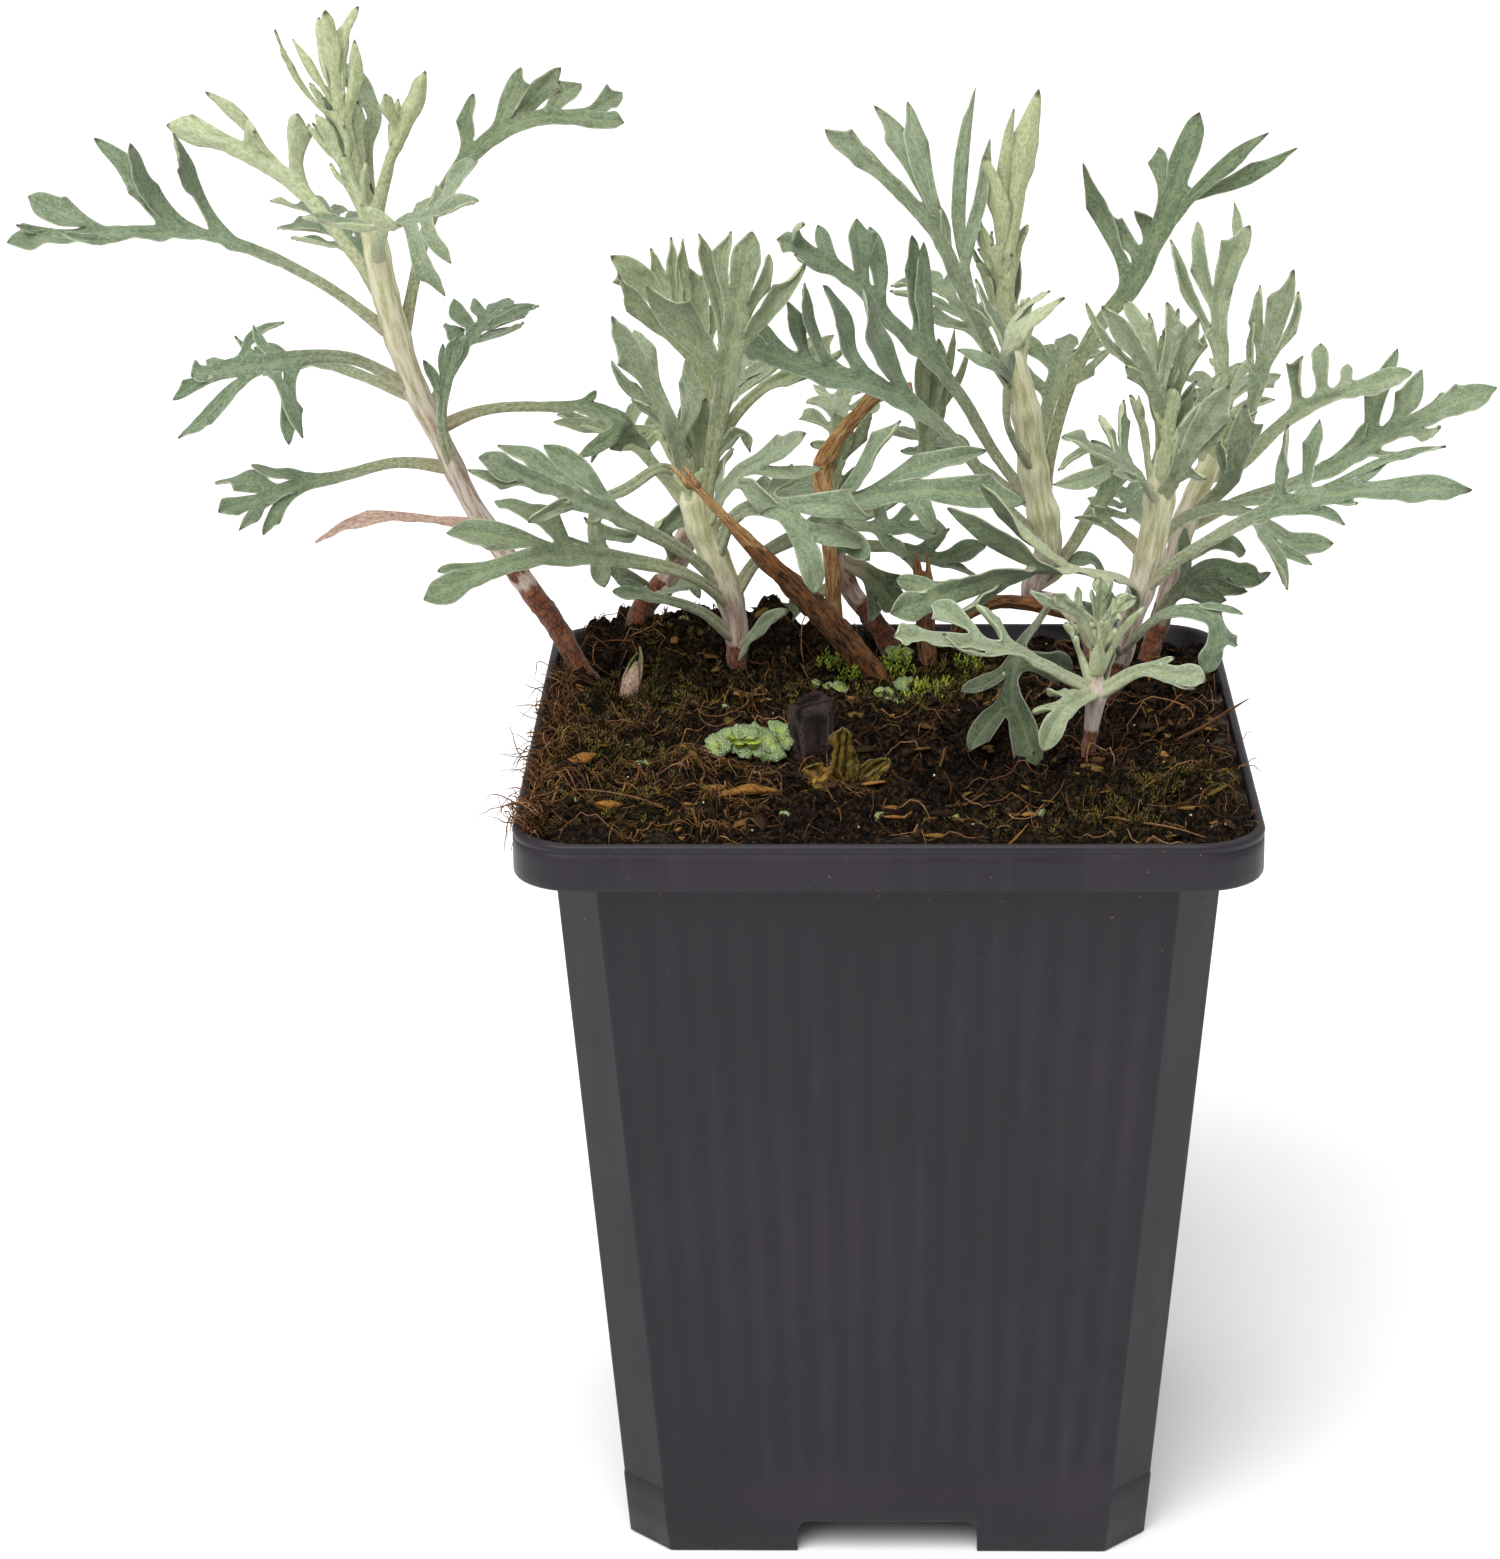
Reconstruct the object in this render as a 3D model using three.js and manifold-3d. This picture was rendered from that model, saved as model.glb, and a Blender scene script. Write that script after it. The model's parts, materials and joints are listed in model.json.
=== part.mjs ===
// A potted silver queen artemisia: a square nursery pot with soil and eight silver leafy shoots.
// Millimetres. +X is right, +Y is away from the viewer, +Z is up.

import * as THREE from 'three';
import { mergeVertices } from 'three/addons/utils/BufferGeometryUtils.js';
import Module from 'manifold-3d';

const { Manifold, Mesh: SolidMesh } = await loadManifold();

// Pot
const POT_HEIGHT = 100;
const RIM_WIDTH = 90;
const RIM_CORNER = 8;
const RIM_BAND = 6;
const BODY_TOP_WIDTH = 80.6;
const BASE_WIDTH = 66;
const CHAMFER = 5.3;
const INNER_CHAMFER = 4.7;
const CORNER_STEPS = 4;
const EDGE_EASE = 0.4;
const WALL = 1.1;
const FLOOR_HEIGHT = 4.6;
const FLOOR_THICKNESS = 1.2;
const NOTCH_WIDTH = 23;
const NOTCH_HEIGHT = 4.3;
const NOTCH_CORNER = 1.6;
const DRAIN_RADIUS = 3;
const DRAIN_SIDES = 12;
const DRAIN_SPACING = 18;

// Soil
const GAP = 0.3;
const SOIL_LEVEL = 95.6;
const SOIL_CELLS = 14;
const SOIL_CHAMFER = 4.5;
const EDGE_RISE = 2.4;
const BACK_EDGE_SHARE = 0.4;
const HEADROOM = 10;

// What stands in the soil: how deep, how far its foot moves towards the middle, and where its hole ends
const STEM_DEPTH = 12;
const FOOT_INWARD = 0.94;
const HOLE_ROOM = 0.4;
const HOLE_TOP = 106;
const STEM_SIDES = 6;
const STEM_STEP = 6.5;

// What lies on the soil: how far it sinks in
const SINK = 0.2;

// Leaves
const PETIOLE_WIDTH = 1.3;
const PETIOLE_THICKNESS = 0.95;
const BLADE_THICKNESS = 0.7;
const TIP_THICKNESS = 0.6;
const LEAST_HALF_WIDTH = 0.55;
const USUAL_HALF_WIDTH = 1.8;
const RIB_STEPS = 20;
const LOBE_STEPS = 8;

// A blade along its midrib: half width as a share of the lobes', its most, and where it starts
const BLADE_SHARE = 0.85;
const WIDEST_LOBE = 1.6;
const WIDEST_END = 2;
const LOBE_LEAD = 0.08;
const LOBELESS_START = 0.3;
const LAST_LOBE = 0.93;

// A lobe's foot: half of it as a share of the blade's half width, and the room between two feet
const FOOT_SHARE = 1.1;
const FOOT_SPACING = 2.2;

// A lobe's angle to the midrib, and where it bends towards its tip
const LEAST_SLANT = 0.45;
const MOST_SLANT = 1.25;
const KNEE = 0.4;

// How wide a lobe may be for its distance to the midrib and to the next lobe
const RIB_ROOM = 0.5;
const LOBE_ROOM = 0.45;

// How far a petiole turns before its outline needs another point
const PETIOLE_TURN = 0.35;

// A lobe between its foot and its tip: share of its length, and width
const LONG_LOBE = [[0.38, 1], [0.74, 0.72]];
const SHORT_LOBE = [[0.5, 1]];
const SHORT = 9;

// The end of the midrib blade: share of what is left after the last lobe, and width
const END_SECTIONS = [[0.28, 1], [0.7, 0.8]];

// Which way a leaf's upper side faces
const UPRIGHT = new THREE.Vector3(0, 0, 1);
const UP = new THREE.Vector3(0, -0.7, 0.75);
const CAM = new THREE.Vector3(0, -1, 0.3);
const BACK = new THREE.Vector3(0, 1, 0.3);
const HANGING = new THREE.Vector3(-0.4, -1, 0.5);

// The way in which a stem's first flat side faces
const STEM_FACING = new THREE.Vector3(0.31, -0.92, 0.24);

// The viewer's eye, for points read off a front view at the pot's middle plane
const EYE = new THREE.Vector3(-2.9, -539.8, 278);

const COLOURS = {
  pot: 0x403e42,
  soil: 0x2a1c12,
  leaf: 0x8fa48c,
  wood: 0x8a5a3a,
  dryWood: 0xb08a5a,
  liverwort: 0x86a85e,
  moss: 0x7d8f2c,
  bark: 0x4a3a30,
  oldLeaf: 0x7d7428,
};

// Loads the solid library and returns its classes.
async function loadManifold() {
  const wasm = await Module();
  wasm.setup();
  return wasm;
}

// Turns a closed geometry into a solid that can be joined and cut.
function solidOf(geometry) {
  const bare = geometry.clone();
  bare.deleteAttribute('normal');
  bare.deleteAttribute('uv');
  const merged = mergeVertices(bare, 1e-4);
  return new Manifold(new SolidMesh({
    numProp: 3,
    vertProperties: new Float32Array(merged.attributes.position.array),
    triVerts: new Uint32Array(merged.index.array),
  }));
}

// Turns a solid back into a geometry with flat faces.
function geometryOf(solid) {
  const mesh = solid.getMesh();
  const geometry = new THREE.BufferGeometry();
  geometry.setAttribute('position', new THREE.BufferAttribute(mesh.vertProperties, 3));
  geometry.setIndex(new THREE.BufferAttribute(mesh.triVerts, 1));
  const flat = geometry.toNonIndexed();
  flat.computeVertexNormals();
  return flat;
}

// Joins a list of solids into one.
function joined(solids) {
  return Manifold.union(solids);
}

// Keeps the largest body of a solid, so that no loose scrap stays.
function largestBody(solid) {
  const bodies = solid.decompose();
  return bodies.reduce((best, body) => (body.volume() > best.volume() ? body : best));
}

// Makes an indexed geometry from a list of points and a list of faces.
function geometryFrom(points, faces) {
  const geometry = new THREE.BufferGeometry().setFromPoints(points);
  geometry.setIndex(faces);
  return geometry;
}

// Closes a stack of rings of equal length into one body, with a fan over the first and last ring.
function loft(rings) {
  const count = rings[0].length;
  const points = rings.flat();
  const faces = [];
  for (let level = 0; level + 1 < rings.length; level += 1) {
    for (let i = 0; i < count; i += 1) {
      const a = level * count + i;
      const b = level * count + (i + 1) % count;
      faces.push(a, b, b + count, a, b + count, a + count);
    }
  }
  const last = (rings.length - 1) * count;
  for (let i = 1; i + 1 < count; i += 1) {
    faces.push(0, i + 1, i);
    faces.push(last, last + i, last + i + 1);
  }
  return geometryFrom(points, faces);
}

// Moves a point read at the middle plane along its sight line to the depth y.
function seen(x, z, y) {
  const share = (y - EYE.y) / -EYE.y;
  return new THREE.Vector3(EYE.x + (x - EYE.x) * share, y, EYE.z + (z - EYE.z) * share);
}

// A square ring at one height, with its four corners round or cut straight.
function squareRing(width, corner, height, round) {
  const half = width / 2;
  const ring = [];
  for (let turn = 0; turn < 4; turn += 1) {
    const facing = turn * Math.PI / 2;
    for (let step = 0; step <= CORNER_STEPS; step += 1) {
      const share = step / CORNER_STEPS;
      const angle = share * Math.PI / 2;
      const along = round ? Math.cos(angle) : 1 - share;
      const across = round ? Math.sin(angle) : share;
      const x = half - corner + corner * along;
      const y = half - corner + corner * across;
      ring.push(new THREE.Vector3(
        x * Math.cos(facing) - y * Math.sin(facing),
        x * Math.sin(facing) + y * Math.cos(facing),
        height,
      ));
    }
  }
  return ring;
}

// The body's outer width at a height below the rim.
function bodyWidth(height) {
  const top = POT_HEIGHT - RIM_BAND;
  return BASE_WIDTH + (BODY_TOP_WIDTH - BASE_WIDTH) * height / top;
}

// The pot: a skirt round a low floor, a tapered body with cut corners, a ledge and a wider rim band.
function makePot() {
  const ledge = POT_HEIGHT - RIM_BAND;
  const inside = (height) => bodyWidth(height) - 2 * WALL;
  const floorTop = FLOOR_HEIGHT + FLOOR_THICKNESS;
  const shell = loft([
    squareRing(inside(FLOOR_HEIGHT), INNER_CHAMFER, FLOOR_HEIGHT, false),
    squareRing(inside(0), INNER_CHAMFER, 0, false),
    squareRing(bodyWidth(0), CHAMFER, 0, false),
    squareRing(bodyWidth(ledge), CHAMFER, ledge, false),
    squareRing(RIM_WIDTH - 2 * EDGE_EASE, RIM_CORNER, ledge, true),
    squareRing(RIM_WIDTH, RIM_CORNER, ledge + EDGE_EASE, true),
    squareRing(RIM_WIDTH, RIM_CORNER, POT_HEIGHT - EDGE_EASE, true),
    squareRing(RIM_WIDTH - 2 * EDGE_EASE, RIM_CORNER, POT_HEIGHT, true),
    squareRing(RIM_WIDTH - 2 * WALL, RIM_CORNER - WALL, POT_HEIGHT, true),
    squareRing(RIM_WIDTH - 2 * WALL, RIM_CORNER - WALL, ledge + WALL, true),
    squareRing(inside(ledge), INNER_CHAMFER, ledge + WALL, false),
    squareRing(inside(floorTop), INNER_CHAMFER, floorTop, false),
  ]);
  const cuts = [];
  for (let turn = 0; turn < 2; turn += 1) {
    const notch = new THREE.ExtrudeGeometry(notchShape(), { depth: 2 * RIM_WIDTH, bevelEnabled: false });
    notch.translate(0, 0, -RIM_WIDTH);
    notch.rotateX(Math.PI / 2);
    notch.rotateZ(turn * Math.PI / 2);
    cuts.push(solidOf(notch));
  }
  for (const [x, y] of drainPlaces()) {
    const drain = new THREE.CylinderGeometry(DRAIN_RADIUS, DRAIN_RADIUS, 4 * FLOOR_THICKNESS, DRAIN_SIDES);
    drain.rotateX(Math.PI / 2);
    drain.translate(x, y, FLOOR_HEIGHT);
    cuts.push(solidOf(drain));
  }
  return solidOf(shell).subtract(joined(cuts));
}

// The outline of a notch between two feet, with its two upper corners round.
function notchShape() {
  const half = NOTCH_WIDTH / 2;
  const shape = new THREE.Shape();
  shape.moveTo(-half, -1);
  shape.lineTo(half, -1);
  shape.lineTo(half, NOTCH_HEIGHT - NOTCH_CORNER);
  shape.quadraticCurveTo(half, NOTCH_HEIGHT, half - NOTCH_CORNER, NOTCH_HEIGHT);
  shape.lineTo(-half + NOTCH_CORNER, NOTCH_HEIGHT);
  shape.quadraticCurveTo(-half, NOTCH_HEIGHT, -half, NOTCH_HEIGHT - NOTCH_CORNER);
  return shape;
}

// Drain holes: one in the middle and one towards each corner and side.
function drainPlaces() {
  const rows = [-DRAIN_SPACING, 0, DRAIN_SPACING];
  return rows.flatMap((x) => rows.map((y) => [x, y]));
}

// Mounds and hollows of the soil: x, y, how wide and how high.
const MOUNDS = [
  [-32, 38, 8, 5.5],
  [-15, 40, 7, 4.6],
  [31, -20, 12, 2],
  [-24, -22, 14, 1.6],
  [14, 6, 9, 0.9],
  [4, 26, 7, -0.8],
];

// Ripples of the soil: how high, how fast they turn along x and along y, and where they start.
const RIPPLES = [
  [0.18, 0.61, 0.53, 1.7],
  [0.18, 0.61, -0.53, 0.9],
  [0.3, 1.07, -0.83, 2.1],
  [0.22, 1.51, 1.37, 0],
];

// The height of the soil at a place: it rises to the rim, less so at the back, with mounds and ripples.
function soilHeight(x, y) {
  const edge = Math.max(Math.abs(x), Math.abs(y)) / (RIM_WIDTH / 2);
  const rise = EDGE_RISE * THREE.MathUtils.smoothstep(edge, 0.72, 0.97);
  let height = SOIL_LEVEL + rise * (y < 20 ? 1 : BACK_EDGE_SHARE);
  for (const [mx, my, wide, high] of MOUNDS) {
    height += high * Math.exp(-((x - mx) ** 2 + (y - my) ** 2) / (2 * wide * wide));
  }
  for (const [high, across, away, start] of RIPPLES) {
    height += high * Math.sin(across * x + away * y + start);
  }
  return height;
}

// The soil: a block that fills the pot with a gap all round, with its holes for what stands in it.
function makeSoil(holes) {
  const ledge = POT_HEIGHT - RIM_BAND + WALL + GAP;
  const floorTop = FLOOR_HEIGHT + FLOOR_THICKNESS + GAP;
  const inside = (height) => bodyWidth(height) - 2 * (WALL + GAP);
  const room = loft([
    squareRing(inside(floorTop), SOIL_CHAMFER, floorTop, false),
    squareRing(inside(ledge), SOIL_CHAMFER, ledge, false),
    squareRing(RIM_WIDTH - 2 * (WALL + GAP), RIM_CORNER - WALL, ledge, true),
    squareRing(RIM_WIDTH - 2 * (WALL + GAP), RIM_CORNER - WALL, POT_HEIGHT + HEADROOM, true),
  ]);
  const block = new THREE.BoxGeometry(RIM_WIDTH + 4, RIM_WIDTH + 4, HEADROOM, SOIL_CELLS, SOIL_CELLS, 1);
  const places = block.attributes.position;
  for (let i = 0; i < places.count; i += 1) {
    const top = places.getZ(i) > 0;
    places.setZ(i, top ? soilHeight(places.getX(i), places.getY(i)) : 0);
  }
  const filled = solidOf(room).intersect(solidOf(block));
  return largestBody(filled.subtract(joined(holes)));
}

// Frames along a curve: place, direction, upper side and left side, carried along without twist.
function framesAlong(curve, steps, upHint) {
  const frames = [];
  let up = upHint.clone();
  for (let i = 0; i <= steps; i += 1) {
    const place = curve.getPointAt(i / steps);
    const along = curve.getTangentAt(i / steps);
    up = up.clone().addScaledVector(along, -up.dot(along)).normalize();
    frames.push({ place, along, up, left: new THREE.Vector3().crossVectors(up, along) });
  }
  return frames;
}

// The frame at a share of the way along.
function frameAt(frames, share) {
  const spot = THREE.MathUtils.clamp(share, 0, 1) * (frames.length - 1);
  const low = Math.min(Math.floor(spot), frames.length - 2);
  const mix = spot - low;
  const between = (key) => frames[low][key].clone().lerp(frames[low + 1][key], mix);
  return {
    place: between('place'),
    along: between('along').normalize(),
    up: between('up').normalize(),
    left: between('left').normalize(),
  };
}

// The rings of a round stem through points, each with its own radius and room around it.
function stemRings(points, radii, room) {
  const curve = new THREE.CatmullRomCurve3(points, false, 'centripetal');
  const steps = Math.max(3, Math.round(curve.getLength() / STEM_STEP));
  const lengths = [0];
  for (let i = 1; i < points.length; i += 1) {
    lengths.push(lengths[i - 1] + points[i].distanceTo(points[i - 1]));
  }
  return framesAlong(curve, steps, STEM_FACING).map(({ place, up, left }, i) => {
    const travelled = i / steps * lengths.at(-1);
    const next = Math.max(1, lengths.findIndex((length) => length >= travelled - 1e-6));
    const mix = (travelled - lengths[next - 1]) / (lengths[next] - lengths[next - 1]);
    const radius = THREE.MathUtils.lerp(radii[next - 1], radii[next], mix) + room;
    const ring = [];
    for (let side = 0; side < STEM_SIDES; side += 1) {
      const angle = side / STEM_SIDES * 2 * Math.PI;
      ring.push(place.clone()
        .addScaledVector(left, radius * Math.cos(angle))
        .addScaledVector(up, radius * Math.sin(angle)));
    }
    return ring;
  });
}

// Which side of the midrib a lobe's tip lies on.
function sideOf(midrib, [share, tip]) {
  const root = frameAt(midrib, share);
  return tip.clone().sub(root.place).dot(root.left) >= 0 ? 1 : -1;
}

// Spreads the lobes of one side along the midrib, so that each has room for its foot.
function spreadShares(rows, bladeStart, foot) {
  const ordered = [...rows].sort((a, b) => a.share - b.share);
  let least = bladeStart + foot * FOOT_SPACING / 2;
  for (const row of ordered) {
    row.share = Math.max(row.share, least);
    least = row.share + foot * FOOT_SPACING;
  }
  let most = LAST_LOBE;
  for (const row of ordered.toReversed()) {
    row.share = Math.min(row.share, most);
    most = row.share - foot * FOOT_SPACING;
  }
  return ordered;
}

// A lobe: a curve that leaves the midrib at a slant and ends at its tip.
function makeLobe(midrib, { share, tip, side }, width, blade) {
  const root = frameAt(midrib, share);
  const reach = tip.clone().sub(root.place);
  const sideways = Math.abs(reach.dot(root.left));
  const slant = THREE.MathUtils.clamp(Math.atan2(sideways, reach.dot(root.along)), LEAST_SLANT, MOST_SLANT);
  const start = root.along.clone().multiplyScalar(Math.cos(slant));
  start.addScaledVector(root.left, side * Math.sin(slant));
  const foot = root.place.clone().addScaledVector(root.left, side * blade / 2);
  const knee = foot.clone().addScaledVector(start, KNEE * reach.length());
  const curve = new THREE.QuadraticBezierCurve3(foot, knee, tip);
  const frames = framesAlong(curve, LOBE_STEPS, root.up);
  return { share, side, width, frames, length: curve.getLength() };
}

// Narrows the lobes that stand close to another lobe or to the midrib, so that no two meet.
function narrowLobes(lobes, midrib) {
  const middles = lobes.map((lobe) => frameAt(lobe.frames, 0.45).place);
  lobes.forEach((lobe, i) => {
    const rib = Math.min(...midrib.map(({ place }) => place.distanceTo(middles[i])));
    const others = middles.filter((_, j) => j !== i).map((place) => place.distanceTo(middles[i]));
    const room = Math.min(RIB_ROOM * rib, LOBE_ROOM * Math.min(...others));
    lobe.width = Math.max(LEAST_HALF_WIDTH, Math.min(lobe.width, room));
  });
}

// A point of a plate's outline: its place in the middle of the plate, and the plate's thickness there.
function platePoint({ place, left, up }, across, thick) {
  return { place: place.clone().addScaledVector(left, across), up, thick };
}

// Faces between two edges that run the same way; each edge point has its share of the way.
function facesBetween(leftEdge, rightEdge) {
  const faces = [];
  let i = 0;
  let j = 0;
  while (i + 1 < leftEdge.length || j + 1 < rightEdge.length) {
    const nextLeft = leftEdge[i + 1]?.share ?? Infinity;
    const nextRight = rightEdge[j + 1]?.share ?? Infinity;
    if (nextLeft <= nextRight) {
      faces.push([leftEdge[i].point, rightEdge[j].point, leftEdge[i + 1].point]);
      i += 1;
    } else {
      faces.push([leftEdge[i].point, rightEdge[j].point, rightEdge[j + 1].point]);
      j += 1;
    }
  }
  return faces;
}

// The shares of the petiole's length that its outline passes through: more where it bends more.
function petioleShares(midrib, bladeStart) {
  let turn = 0;
  for (let i = 1; i < midrib.length * bladeStart; i += 1) {
    turn += midrib[i].along.angleTo(midrib[i - 1].along);
  }
  const parts = THREE.MathUtils.clamp(Math.ceil(turn / PETIOLE_TURN), 1, 4);
  return Array.from({ length: parts + 1 }, (_, i) => i / parts * (bladeStart - 0.02));
}

// The two sides of a leaf: the lobes of each, in order, and the half length of their feet along the midrib.
function leafSides(midrib, length, lobeRows, bladeStart, blade, width) {
  return [1, -1].map((side) => {
    const rows = lobeRows.map(([share, tip]) => ({ share, tip, side: sideOf(midrib, [share, tip]) }))
      .filter((row) => row.side === side);
    const room = (LAST_LOBE - bladeStart) / (FOOT_SPACING * rows.length + 0.1);
    const foot = Math.min(FOOT_SHARE * blade / length, room);
    const lobes = spreadShares(rows, bladeStart, foot).map((row) => makeLobe(midrib, row, width, blade));
    return { side, foot, lobes };
  });
}

// The points of a lobe's two edges and its tip, from its foot outwards.
function lobeEdges(lobe) {
  const sections = lobe.length < SHORT ? SHORT_LOBE : LONG_LOBE;
  const [low, high] = [1, -1].map((way) => sections.map(([share, wide]) => {
    const across = way * lobe.side * lobe.width * wide;
    return { share, point: platePoint(frameAt(lobe.frames, share), across, BLADE_THICKNESS) };
  }));
  const tip = { share: 1, point: platePoint(frameAt(lobe.frames, 1), 0, TIP_THICKNESS) };
  return { low, high, tip };
}

// One side of a leaf: the points of its outline, those of them on the midrib blade, and its lobes' faces.
function leafSide({ side, foot, lobes }, midrib, bladeStart, blade, width) {
  const outline = [];
  const edge = [];
  const faces = [];
  const onRib = (share, half, thick) => {
    const point = platePoint(frameAt(midrib, share), side * half, thick);
    outline.push(point);
    edge.push({ share, point });
    return point;
  };
  for (const share of petioleShares(midrib, bladeStart)) onRib(share, PETIOLE_WIDTH / 2, PETIOLE_THICKNESS);
  for (const lobe of lobes) {
    const near = onRib(lobe.share - foot, blade, BLADE_THICKNESS);
    const { low, high, tip } = lobeEdges(lobe);
    outline.push(...[...low, tip, ...high.toReversed()].map(({ point }) => point));
    const far = onRib(lobe.share + foot, blade, BLADE_THICKNESS);
    const lowEdge = [{ share: 0, point: near }, ...low, tip];
    const highEdge = [{ share: 0, point: far }, ...high];
    faces.push(...(side > 0 ? facesBetween(lowEdge, highEdge) : facesBetween(highEdge, lowEdge)));
  }
  const end = Math.max(...lobes.map((lobe) => lobe.share + foot), bladeStart);
  for (const [part, wide] of END_SECTIONS) {
    onRib(end + part * (1 - end), wide * Math.min(width, WIDEST_END), BLADE_THICKNESS);
  }
  return { outline, edge, faces };
}

// A whole leaf as one thin plate, with petiole, midrib blade and lobes in one outline.
function leafPlate(ribPoints, upHint, lobeRows, width) {
  const curve = new THREE.CatmullRomCurve3(ribPoints, false, 'centripetal');
  const midrib = framesAlong(curve, RIB_STEPS, upHint);
  const blade = BLADE_SHARE * Math.min(width, WIDEST_LOBE);
  const shares = lobeRows.map((row) => row[0]);
  const bladeStart = shares.length ? Math.min(...shares) - LOBE_LEAD : LOBELESS_START;
  const sides = leafSides(midrib, curve.getLength(), lobeRows, bladeStart, blade, width);
  narrowLobes(sides.flatMap(({ lobes }) => lobes), midrib);
  const [left, right] = sides.map((side) => leafSide(side, midrib, bladeStart, blade, width));
  const tip = platePoint(frameAt(midrib, 1), 0, TIP_THICKNESS);
  const middle = facesBetween([...left.edge, { share: 1, point: tip }], right.edge);
  const outline = [...left.outline, tip, ...right.outline.toReversed()];
  return plateFrom(outline, [...left.faces, ...right.faces, ...middle]);
}

// A thin closed plate from its outline, with the same faces above and below.
function plateFrom(outline, faces) {
  const count = outline.length;
  const raised = (way) => outline.map(({ place, up, thick }) => (
    place.clone().addScaledVector(up, way * thick / 2)));
  const indices = [];
  for (const face of faces) {
    const [a, b, c] = face.map((point) => outline.indexOf(point));
    indices.push(a, b, c, a + count, c + count, b + count);
  }
  for (let i = 0; i < count; i += 1) {
    const next = (i + 1) % count;
    indices.push(i, next, next + count, i, next + count, i + count);
  }
  return solidOf(geometryFrom([...raised(1), ...raised(-1)], indices));
}

// Draws from a seed, always in the same order.
function seededDraws(seed) {
  let state = seed;
  return (low, high) => {
    state = state * 16807 % 2147483647;
    return low + (high - low) * state / 2147483647;
  };
}

// A round stem that stands in the soil, through points read as seen: x, z, depth y and radius.
class Stem {
  constructor(name, rows) {
    this.name = name;
    this.rows = rows;
    const points = rows.map(([x, z, y]) => seen(x, z, y));
    const foot = points[0].clone().multiply(new THREE.Vector3(FOOT_INWARD, FOOT_INWARD, 1));
    foot.z -= STEM_DEPTH;
    this.points = [foot, ...points];
    this.radii = [rows[0][3], ...rows.map((row) => row[3])];
  }

  // The stem's middle at a height as seen.
  at(height) {
    let i = this.rows.length - 2;
    while (i > 0 && this.rows[i][1] > height) i -= 1;
    const [low, high] = [this.rows[i], this.rows[i + 1]];
    const mix = THREE.MathUtils.clamp((height - low[1]) / (high[1] - low[1]), 0, 1);
    return seen(...[0, 1, 2].map((key) => THREE.MathUtils.lerp(low[key], high[key], mix)));
  }

  // The hole in the soil that the stem stands in.
  hole() {
    const rings = stemRings(this.points, this.radii, HOLE_ROOM);
    const last = rings.findIndex((ring) => ring[0].z > HOLE_TOP);
    const low = last < 0 ? rings : rings.slice(0, last + 1);
    for (const point of low[0]) point.z -= GAP;
    return solidOf(loft(low));
  }

  solid() {
    return solidOf(loft(stemRings(this.points, this.radii, 0)));
  }
}

// A leafy shoot: a stem and the leaves that grow from it.
class Shoot extends Stem {
  constructor(name, rows) {
    super(name, rows);
    this.leaves = [];
  }

  // A leaf that grows at a height, through points read as seen, with lobes at shares of its length.
  leaf(height, ribRows, upHint, lobeRows, width) {
    const rib = [this.at(height), ...ribRows.map((row) => seen(...row))];
    const curve = new THREE.CatmullRomCurve3(rib, false, 'centripetal');
    const lobes = lobeRows.map(([share, x, z, deeper]) => [
      share,
      seen(x, z, curve.getPointAt(share).y + deeper),
    ]);
    this.leaves.push(leafPlate(rib, upHint, lobes, width));
  }

  // A leaf of the usual form that grows at a height towards an azimuth and arches over.
  usualLeaf(height, azimuth, length, rise, seed) {
    const draw = seededDraws(seed);
    const root = this.at(height);
    const out = new THREE.Vector3(Math.sin(azimuth), Math.cos(azimuth), 0);
    const left = new THREE.Vector3(-out.y, out.x, 0);
    const along = (share) => root.clone()
      .addScaledVector(out, length * Math.cos(rise) * share)
      .addScaledVector(UPRIGHT, length * (Math.sin(rise) * share - 0.22 * share * share));
    const rib = [0, 0.25, 0.5, 0.75, 1].map(along);
    const lobes = [];
    for (const [share, reach] of [[0.5, 0.24], [0.64, 0.22], [0.78, 0.17]]) {
      for (const side of [1, -1]) {
        const size = length * reach * draw(0.85, 1.15);
        const at = share + draw(-0.03, 0.03);
        lobes.push([at, along(at).addScaledVector(left, side * size * 0.8)
          .addScaledVector(out, size * 0.75)
          .addScaledVector(UPRIGHT, size * draw(0.05, 0.4))]);
      }
    }
    this.leaves.push(leafPlate(rib, UPRIGHT, lobes, USUAL_HALF_WIDTH));
  }

  solid() {
    return largestBody(joined([super.solid(), ...this.leaves]));
  }
}

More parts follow.
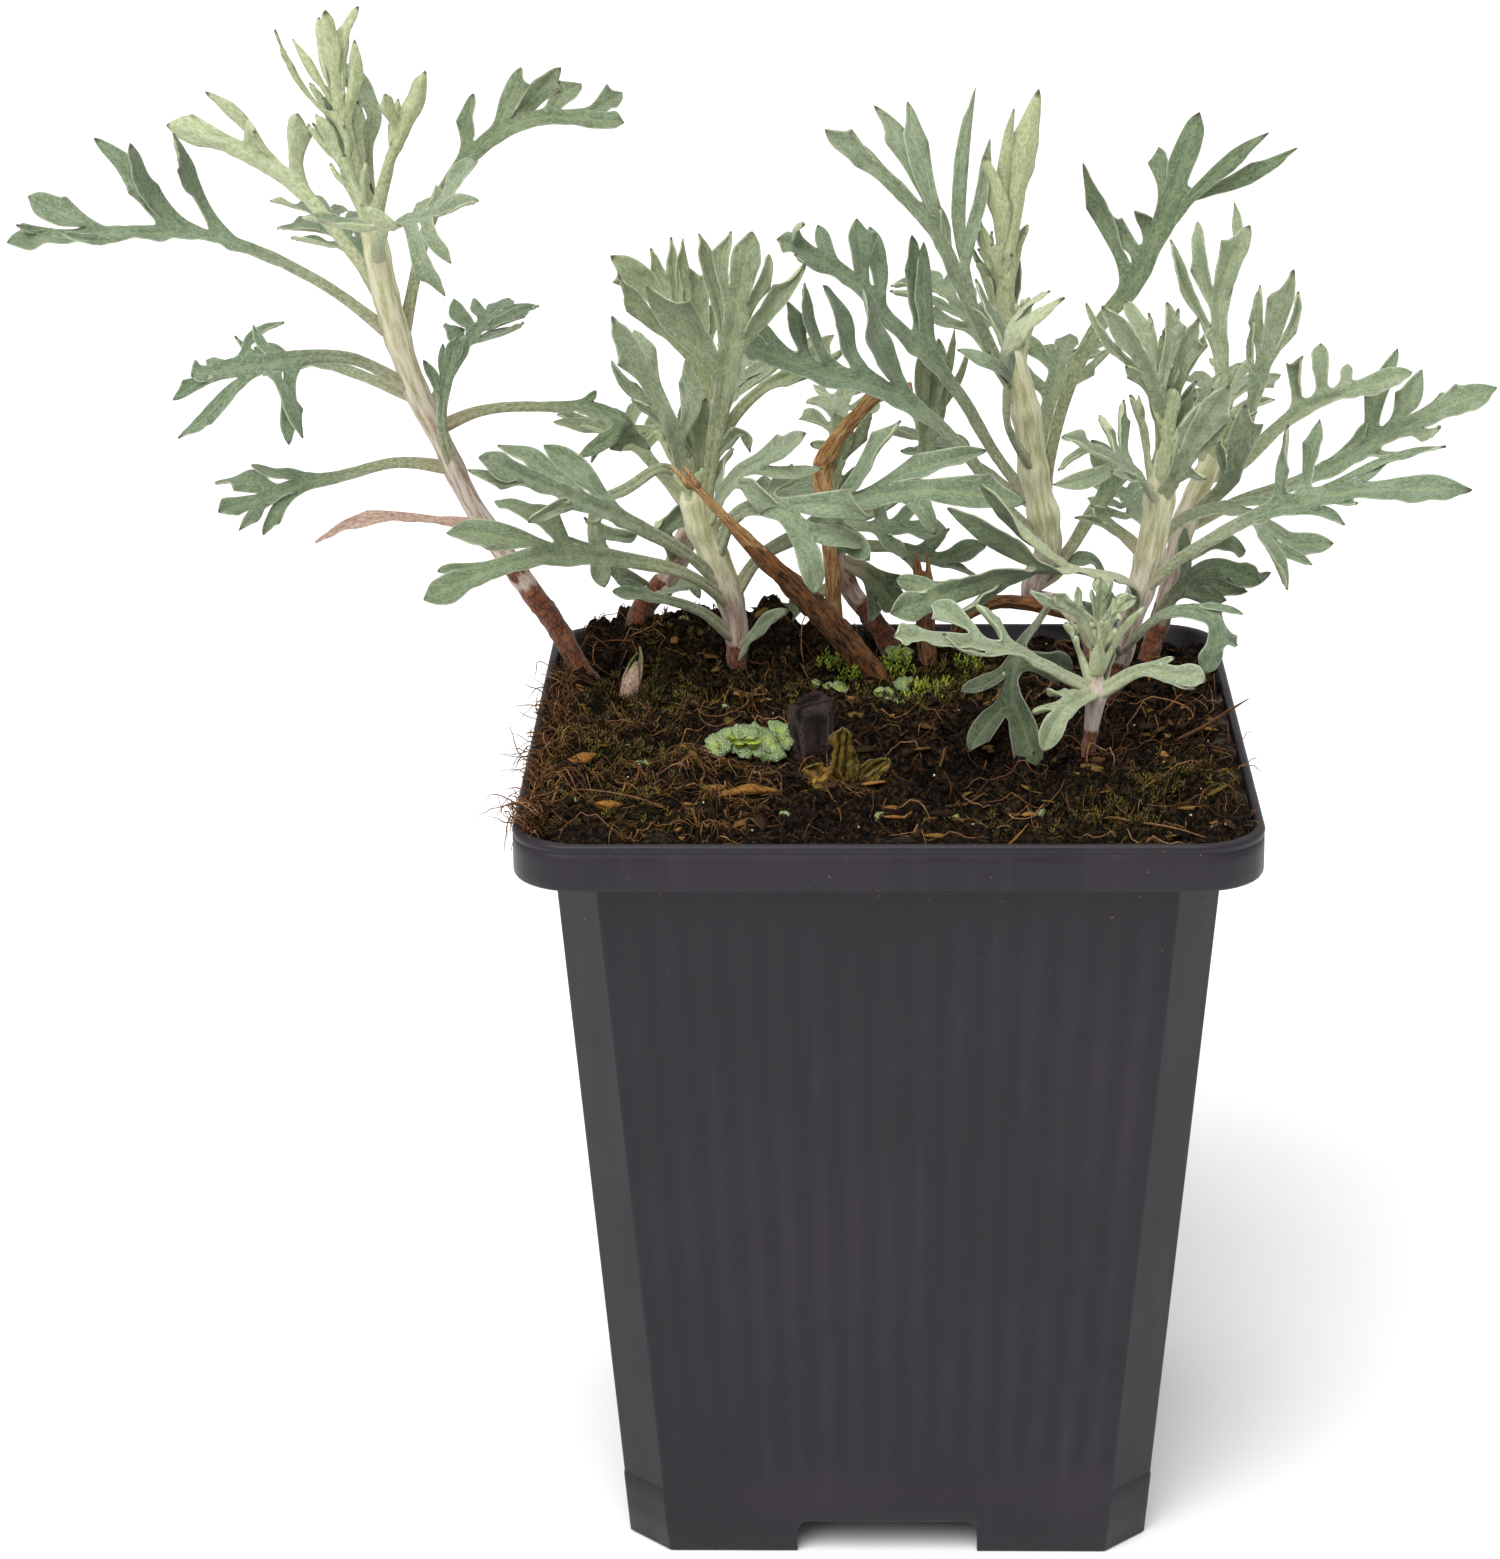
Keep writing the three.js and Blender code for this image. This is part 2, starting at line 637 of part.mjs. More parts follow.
// The left shoot: it leans out over the rim.
function shootLeft() {
  const shoot = new Shoot('shoot_left', [
    [-36.2, 104.5, 27, 1.2], [-38, 107, 28.5, 1.3], [-41.5, 113, 30, 1.5], [-45.5, 119, 31, 1.6],
    [-50, 126, 31, 1.6], [-53, 131.5, 30, 1.5], [-55.5, 137.5, 29, 1.5], [-58.5, 144, 28, 1.7],
    [-60.5, 150.5, 27.5, 1.8], [-62, 157, 27, 1.9], [-63, 163.5, 27, 1.8], [-64, 169.5, 27, 1.3],
    [-65, 173, 27, 0.9],
  ]);
  shoot.leaf(150.5, [[-68.5, 157, 26], [-76, 161, 24], [-84, 163.5, 22], [-95.5, 164, 18],
    [-108.5, 163, 14]],
    UP, [[0.5, -88.5, 177, -2], [0.62, -97, 176, 4], [0.57, -94, 175.5, -4], [0.8, -105.5, 169, 4],
      [0.74, -102, 164, -5], [0.9, -107.5, 165, -3]], 1.7);
  shoot.leaf(155.5, [[-66.5, 162.5, 29], [-72, 169.5, 33], [-79.5, 174.5, 36], [-88, 177.5, 38]],
    BACK, [[0.52, -72, 178.5, -3], [0.62, -82.5, 182, 2], [0.8, -85.5, 178.5, 3],
      [0.7, -76.5, 177, -5]], 1.8);
  shoot.leaf(166.5, [[-65.5, 174.5, 25], [-67, 181, 23], [-68, 191.5, 21]],
    BACK, [[0.45, -74, 189.5, -2], [0.55, -72, 188, 2], [0.62, -69, 191, 3], [0.6, -64, 192, 1],
      [0.5, -64.5, 188, -3]], 1.5);
  shoot.leaf(165.5, [[-63.5, 174.5, 31], [-62.5, 179, 33], [-66, 185, 35]],
    CAM, [[0.6, -67.5, 185, 2], [0.55, -65, 186.5, 3]], 1.5);
  shoot.leaf(164.5, [[-61, 172, 24], [-59, 176.5, 22], [-56, 184, 20]],
    BACK, [[0.6, -61, 181.5, -2], [0.5, -59.5, 180.5, 3]], 1.6);
  shoot.leaf(149.5, [[-58.5, 157, 29], [-56.5, 164.5, 30], [-53.5, 170.5, 32], [-48.5, 175.5, 34],
    [-43, 178, 36], [-32, 177.5, 38]],
    UP, [[0.56, -50.5, 181, 3], [0.66, -44.5, 184.5, 5], [0.72, -39.5, 184.5, 7], [0.8, -37, 182.5, 6],
      [0.9, -32, 181.5, 5]], 1.7);
  shoot.leaf(160.5, [[-62.5, 163, 19], [-60.5, 165, 14], [-56, 166, 9], [-50, 168, 5]],
    UP, [[0.45, -72, 166, 2], [0.5, -64.5, 167.5, -8], [0.55, -54.5, 156, -6], [0.7, -53.5, 160, -5],
      [0.62, -54.5, 169.5, 6], [0.74, -51, 173.5, 8]], 1.8);
  shoot.leaf(144, [[-65.5, 148, 24], [-70.5, 148.5, 19], [-74.5, 148, 15], [-80.5, 147, 12],
    [-86.5, 146, 10]],
    UP, [[0.68, -78.5, 152.5, 5], [0.72, -74.5, 153, 7], [0.66, -73, 138, -6], [0.7, -88.5, 138, -8],
      [0.76, -89, 143, -5], [0.62, -74.5, 137, -3], [0.88, -84.5, 148, 3]], 1.8);
  shoot.leaf(143, [[-64, 145.5, 33], [-69, 147.5, 37], [-74, 148, 41], [-78.5, 149.5, 44]],
    UP, [[0.7, -81, 151, 3], [0.8, -77.5, 146.5, -4]], 1.5);
  shoot.leaf(133, [[-55.5, 139, 26], [-55, 144, 25], [-53, 151, 24]],
    CAM, [[0.62, -57.5, 148, 0], [0.74, -55, 150, 1], [0.82, -52, 150.5, 1]], 1.2);
  shoot.leaf(139, [[-51, 141.5, 31], [-43, 142, 34], [-35.5, 141.5, 36], [-32, 139.5, 37],
    [-34.5, 136.5, 37]],
    UP, [[0.66, -36, 144, 3], [0.82, -38.5, 135.5, -2], [0.88, -37, 135, 1],
      [0.9, -29.5, 136.5, 2]], 1.5);
  shoot.leaf(134, [[-61, 135, 27], [-68.5, 133, 23], [-73.5, 132, 20], [-78.5, 130, 17], [-84, 128.5, 14]],
    UP, [[0.62, -79.5, 134.5, 4], [0.76, -83.5, 131.5, 5], [0.66, -78.5, 125.5, -5],
      [0.84, -81.5, 126, -4]], 1.7);
  shoot.leaf(126.5, [[-57.5, 127.5, 28], [-63.5, 127.5, 25], [-68.5, 126.5, 23], [-72, 124.5, 22]],
    UP, [], 1.0);
  shoot.usualLeaf(141, 0.3, 34, 0.5, 11);
  shoot.usualLeaf(152, -0.5, 36, 0.6, 12);
  return shoot;
}

// The front left shoot: broad pale leaves on both sides.
function shootFrontLeft() {
  const shoot = new Shoot('shoot_front_left', [
    [-18.5, 103, 29, 1.1], [-18.5, 105, 29, 1.1], [-19, 109, 29, 1.3], [-19, 113.5, 29, 1.7],
    [-20.5, 119.5, 28.5, 2.1], [-23.5, 127.5, 28, 2.2], [-24.5, 134, 28, 1.8], [-25.5, 137.5, 28, 1.2],
  ]);
  shoot.leaf(118, [[-24.5, 122.5, 24], [-28.5, 125, 20], [-34.5, 128, 15], [-41, 131, 10], [-51, 135.5, 4]],
    UP, [[0.55, -42.5, 137.5, 5], [0.68, -48.5, 137.5, 5], [0.66, -45, 127, -5],
      [0.84, -52.5, 133.5, -3]], 2.0);
  shoot.leaf(116, [[-24.5, 120, 22], [-32, 122, 17], [-40, 122.5, 12], [-46, 122, 8], [-58.5, 117, 3]],
    UP, [[0.52, -42, 125.5, 3], [0.56, -49, 131, 7], [0.66, -55.5, 126.5, 3], [0.86, -56.5, 120.5, 3]], 2.0);
  shoot.leaf(111.5, [[-23.5, 115.5, 24], [-28.5, 117, 20], [-34.5, 118, 17]],
    UP, [[0.8, -34, 119.5, 3]], 1.1);
  shoot.leaf(130, [[-26, 135.5, 25], [-27, 140, 23], [-30.5, 146.5, 21], [-34, 153.5, 19]],
    CAM, [[0.35, -25, 148, 1], [0.42, -31.5, 142.5, -2], [0.55, -34, 147.5, -2],
      [0.62, -31.5, 152, 3]], 2.0);
  shoot.leaf(126, [[-22, 134, 26], [-21, 140, 24], [-19.5, 147, 22], [-18.5, 154, 21], [-16.5, 164, 20]],
    CAM, [[0.56, -29.5, 156.5, -3], [0.67, -23, 164, 1], [0.78, -19, 164, 3], [0.64, -10, 159.5, -3],
      [0.76, -14.5, 161, 1]], 2.4);
  shoot.leaf(129, [[-23, 137.5, 27], [-22.5, 143, 26]], CAM, [[0.5, -25.5, 142, 0]], 1.5);
  shoot.leaf(126, [[-19, 132.5, 23], [-15.5, 135, 20], [-12.5, 136.5, 17], [-10, 138.5, 14]],
    UP, [[0.6, -8, 134, -2], [0.45, -13.5, 129, -6], [0.3, -19, 136.5, 4]], 1.8);
  shoot.leaf(122, [[-19, 128, 23], [-15, 129, 19], [-12, 127.5, 16], [-9.5, 122, 14], [-9, 117.5, 13]],
    UP, [[0.55, -2, 127.5, -2], [0.62, -2.5, 124, -1], [0.5, -11, 132.5, 5]], 2.1);
  shoot.leaf(116.5, [[-16, 122.5, 27], [-11.5, 125, 23], [-4.5, 129, 20], [3, 131, 18], [17.5, 129.5, 16]],
    UP, [[0.5, 1.5, 140, 2], [0.58, 12.5, 137, 3], [0.46, -2, 122, -4], [0.7, 6, 125.5, -3]], 2.2);
  shoot.leaf(109, [[-17, 112, 26], [-14.5, 114.5, 24], [-12.5, 115.5, 22]], UP, [], 1.0);
  return shoot;
}

// The back left shoot: it stands on the mound behind the front left one.
function shootBackLeft() {
  const shoot = new Shoot('shoot_back_left', [
    [-31.5, 112.5, 37.5, 1.7], [-30.5, 116, 39, 1.7], [-27.5, 119.5, 40, 1.7], [-25.5, 124, 40, 1.6],
    [-23.5, 130, 40, 1.5], [-22, 136.5, 40, 1.4], [-21, 141.5, 40, 1.2],
  ]);
  shoot.leaf(139, [[-23, 146.5, 40], [-26.5, 153, 40], [-30.5, 158.5, 40], [-34, 161, 40]],
    CAM, [[0.45, -33, 158.5, -2], [0.55, -29, 162, 2], [0.5, -26.5, 163, 3], [0.4, -25, 163, 2]], 2.0);
  shoot.leaf(139, [[-22.5, 147, 42], [-23, 155.5, 43], [-25, 160, 44]],
    CAM, [[0.5, -20.5, 156.5, 3], [0.6, -27, 160, 2]], 1.7);
  shoot.leaf(135.5, [[-17.5, 142.5, 43], [-14, 145, 44], [-10.5, 146.5, 44], [-6.5, 151, 44]],
    UP, [[0.6, -4.5, 149, -3], [0.7, -9, 150.5, 3]], 1.6);
  shoot.leaf(130, [[-28, 134.5, 36], [-32, 131.5, 34], [-36, 129.5, 33], [-36.5, 124, 32],
    [-35.5, 118.5, 31]],
    UP, [[0.66, -38, 127.5, -3], [0.74, -31.5, 125.5, 4], [0.8, -30, 119, 3]], 1.5);
  shoot.leaf(122, [[-27, 124, 36], [-28, 126, 35], [-24, 129, 36]], CAM, [[0.6, -29, 126, 0]], 1.9);
  shoot.leaf(118, [[-27.5, 118, 36], [-24.5, 119, 34], [-23.5, 117, 33]], UP, [], 1.1);
  shoot.leaf(134, [[-19.5, 137.5, 37], [-17.5, 139, 36], [-17, 136, 35]], UP, [], 1.5);
  shoot.leaf(134, [[-27.5, 139, 42], [-30.5, 137.5, 42], [-34.5, 136.5, 42]],
    UP, [[0.6, -32, 139.5, 2]], 1.4);
  shoot.usualLeaf(128, -0.6, 34, 0.5, 21);
  shoot.usualLeaf(133, 0.2, 36, 0.55, 22);
  shoot.usualLeaf(124, 0.9, 30, 0.4, 23);
  return shoot;
}

// The low shoot in the middle at the back.
function shootCentreBack() {
  const shoot = new Shoot('shoot_centre_back', [
    [1.2, 108, 37.5, 1.5], [0, 111.5, 38.5, 1.5], [-1.5, 114, 39, 1.5], [-4.5, 118, 40, 1.4],
    [-6.5, 123.5, 41, 1.3], [-7.5, 128.5, 41, 1.2], [-7, 132.5, 41, 1.0],
  ]);
  shoot.leaf(127, [[-1, 128.5, 41], [4, 133.5, 42], [5.5, 140, 43], [6.5, 150.5, 44]],
    CAM, [[0.55, 8.5, 152, 2], [0.62, 4.5, 149, -2], [0.7, 10, 148.5, 2]], 1.8);
  shoot.leaf(131, [[-6, 135, 42], [-5, 137.5, 42], [-6.5, 141, 42]],
    CAM, [[0.5, -2, 141, 1], [0.4, -9.5, 137, -1]], 1.6);
  shoot.leaf(128.5, [[-4.5, 127, 37], [-1, 126, 34], [3.5, 126, 32], [7.5, 126, 31]],
    UP, [[0.5, -2, 130, 3], [0.6, 5.5, 129, 3], [0.55, 2.5, 122, -4]], 1.9);
  shoot.leaf(122, [[-2.5, 120.5, 38], [0, 117.5, 35], [2, 115, 32]],
    CAM, [[0.5, -2, 113.5, -2], [0.6, 3, 118.5, 2]], 2.1);
  shoot.leaf(119, [[-8, 118, 42], [-11, 116, 41], [-14.5, 114, 40]], UP, [[0.6, -12, 118, 2]], 1.6);
  shoot.leaf(124, [[-3.5, 124, 43], [1.5, 123.5, 44], [6.5, 122, 45], [12.5, 124, 46]],
    UP, [[0.5, 5, 118, -2], [0.6, 8, 126, 2], [0.7, 12, 119.5, -2]], 1.7);
  shoot.usualLeaf(130, 0.1, 30, 0.6, 31);
  return shoot;
}

// The tall centre shoot: it rises from a woody runner that arches over the soil.
function shootCentre() {
  const shoot = new Shoot('shoot_centre', [
    [26, 108, 36.5, 1.3], [25.8, 111.5, 38.5, 1.3], [24, 114.5, 40, 1.3], [21, 116.5, 40.5, 1.3],
    [18.3, 117.2, 41, 1.4], [18.8, 120, 41, 1.7], [20.2, 123, 40, 2.0], [19.8, 127, 39.5, 2.2],
    [18.5, 132.5, 39, 2.2], [17.5, 140, 38.5, 2.1], [16, 146.5, 38, 1.9], [15, 151, 38, 1.5],
    [14.5, 155.5, 38, 1.0],
  ]);
  shoot.leaf(128, [[14, 135, 39], [9, 143.5, 38], [5.5, 147.5, 37], [0.5, 152.5, 36], [-4.5, 158, 35],
    [-13.5, 163, 34]],
    UP, [[0.5, 5, 162.5, 4], [0.56, 3, 163.5, 3], [0.7, -1.5, 165, 5], [0.76, -4, 165.5, 3],
      [0.88, -8.5, 164.5, 4], [0.9, -10.5, 165, -4], [0.86, -11.5, 161, -4]], 1.8);
  shoot.leaf(124, [[14, 130, 35], [9, 137, 32], [3.5, 141.5, 30], [-0.5, 144, 29],
    [-7, 145.5, 28], [-18, 150, 27]],
    UP, [[0.58, -4, 157.5, 0], [0.7, -8, 157.5, 1], [0.76, -11, 158, -1], [0.84, -16.5, 153, 2],
      [0.78, -12, 155, -2]], 2.2);
  shoot.leaf(140, [[13, 149, 35], [11, 153.5, 33], [7.5, 160.5, 31], [6, 164, 30], [0, 170.5, 28],
    [-7.5, 176.5, 26]],
    CAM, [[0.42, 11, 181.5, 2], [0.46, 12, 175, 4], [0.6, 2.5, 180, 3], [0.66, -1.5, 179.5, 3],
      [0.84, -4, 175, 2], [0.55, 6.5, 167, -3]], 1.6);
  shoot.leaf(147.5, [[15, 159, 36], [16, 167.5, 35], [18.5, 181.5, 34]],
    BACK, [[0.45, 15.5, 178.5, -2], [0.4, 12, 173.5, -2], [0.55, 17, 178.5, 3], [0.3, 11.5, 165, -3]], 1.7);
  shoot.leaf(133.5, [[15, 140, 30], [15, 146.5, 24], [14.5, 149.5, 20], [17.5, 153, 17], [22, 155.5, 15]],
    UP, [[0.55, 9, 149.5, -2], [0.5, 10.5, 155, 3], [0.6, 11, 158, 5], [0.68, 19.5, 157, 5],
      [0.5, 13, 149, -5]], 1.9);
  shoot.leaf(126.5, [[20, 132.5, 42], [22, 142.5, 45], [24.5, 149, 47], [27.5, 154, 48], [29.5, 156, 49],
    [32.5, 161.5, 50], [38, 178.5, 52]],
    UP, [[0.6, 24, 171.5, 2], [0.64, 27, 166, 4], [0.8, 33, 174.5, 3], [0.74, 47, 176, -3],
      [0.8, 50, 174, -2], [0.7, 30.5, 166, -3]], 2.0);
  shoot.leaf(120, [[22.5, 122.5, 43], [25, 127, 45], [28, 132.5, 47], [25.5, 137.5, 49]],
    UP, [[0.7, 30.5, 133.5, 2]], 1.9);
  shoot.leaf(118.5, [[26, 122, 44], [27.5, 118.5, 45]], UP, [], 1.0);
  shoot.usualLeaf(133, 0.2, 36, 0.6, 41);
  shoot.usualLeaf(141, -0.7, 32, 0.8, 42);
  shoot.usualLeaf(128, -0.9, 30, 0.5, 43);
  return shoot;
}

// The main right shoot: the youngest leaves stand in a tuft at its top.
function shootRight() {
  const shoot = new Shoot('shoot_right', [
    [28.5, 100.5, 21, 1.6], [28.5, 104, 21, 1.6], [29.5, 109, 21, 1.7], [30.5, 113.5, 20.5, 1.8],
    [32, 118, 20, 2.0], [33, 123, 20, 2.1], [34, 129, 20, 2.2], [34.5, 135.5, 20, 2.0], [35, 140, 20, 1.4],
  ]);
  shoot.leaf(136, [[34, 141.5, 17], [32, 147.5, 14], [26.5, 154.5, 11]],
    CAM, [[0.4, 29.5, 147, -2], [0.55, 24.5, 155, -2], [0.5, 29.5, 155, 2], [0.45, 34.5, 155, 1]], 2.0);
  shoot.leaf(136, [[35.5, 142.5, 18], [36.5, 148.5, 16], [38.5, 153, 14]],
    CAM, [[0.5, 36, 154.5, -1], [0.5, 40, 152, 1]], 1.8);
  shoot.leaf(129.5, [[31.5, 132.5, 14], [28.5, 134.5, 10], [25.5, 136, 7], [22, 138, 5]],
    UP, [[0.4, 28, 133.5, -4], [0.45, 27, 141, 4], [0.4, 30, 142.5, 3], [0.62, 21, 131.5, -2],
      [0.7, 21.5, 133.5, -1]], 2.1);
  shoot.leaf(129.5, [[36.5, 133.5, 14], [38.5, 137.5, 11], [42.5, 144.5, 8]],
    CAM, [[0.5, 42.5, 140.5, -1], [0.4, 40, 132.5, -3], [0.45, 39, 142.5, 2]], 2.0);
  shoot.leaf(117.5, [[36, 121.5, 17], [40.5, 124.5, 13], [47.5, 128, 10], [51.5, 129, 8], [57, 130.5, 7],
    [73, 131, 4]],
    UP, [[0.5, 50, 139.5, 1], [0.53, 53.5, 140, 4], [0.6, 69.5, 136.5, 3], [0.62, 64, 135.5, 5],
      [0.58, 57.5, 126.5, -3], [0.66, 59, 129, -2]], 2.0);
  shoot.leaf(122, [[36.5, 127, 26], [41.5, 128.5, 29], [46.5, 127, 31], [50.5, 124, 33], [56, 124, 34]],
    UP, [[0.6, 51, 118.5, -3], [0.66, 53.5, 121.5, -1], [0.5, 49, 129.5, 3]], 2.0);
  shoot.leaf(113, [[31.5, 118, 15], [28.5, 120, 11], [24.5, 120.5, 7], [19.5, 120.5, 4], [14.5, 120, 2],
    [0.5, 115, -2]],
    UP, [[0.42, 27, 118, -5], [0.5, 10.5, 132.5, 2], [0.53, 14.5, 132.5, 3], [0.62, 9.5, 130, 0],
      [0.58, 12.5, 128, 2], [0.66, 9.5, 114.5, -3], [0.84, 2, 120, 2]], 2.2);
  shoot.leaf(110, [[32, 112.5, 16], [35, 115, 13], [39, 115, 11], [41.5, 113.5, 10], [40.5, 107, 9]],
    UP, [[0.6, 45, 115, 2], [0.64, 43, 115.5, 3], [0.72, 44.5, 110.5, 0]], 1.6);
  shoot.leaf(122, [[30, 125, 20], [27.5, 127, 20], [25.5, 129, 20]], UP, [[0.6, 23.5, 127.5, -1]], 1.2);
  shoot.leaf(109, [[28, 111.5, 14], [26.5, 114.5, 10], [24.5, 116.5, 7]],
    CAM, [[0.5, 22, 117.5, 0], [0.5, 28, 118, 2]], 1.5);
  return shoot;
}

// The small front right shoot.
function shootFrontRight() {
  const shoot = new Shoot('shoot_front_right', [
    [25.5, 90, -9, 0.8], [25.5, 94, -9, 0.8], [26, 99, -9, 1.0], [26.5, 103.5, -9, 1.4],
    [26.5, 108, -9, 1.4], [27, 112, -9, 1.0],
  ]);
  shoot.leaf(104.5, [[22, 107, -12], [18.5, 109, -14], [12, 110.5, -17], [5.5, 111.5, -20], [1, 112, -22]],
    UP, [[0.48, 11, 116, 4], [0.56, 7.5, 112.5, -4], [0.62, 5.5, 116, 4], [0.88, 2, 113, 2]], 1.9);
  shoot.leaf(104.5, [[24.5, 103.5, -14], [22.5, 102, -18], [21, 99.5, -20], [20, 96.5, -21]],
    UP, [[0.45, 18.5, 102, -2], [0.4, 20.5, 104.5, 3]], 1.9);
  shoot.leaf(104, [[29.5, 106, -11], [32, 107.5, -12], [35.5, 107, -13], [40.5, 106, -14]],
    UP, [[0.6, 36.5, 109, 2], [0.7, 39, 105, -2]], 1.7);
  shoot.leaf(111, [[25, 114.5, -10], [22.5, 116.5, -11], [21, 117.5, -12]],
    CAM, [[0.6, 18, 118, -1], [0.6, 24, 118.5, 1]], 1.4);
  shoot.leaf(111, [[28.5, 115, -10], [30, 116.5, -10], [31.5, 117, -10]], CAM, [[0.5, 29, 114, -1]], 1.3);
  shoot.leaf(110, [[22, 116.5, -4], [20.5, 116.5, 0], [19, 113.5, 2], [17, 110, 2], [16, 105.5, 0],
    [19.5, 94.5, -8]],
    HANGING, [[0.62, 9.5, 105, -2], [0.7, 10.5, 97, -5], [0.58, 23.5, 107.5, 2]], 3.2);
  return shoot;
}

// The back right shoot: it reaches furthest to the right.
function shootBackRight() {
  const shoot = new Shoot('shoot_back_right', [
    [33, 108.5, 35, 1.5], [34.5, 114, 37.5, 1.5], [36, 120, 38, 1.6], [37.5, 127.5, 38, 1.7],
    [39.5, 132.5, 38, 1.6], [41.5, 137.5, 38, 1.5], [42, 142.5, 38, 1.2],
  ]);
  shoot.leaf(139.5, [[41.5, 146.5, 39], [41, 151.5, 40], [41, 156.5, 41], [44.5, 164.5, 42]],
    CAM, [[0.45, 35, 162.5, 0], [0.52, 38, 165, 3], [0.6, 42.5, 167.5, 3]], 1.9);
  shoot.leaf(136, [[44, 137.5, 35], [45.5, 142.5, 33], [47, 149, 31], [50, 159, 29]],
    CAM, [[0.42, 45, 152.5, -2], [0.5, 46, 157, -2], [0.6, 50.5, 156, 2], [0.48, 44.5, 149.5, 1]], 1.6);
  shoot.leaf(132.5, [[44, 134, 41], [47.5, 138, 43], [51.5, 141, 44], [55, 142.5, 45], [65, 146, 46]],
    UP, [[0.52, 51.5, 148.5, 2], [0.56, 53.5, 149.5, 4], [0.66, 57, 147, 4]], 2.0);
  shoot.leaf(126, [[45, 130, 43], [50.5, 131.5, 45], [55, 133.5, 46], [61.5, 137.5, 48], [67.5, 140.5, 49],
    [75.5, 144, 50]],
    UP, [[0.48, 59.5, 140, 3], [0.62, 63, 149, 4], [0.7, 66, 146.5, 5], [0.8, 71.5, 143.5, 3],
      [0.74, 68.5, 139, -4], [0.6, 64, 135.5, -5]], 2.0);
  shoot.leaf(127, [[43, 132.5, 33], [44, 136, 31], [44.5, 142, 29]],
    CAM, [[0.45, 41.5, 137.5, -1], [0.55, 46, 141, 1]], 1.9);
  shoot.leaf(112.5, [[35, 116, 35], [38, 119, 33], [41, 121, 31], [47, 119, 29]],
    UP, [[0.5, 37, 126, 3], [0.62, 47.5, 120, 3], [0.6, 45.5, 117.5, -3], [0.45, 42.5, 116.5, -4]], 1.8);
  shoot.leaf(122, [[38, 122.5, 42], [41, 124, 44], [45, 123, 46]], UP, [[0.6, 43.5, 126.5, 2]], 1.8);
  shoot.usualLeaf(130, 0.3, 34, 0.6, 51);
  shoot.usualLeaf(120, -0.3, 28, 0.45, 52);
  return shoot;
}

// Where small things lie on the soil: name, x, y, half width.
const LIVERWORTS = [
  ['liverwort_large', -17.8, -2.8, 5],
  ['liverwort_left', -31, -8, 1.8],
  ['liverwort_back', -0.3, 24.5, 2],
  ['liverwort_front', 7.6, -27.5, 1.8],
];
const MOSS = [7, 27.5, 3.6];
const BARK = [-9.8, 4.3, 4.6];
const OLD_LEAVES = [-5.8, -12.5, 4];

// Chips of wood: x, y, length, width and turn.
const CHIPS = [
  [-39, -11, 5, 2, 0.7],
  [-35, -24, 5.5, 2.2, -0.3],
  [-17, -21, 7, 2, 0.25],
];
const CHIP_THICKNESS = 0.8;

const LIVERWORT_LOBES = 7;
const LIVERWORT_THICKNESS = 0.8;

// The outline of one liverwort lobe: turn from its middle, and share of its reach.
const LIVERWORT_LOBE = [[-0.42, 0.5], [-0.3, 0.95], [0, 0.9], [0.3, 1], [0.42, 0.5]];

const MOSS_STALKS = 16;
const GOLDEN_TURN = 2.4;

// The old clump's blades: azimuth, rise and size.
const OLD_BLADES = [[1.4, 1.2, 1.5], [3.0, 0.5, 1], [0.2, 0.6, 1.1], [4.4, 0.25, 0.9]];

// A flat liverwort: a ring of blunt lobes on one low cushion.
function makeLiverwort(x, y, reach, seed) {
  const draw = seededDraws(seed);
  const outline = [];
  for (let lobe = 0; lobe < LIVERWORT_LOBES; lobe += 1) {
    const middle = lobe / LIVERWORT_LOBES * 2 * Math.PI;
    const size = reach * draw(0.8, 1.15);
    for (const [turn, share] of LIVERWORT_LOBE) {
      const out = new THREE.Vector2(Math.cos(middle + turn), Math.sin(middle + turn));
      outline.push(out.multiplyScalar(size * share));
    }
  }
  const shape = new THREE.Shape(outline);
  const thallus = new THREE.ExtrudeGeometry(shape, { depth: LIVERWORT_THICKNESS, bevelEnabled: false });
  thallus.translate(x, y, padHeight(x, y));
  return solidOf(thallus);
}

// A low round base that small things stand on.
function cushion(x, y, top, foot, thick, sides) {
  const base = new THREE.CylinderGeometry(top, foot, thick, sides);
  base.rotateX(Math.PI / 2);
  base.translate(x, y, padHeight(x, y) + thick / 2);
  return solidOf(base);
}

// A moss tuft: pointed leafy stalks on a low cushion.
function makeMoss([x, y, reach]) {
  const draw = seededDraws(61);
  const solids = [cushion(x, y, reach, reach, 0.4, 10)];
  for (let stalk = 0; stalk < MOSS_STALKS; stalk += 1) {
    const angle = stalk * GOLDEN_TURN;
    const out = reach * 0.8 * Math.sqrt(stalk / MOSS_STALKS);
    const tall = draw(2.5, 4.5);
    const lean = 0.5 * out / reach;
    const spike = new THREE.ConeGeometry(0.75, tall, 5);
    spike.rotateX(Math.PI / 2);
    spike.translate(0, 0, tall / 2);
    spike.rotateY(lean * Math.cos(angle));
    spike.rotateX(-lean * Math.sin(angle));
    spike.translate(x + out * Math.cos(angle), y + out * Math.sin(angle), padHeight(x, y) + 0.2);
    solids.push(solidOf(spike));
  }
  return joined(solids);
}

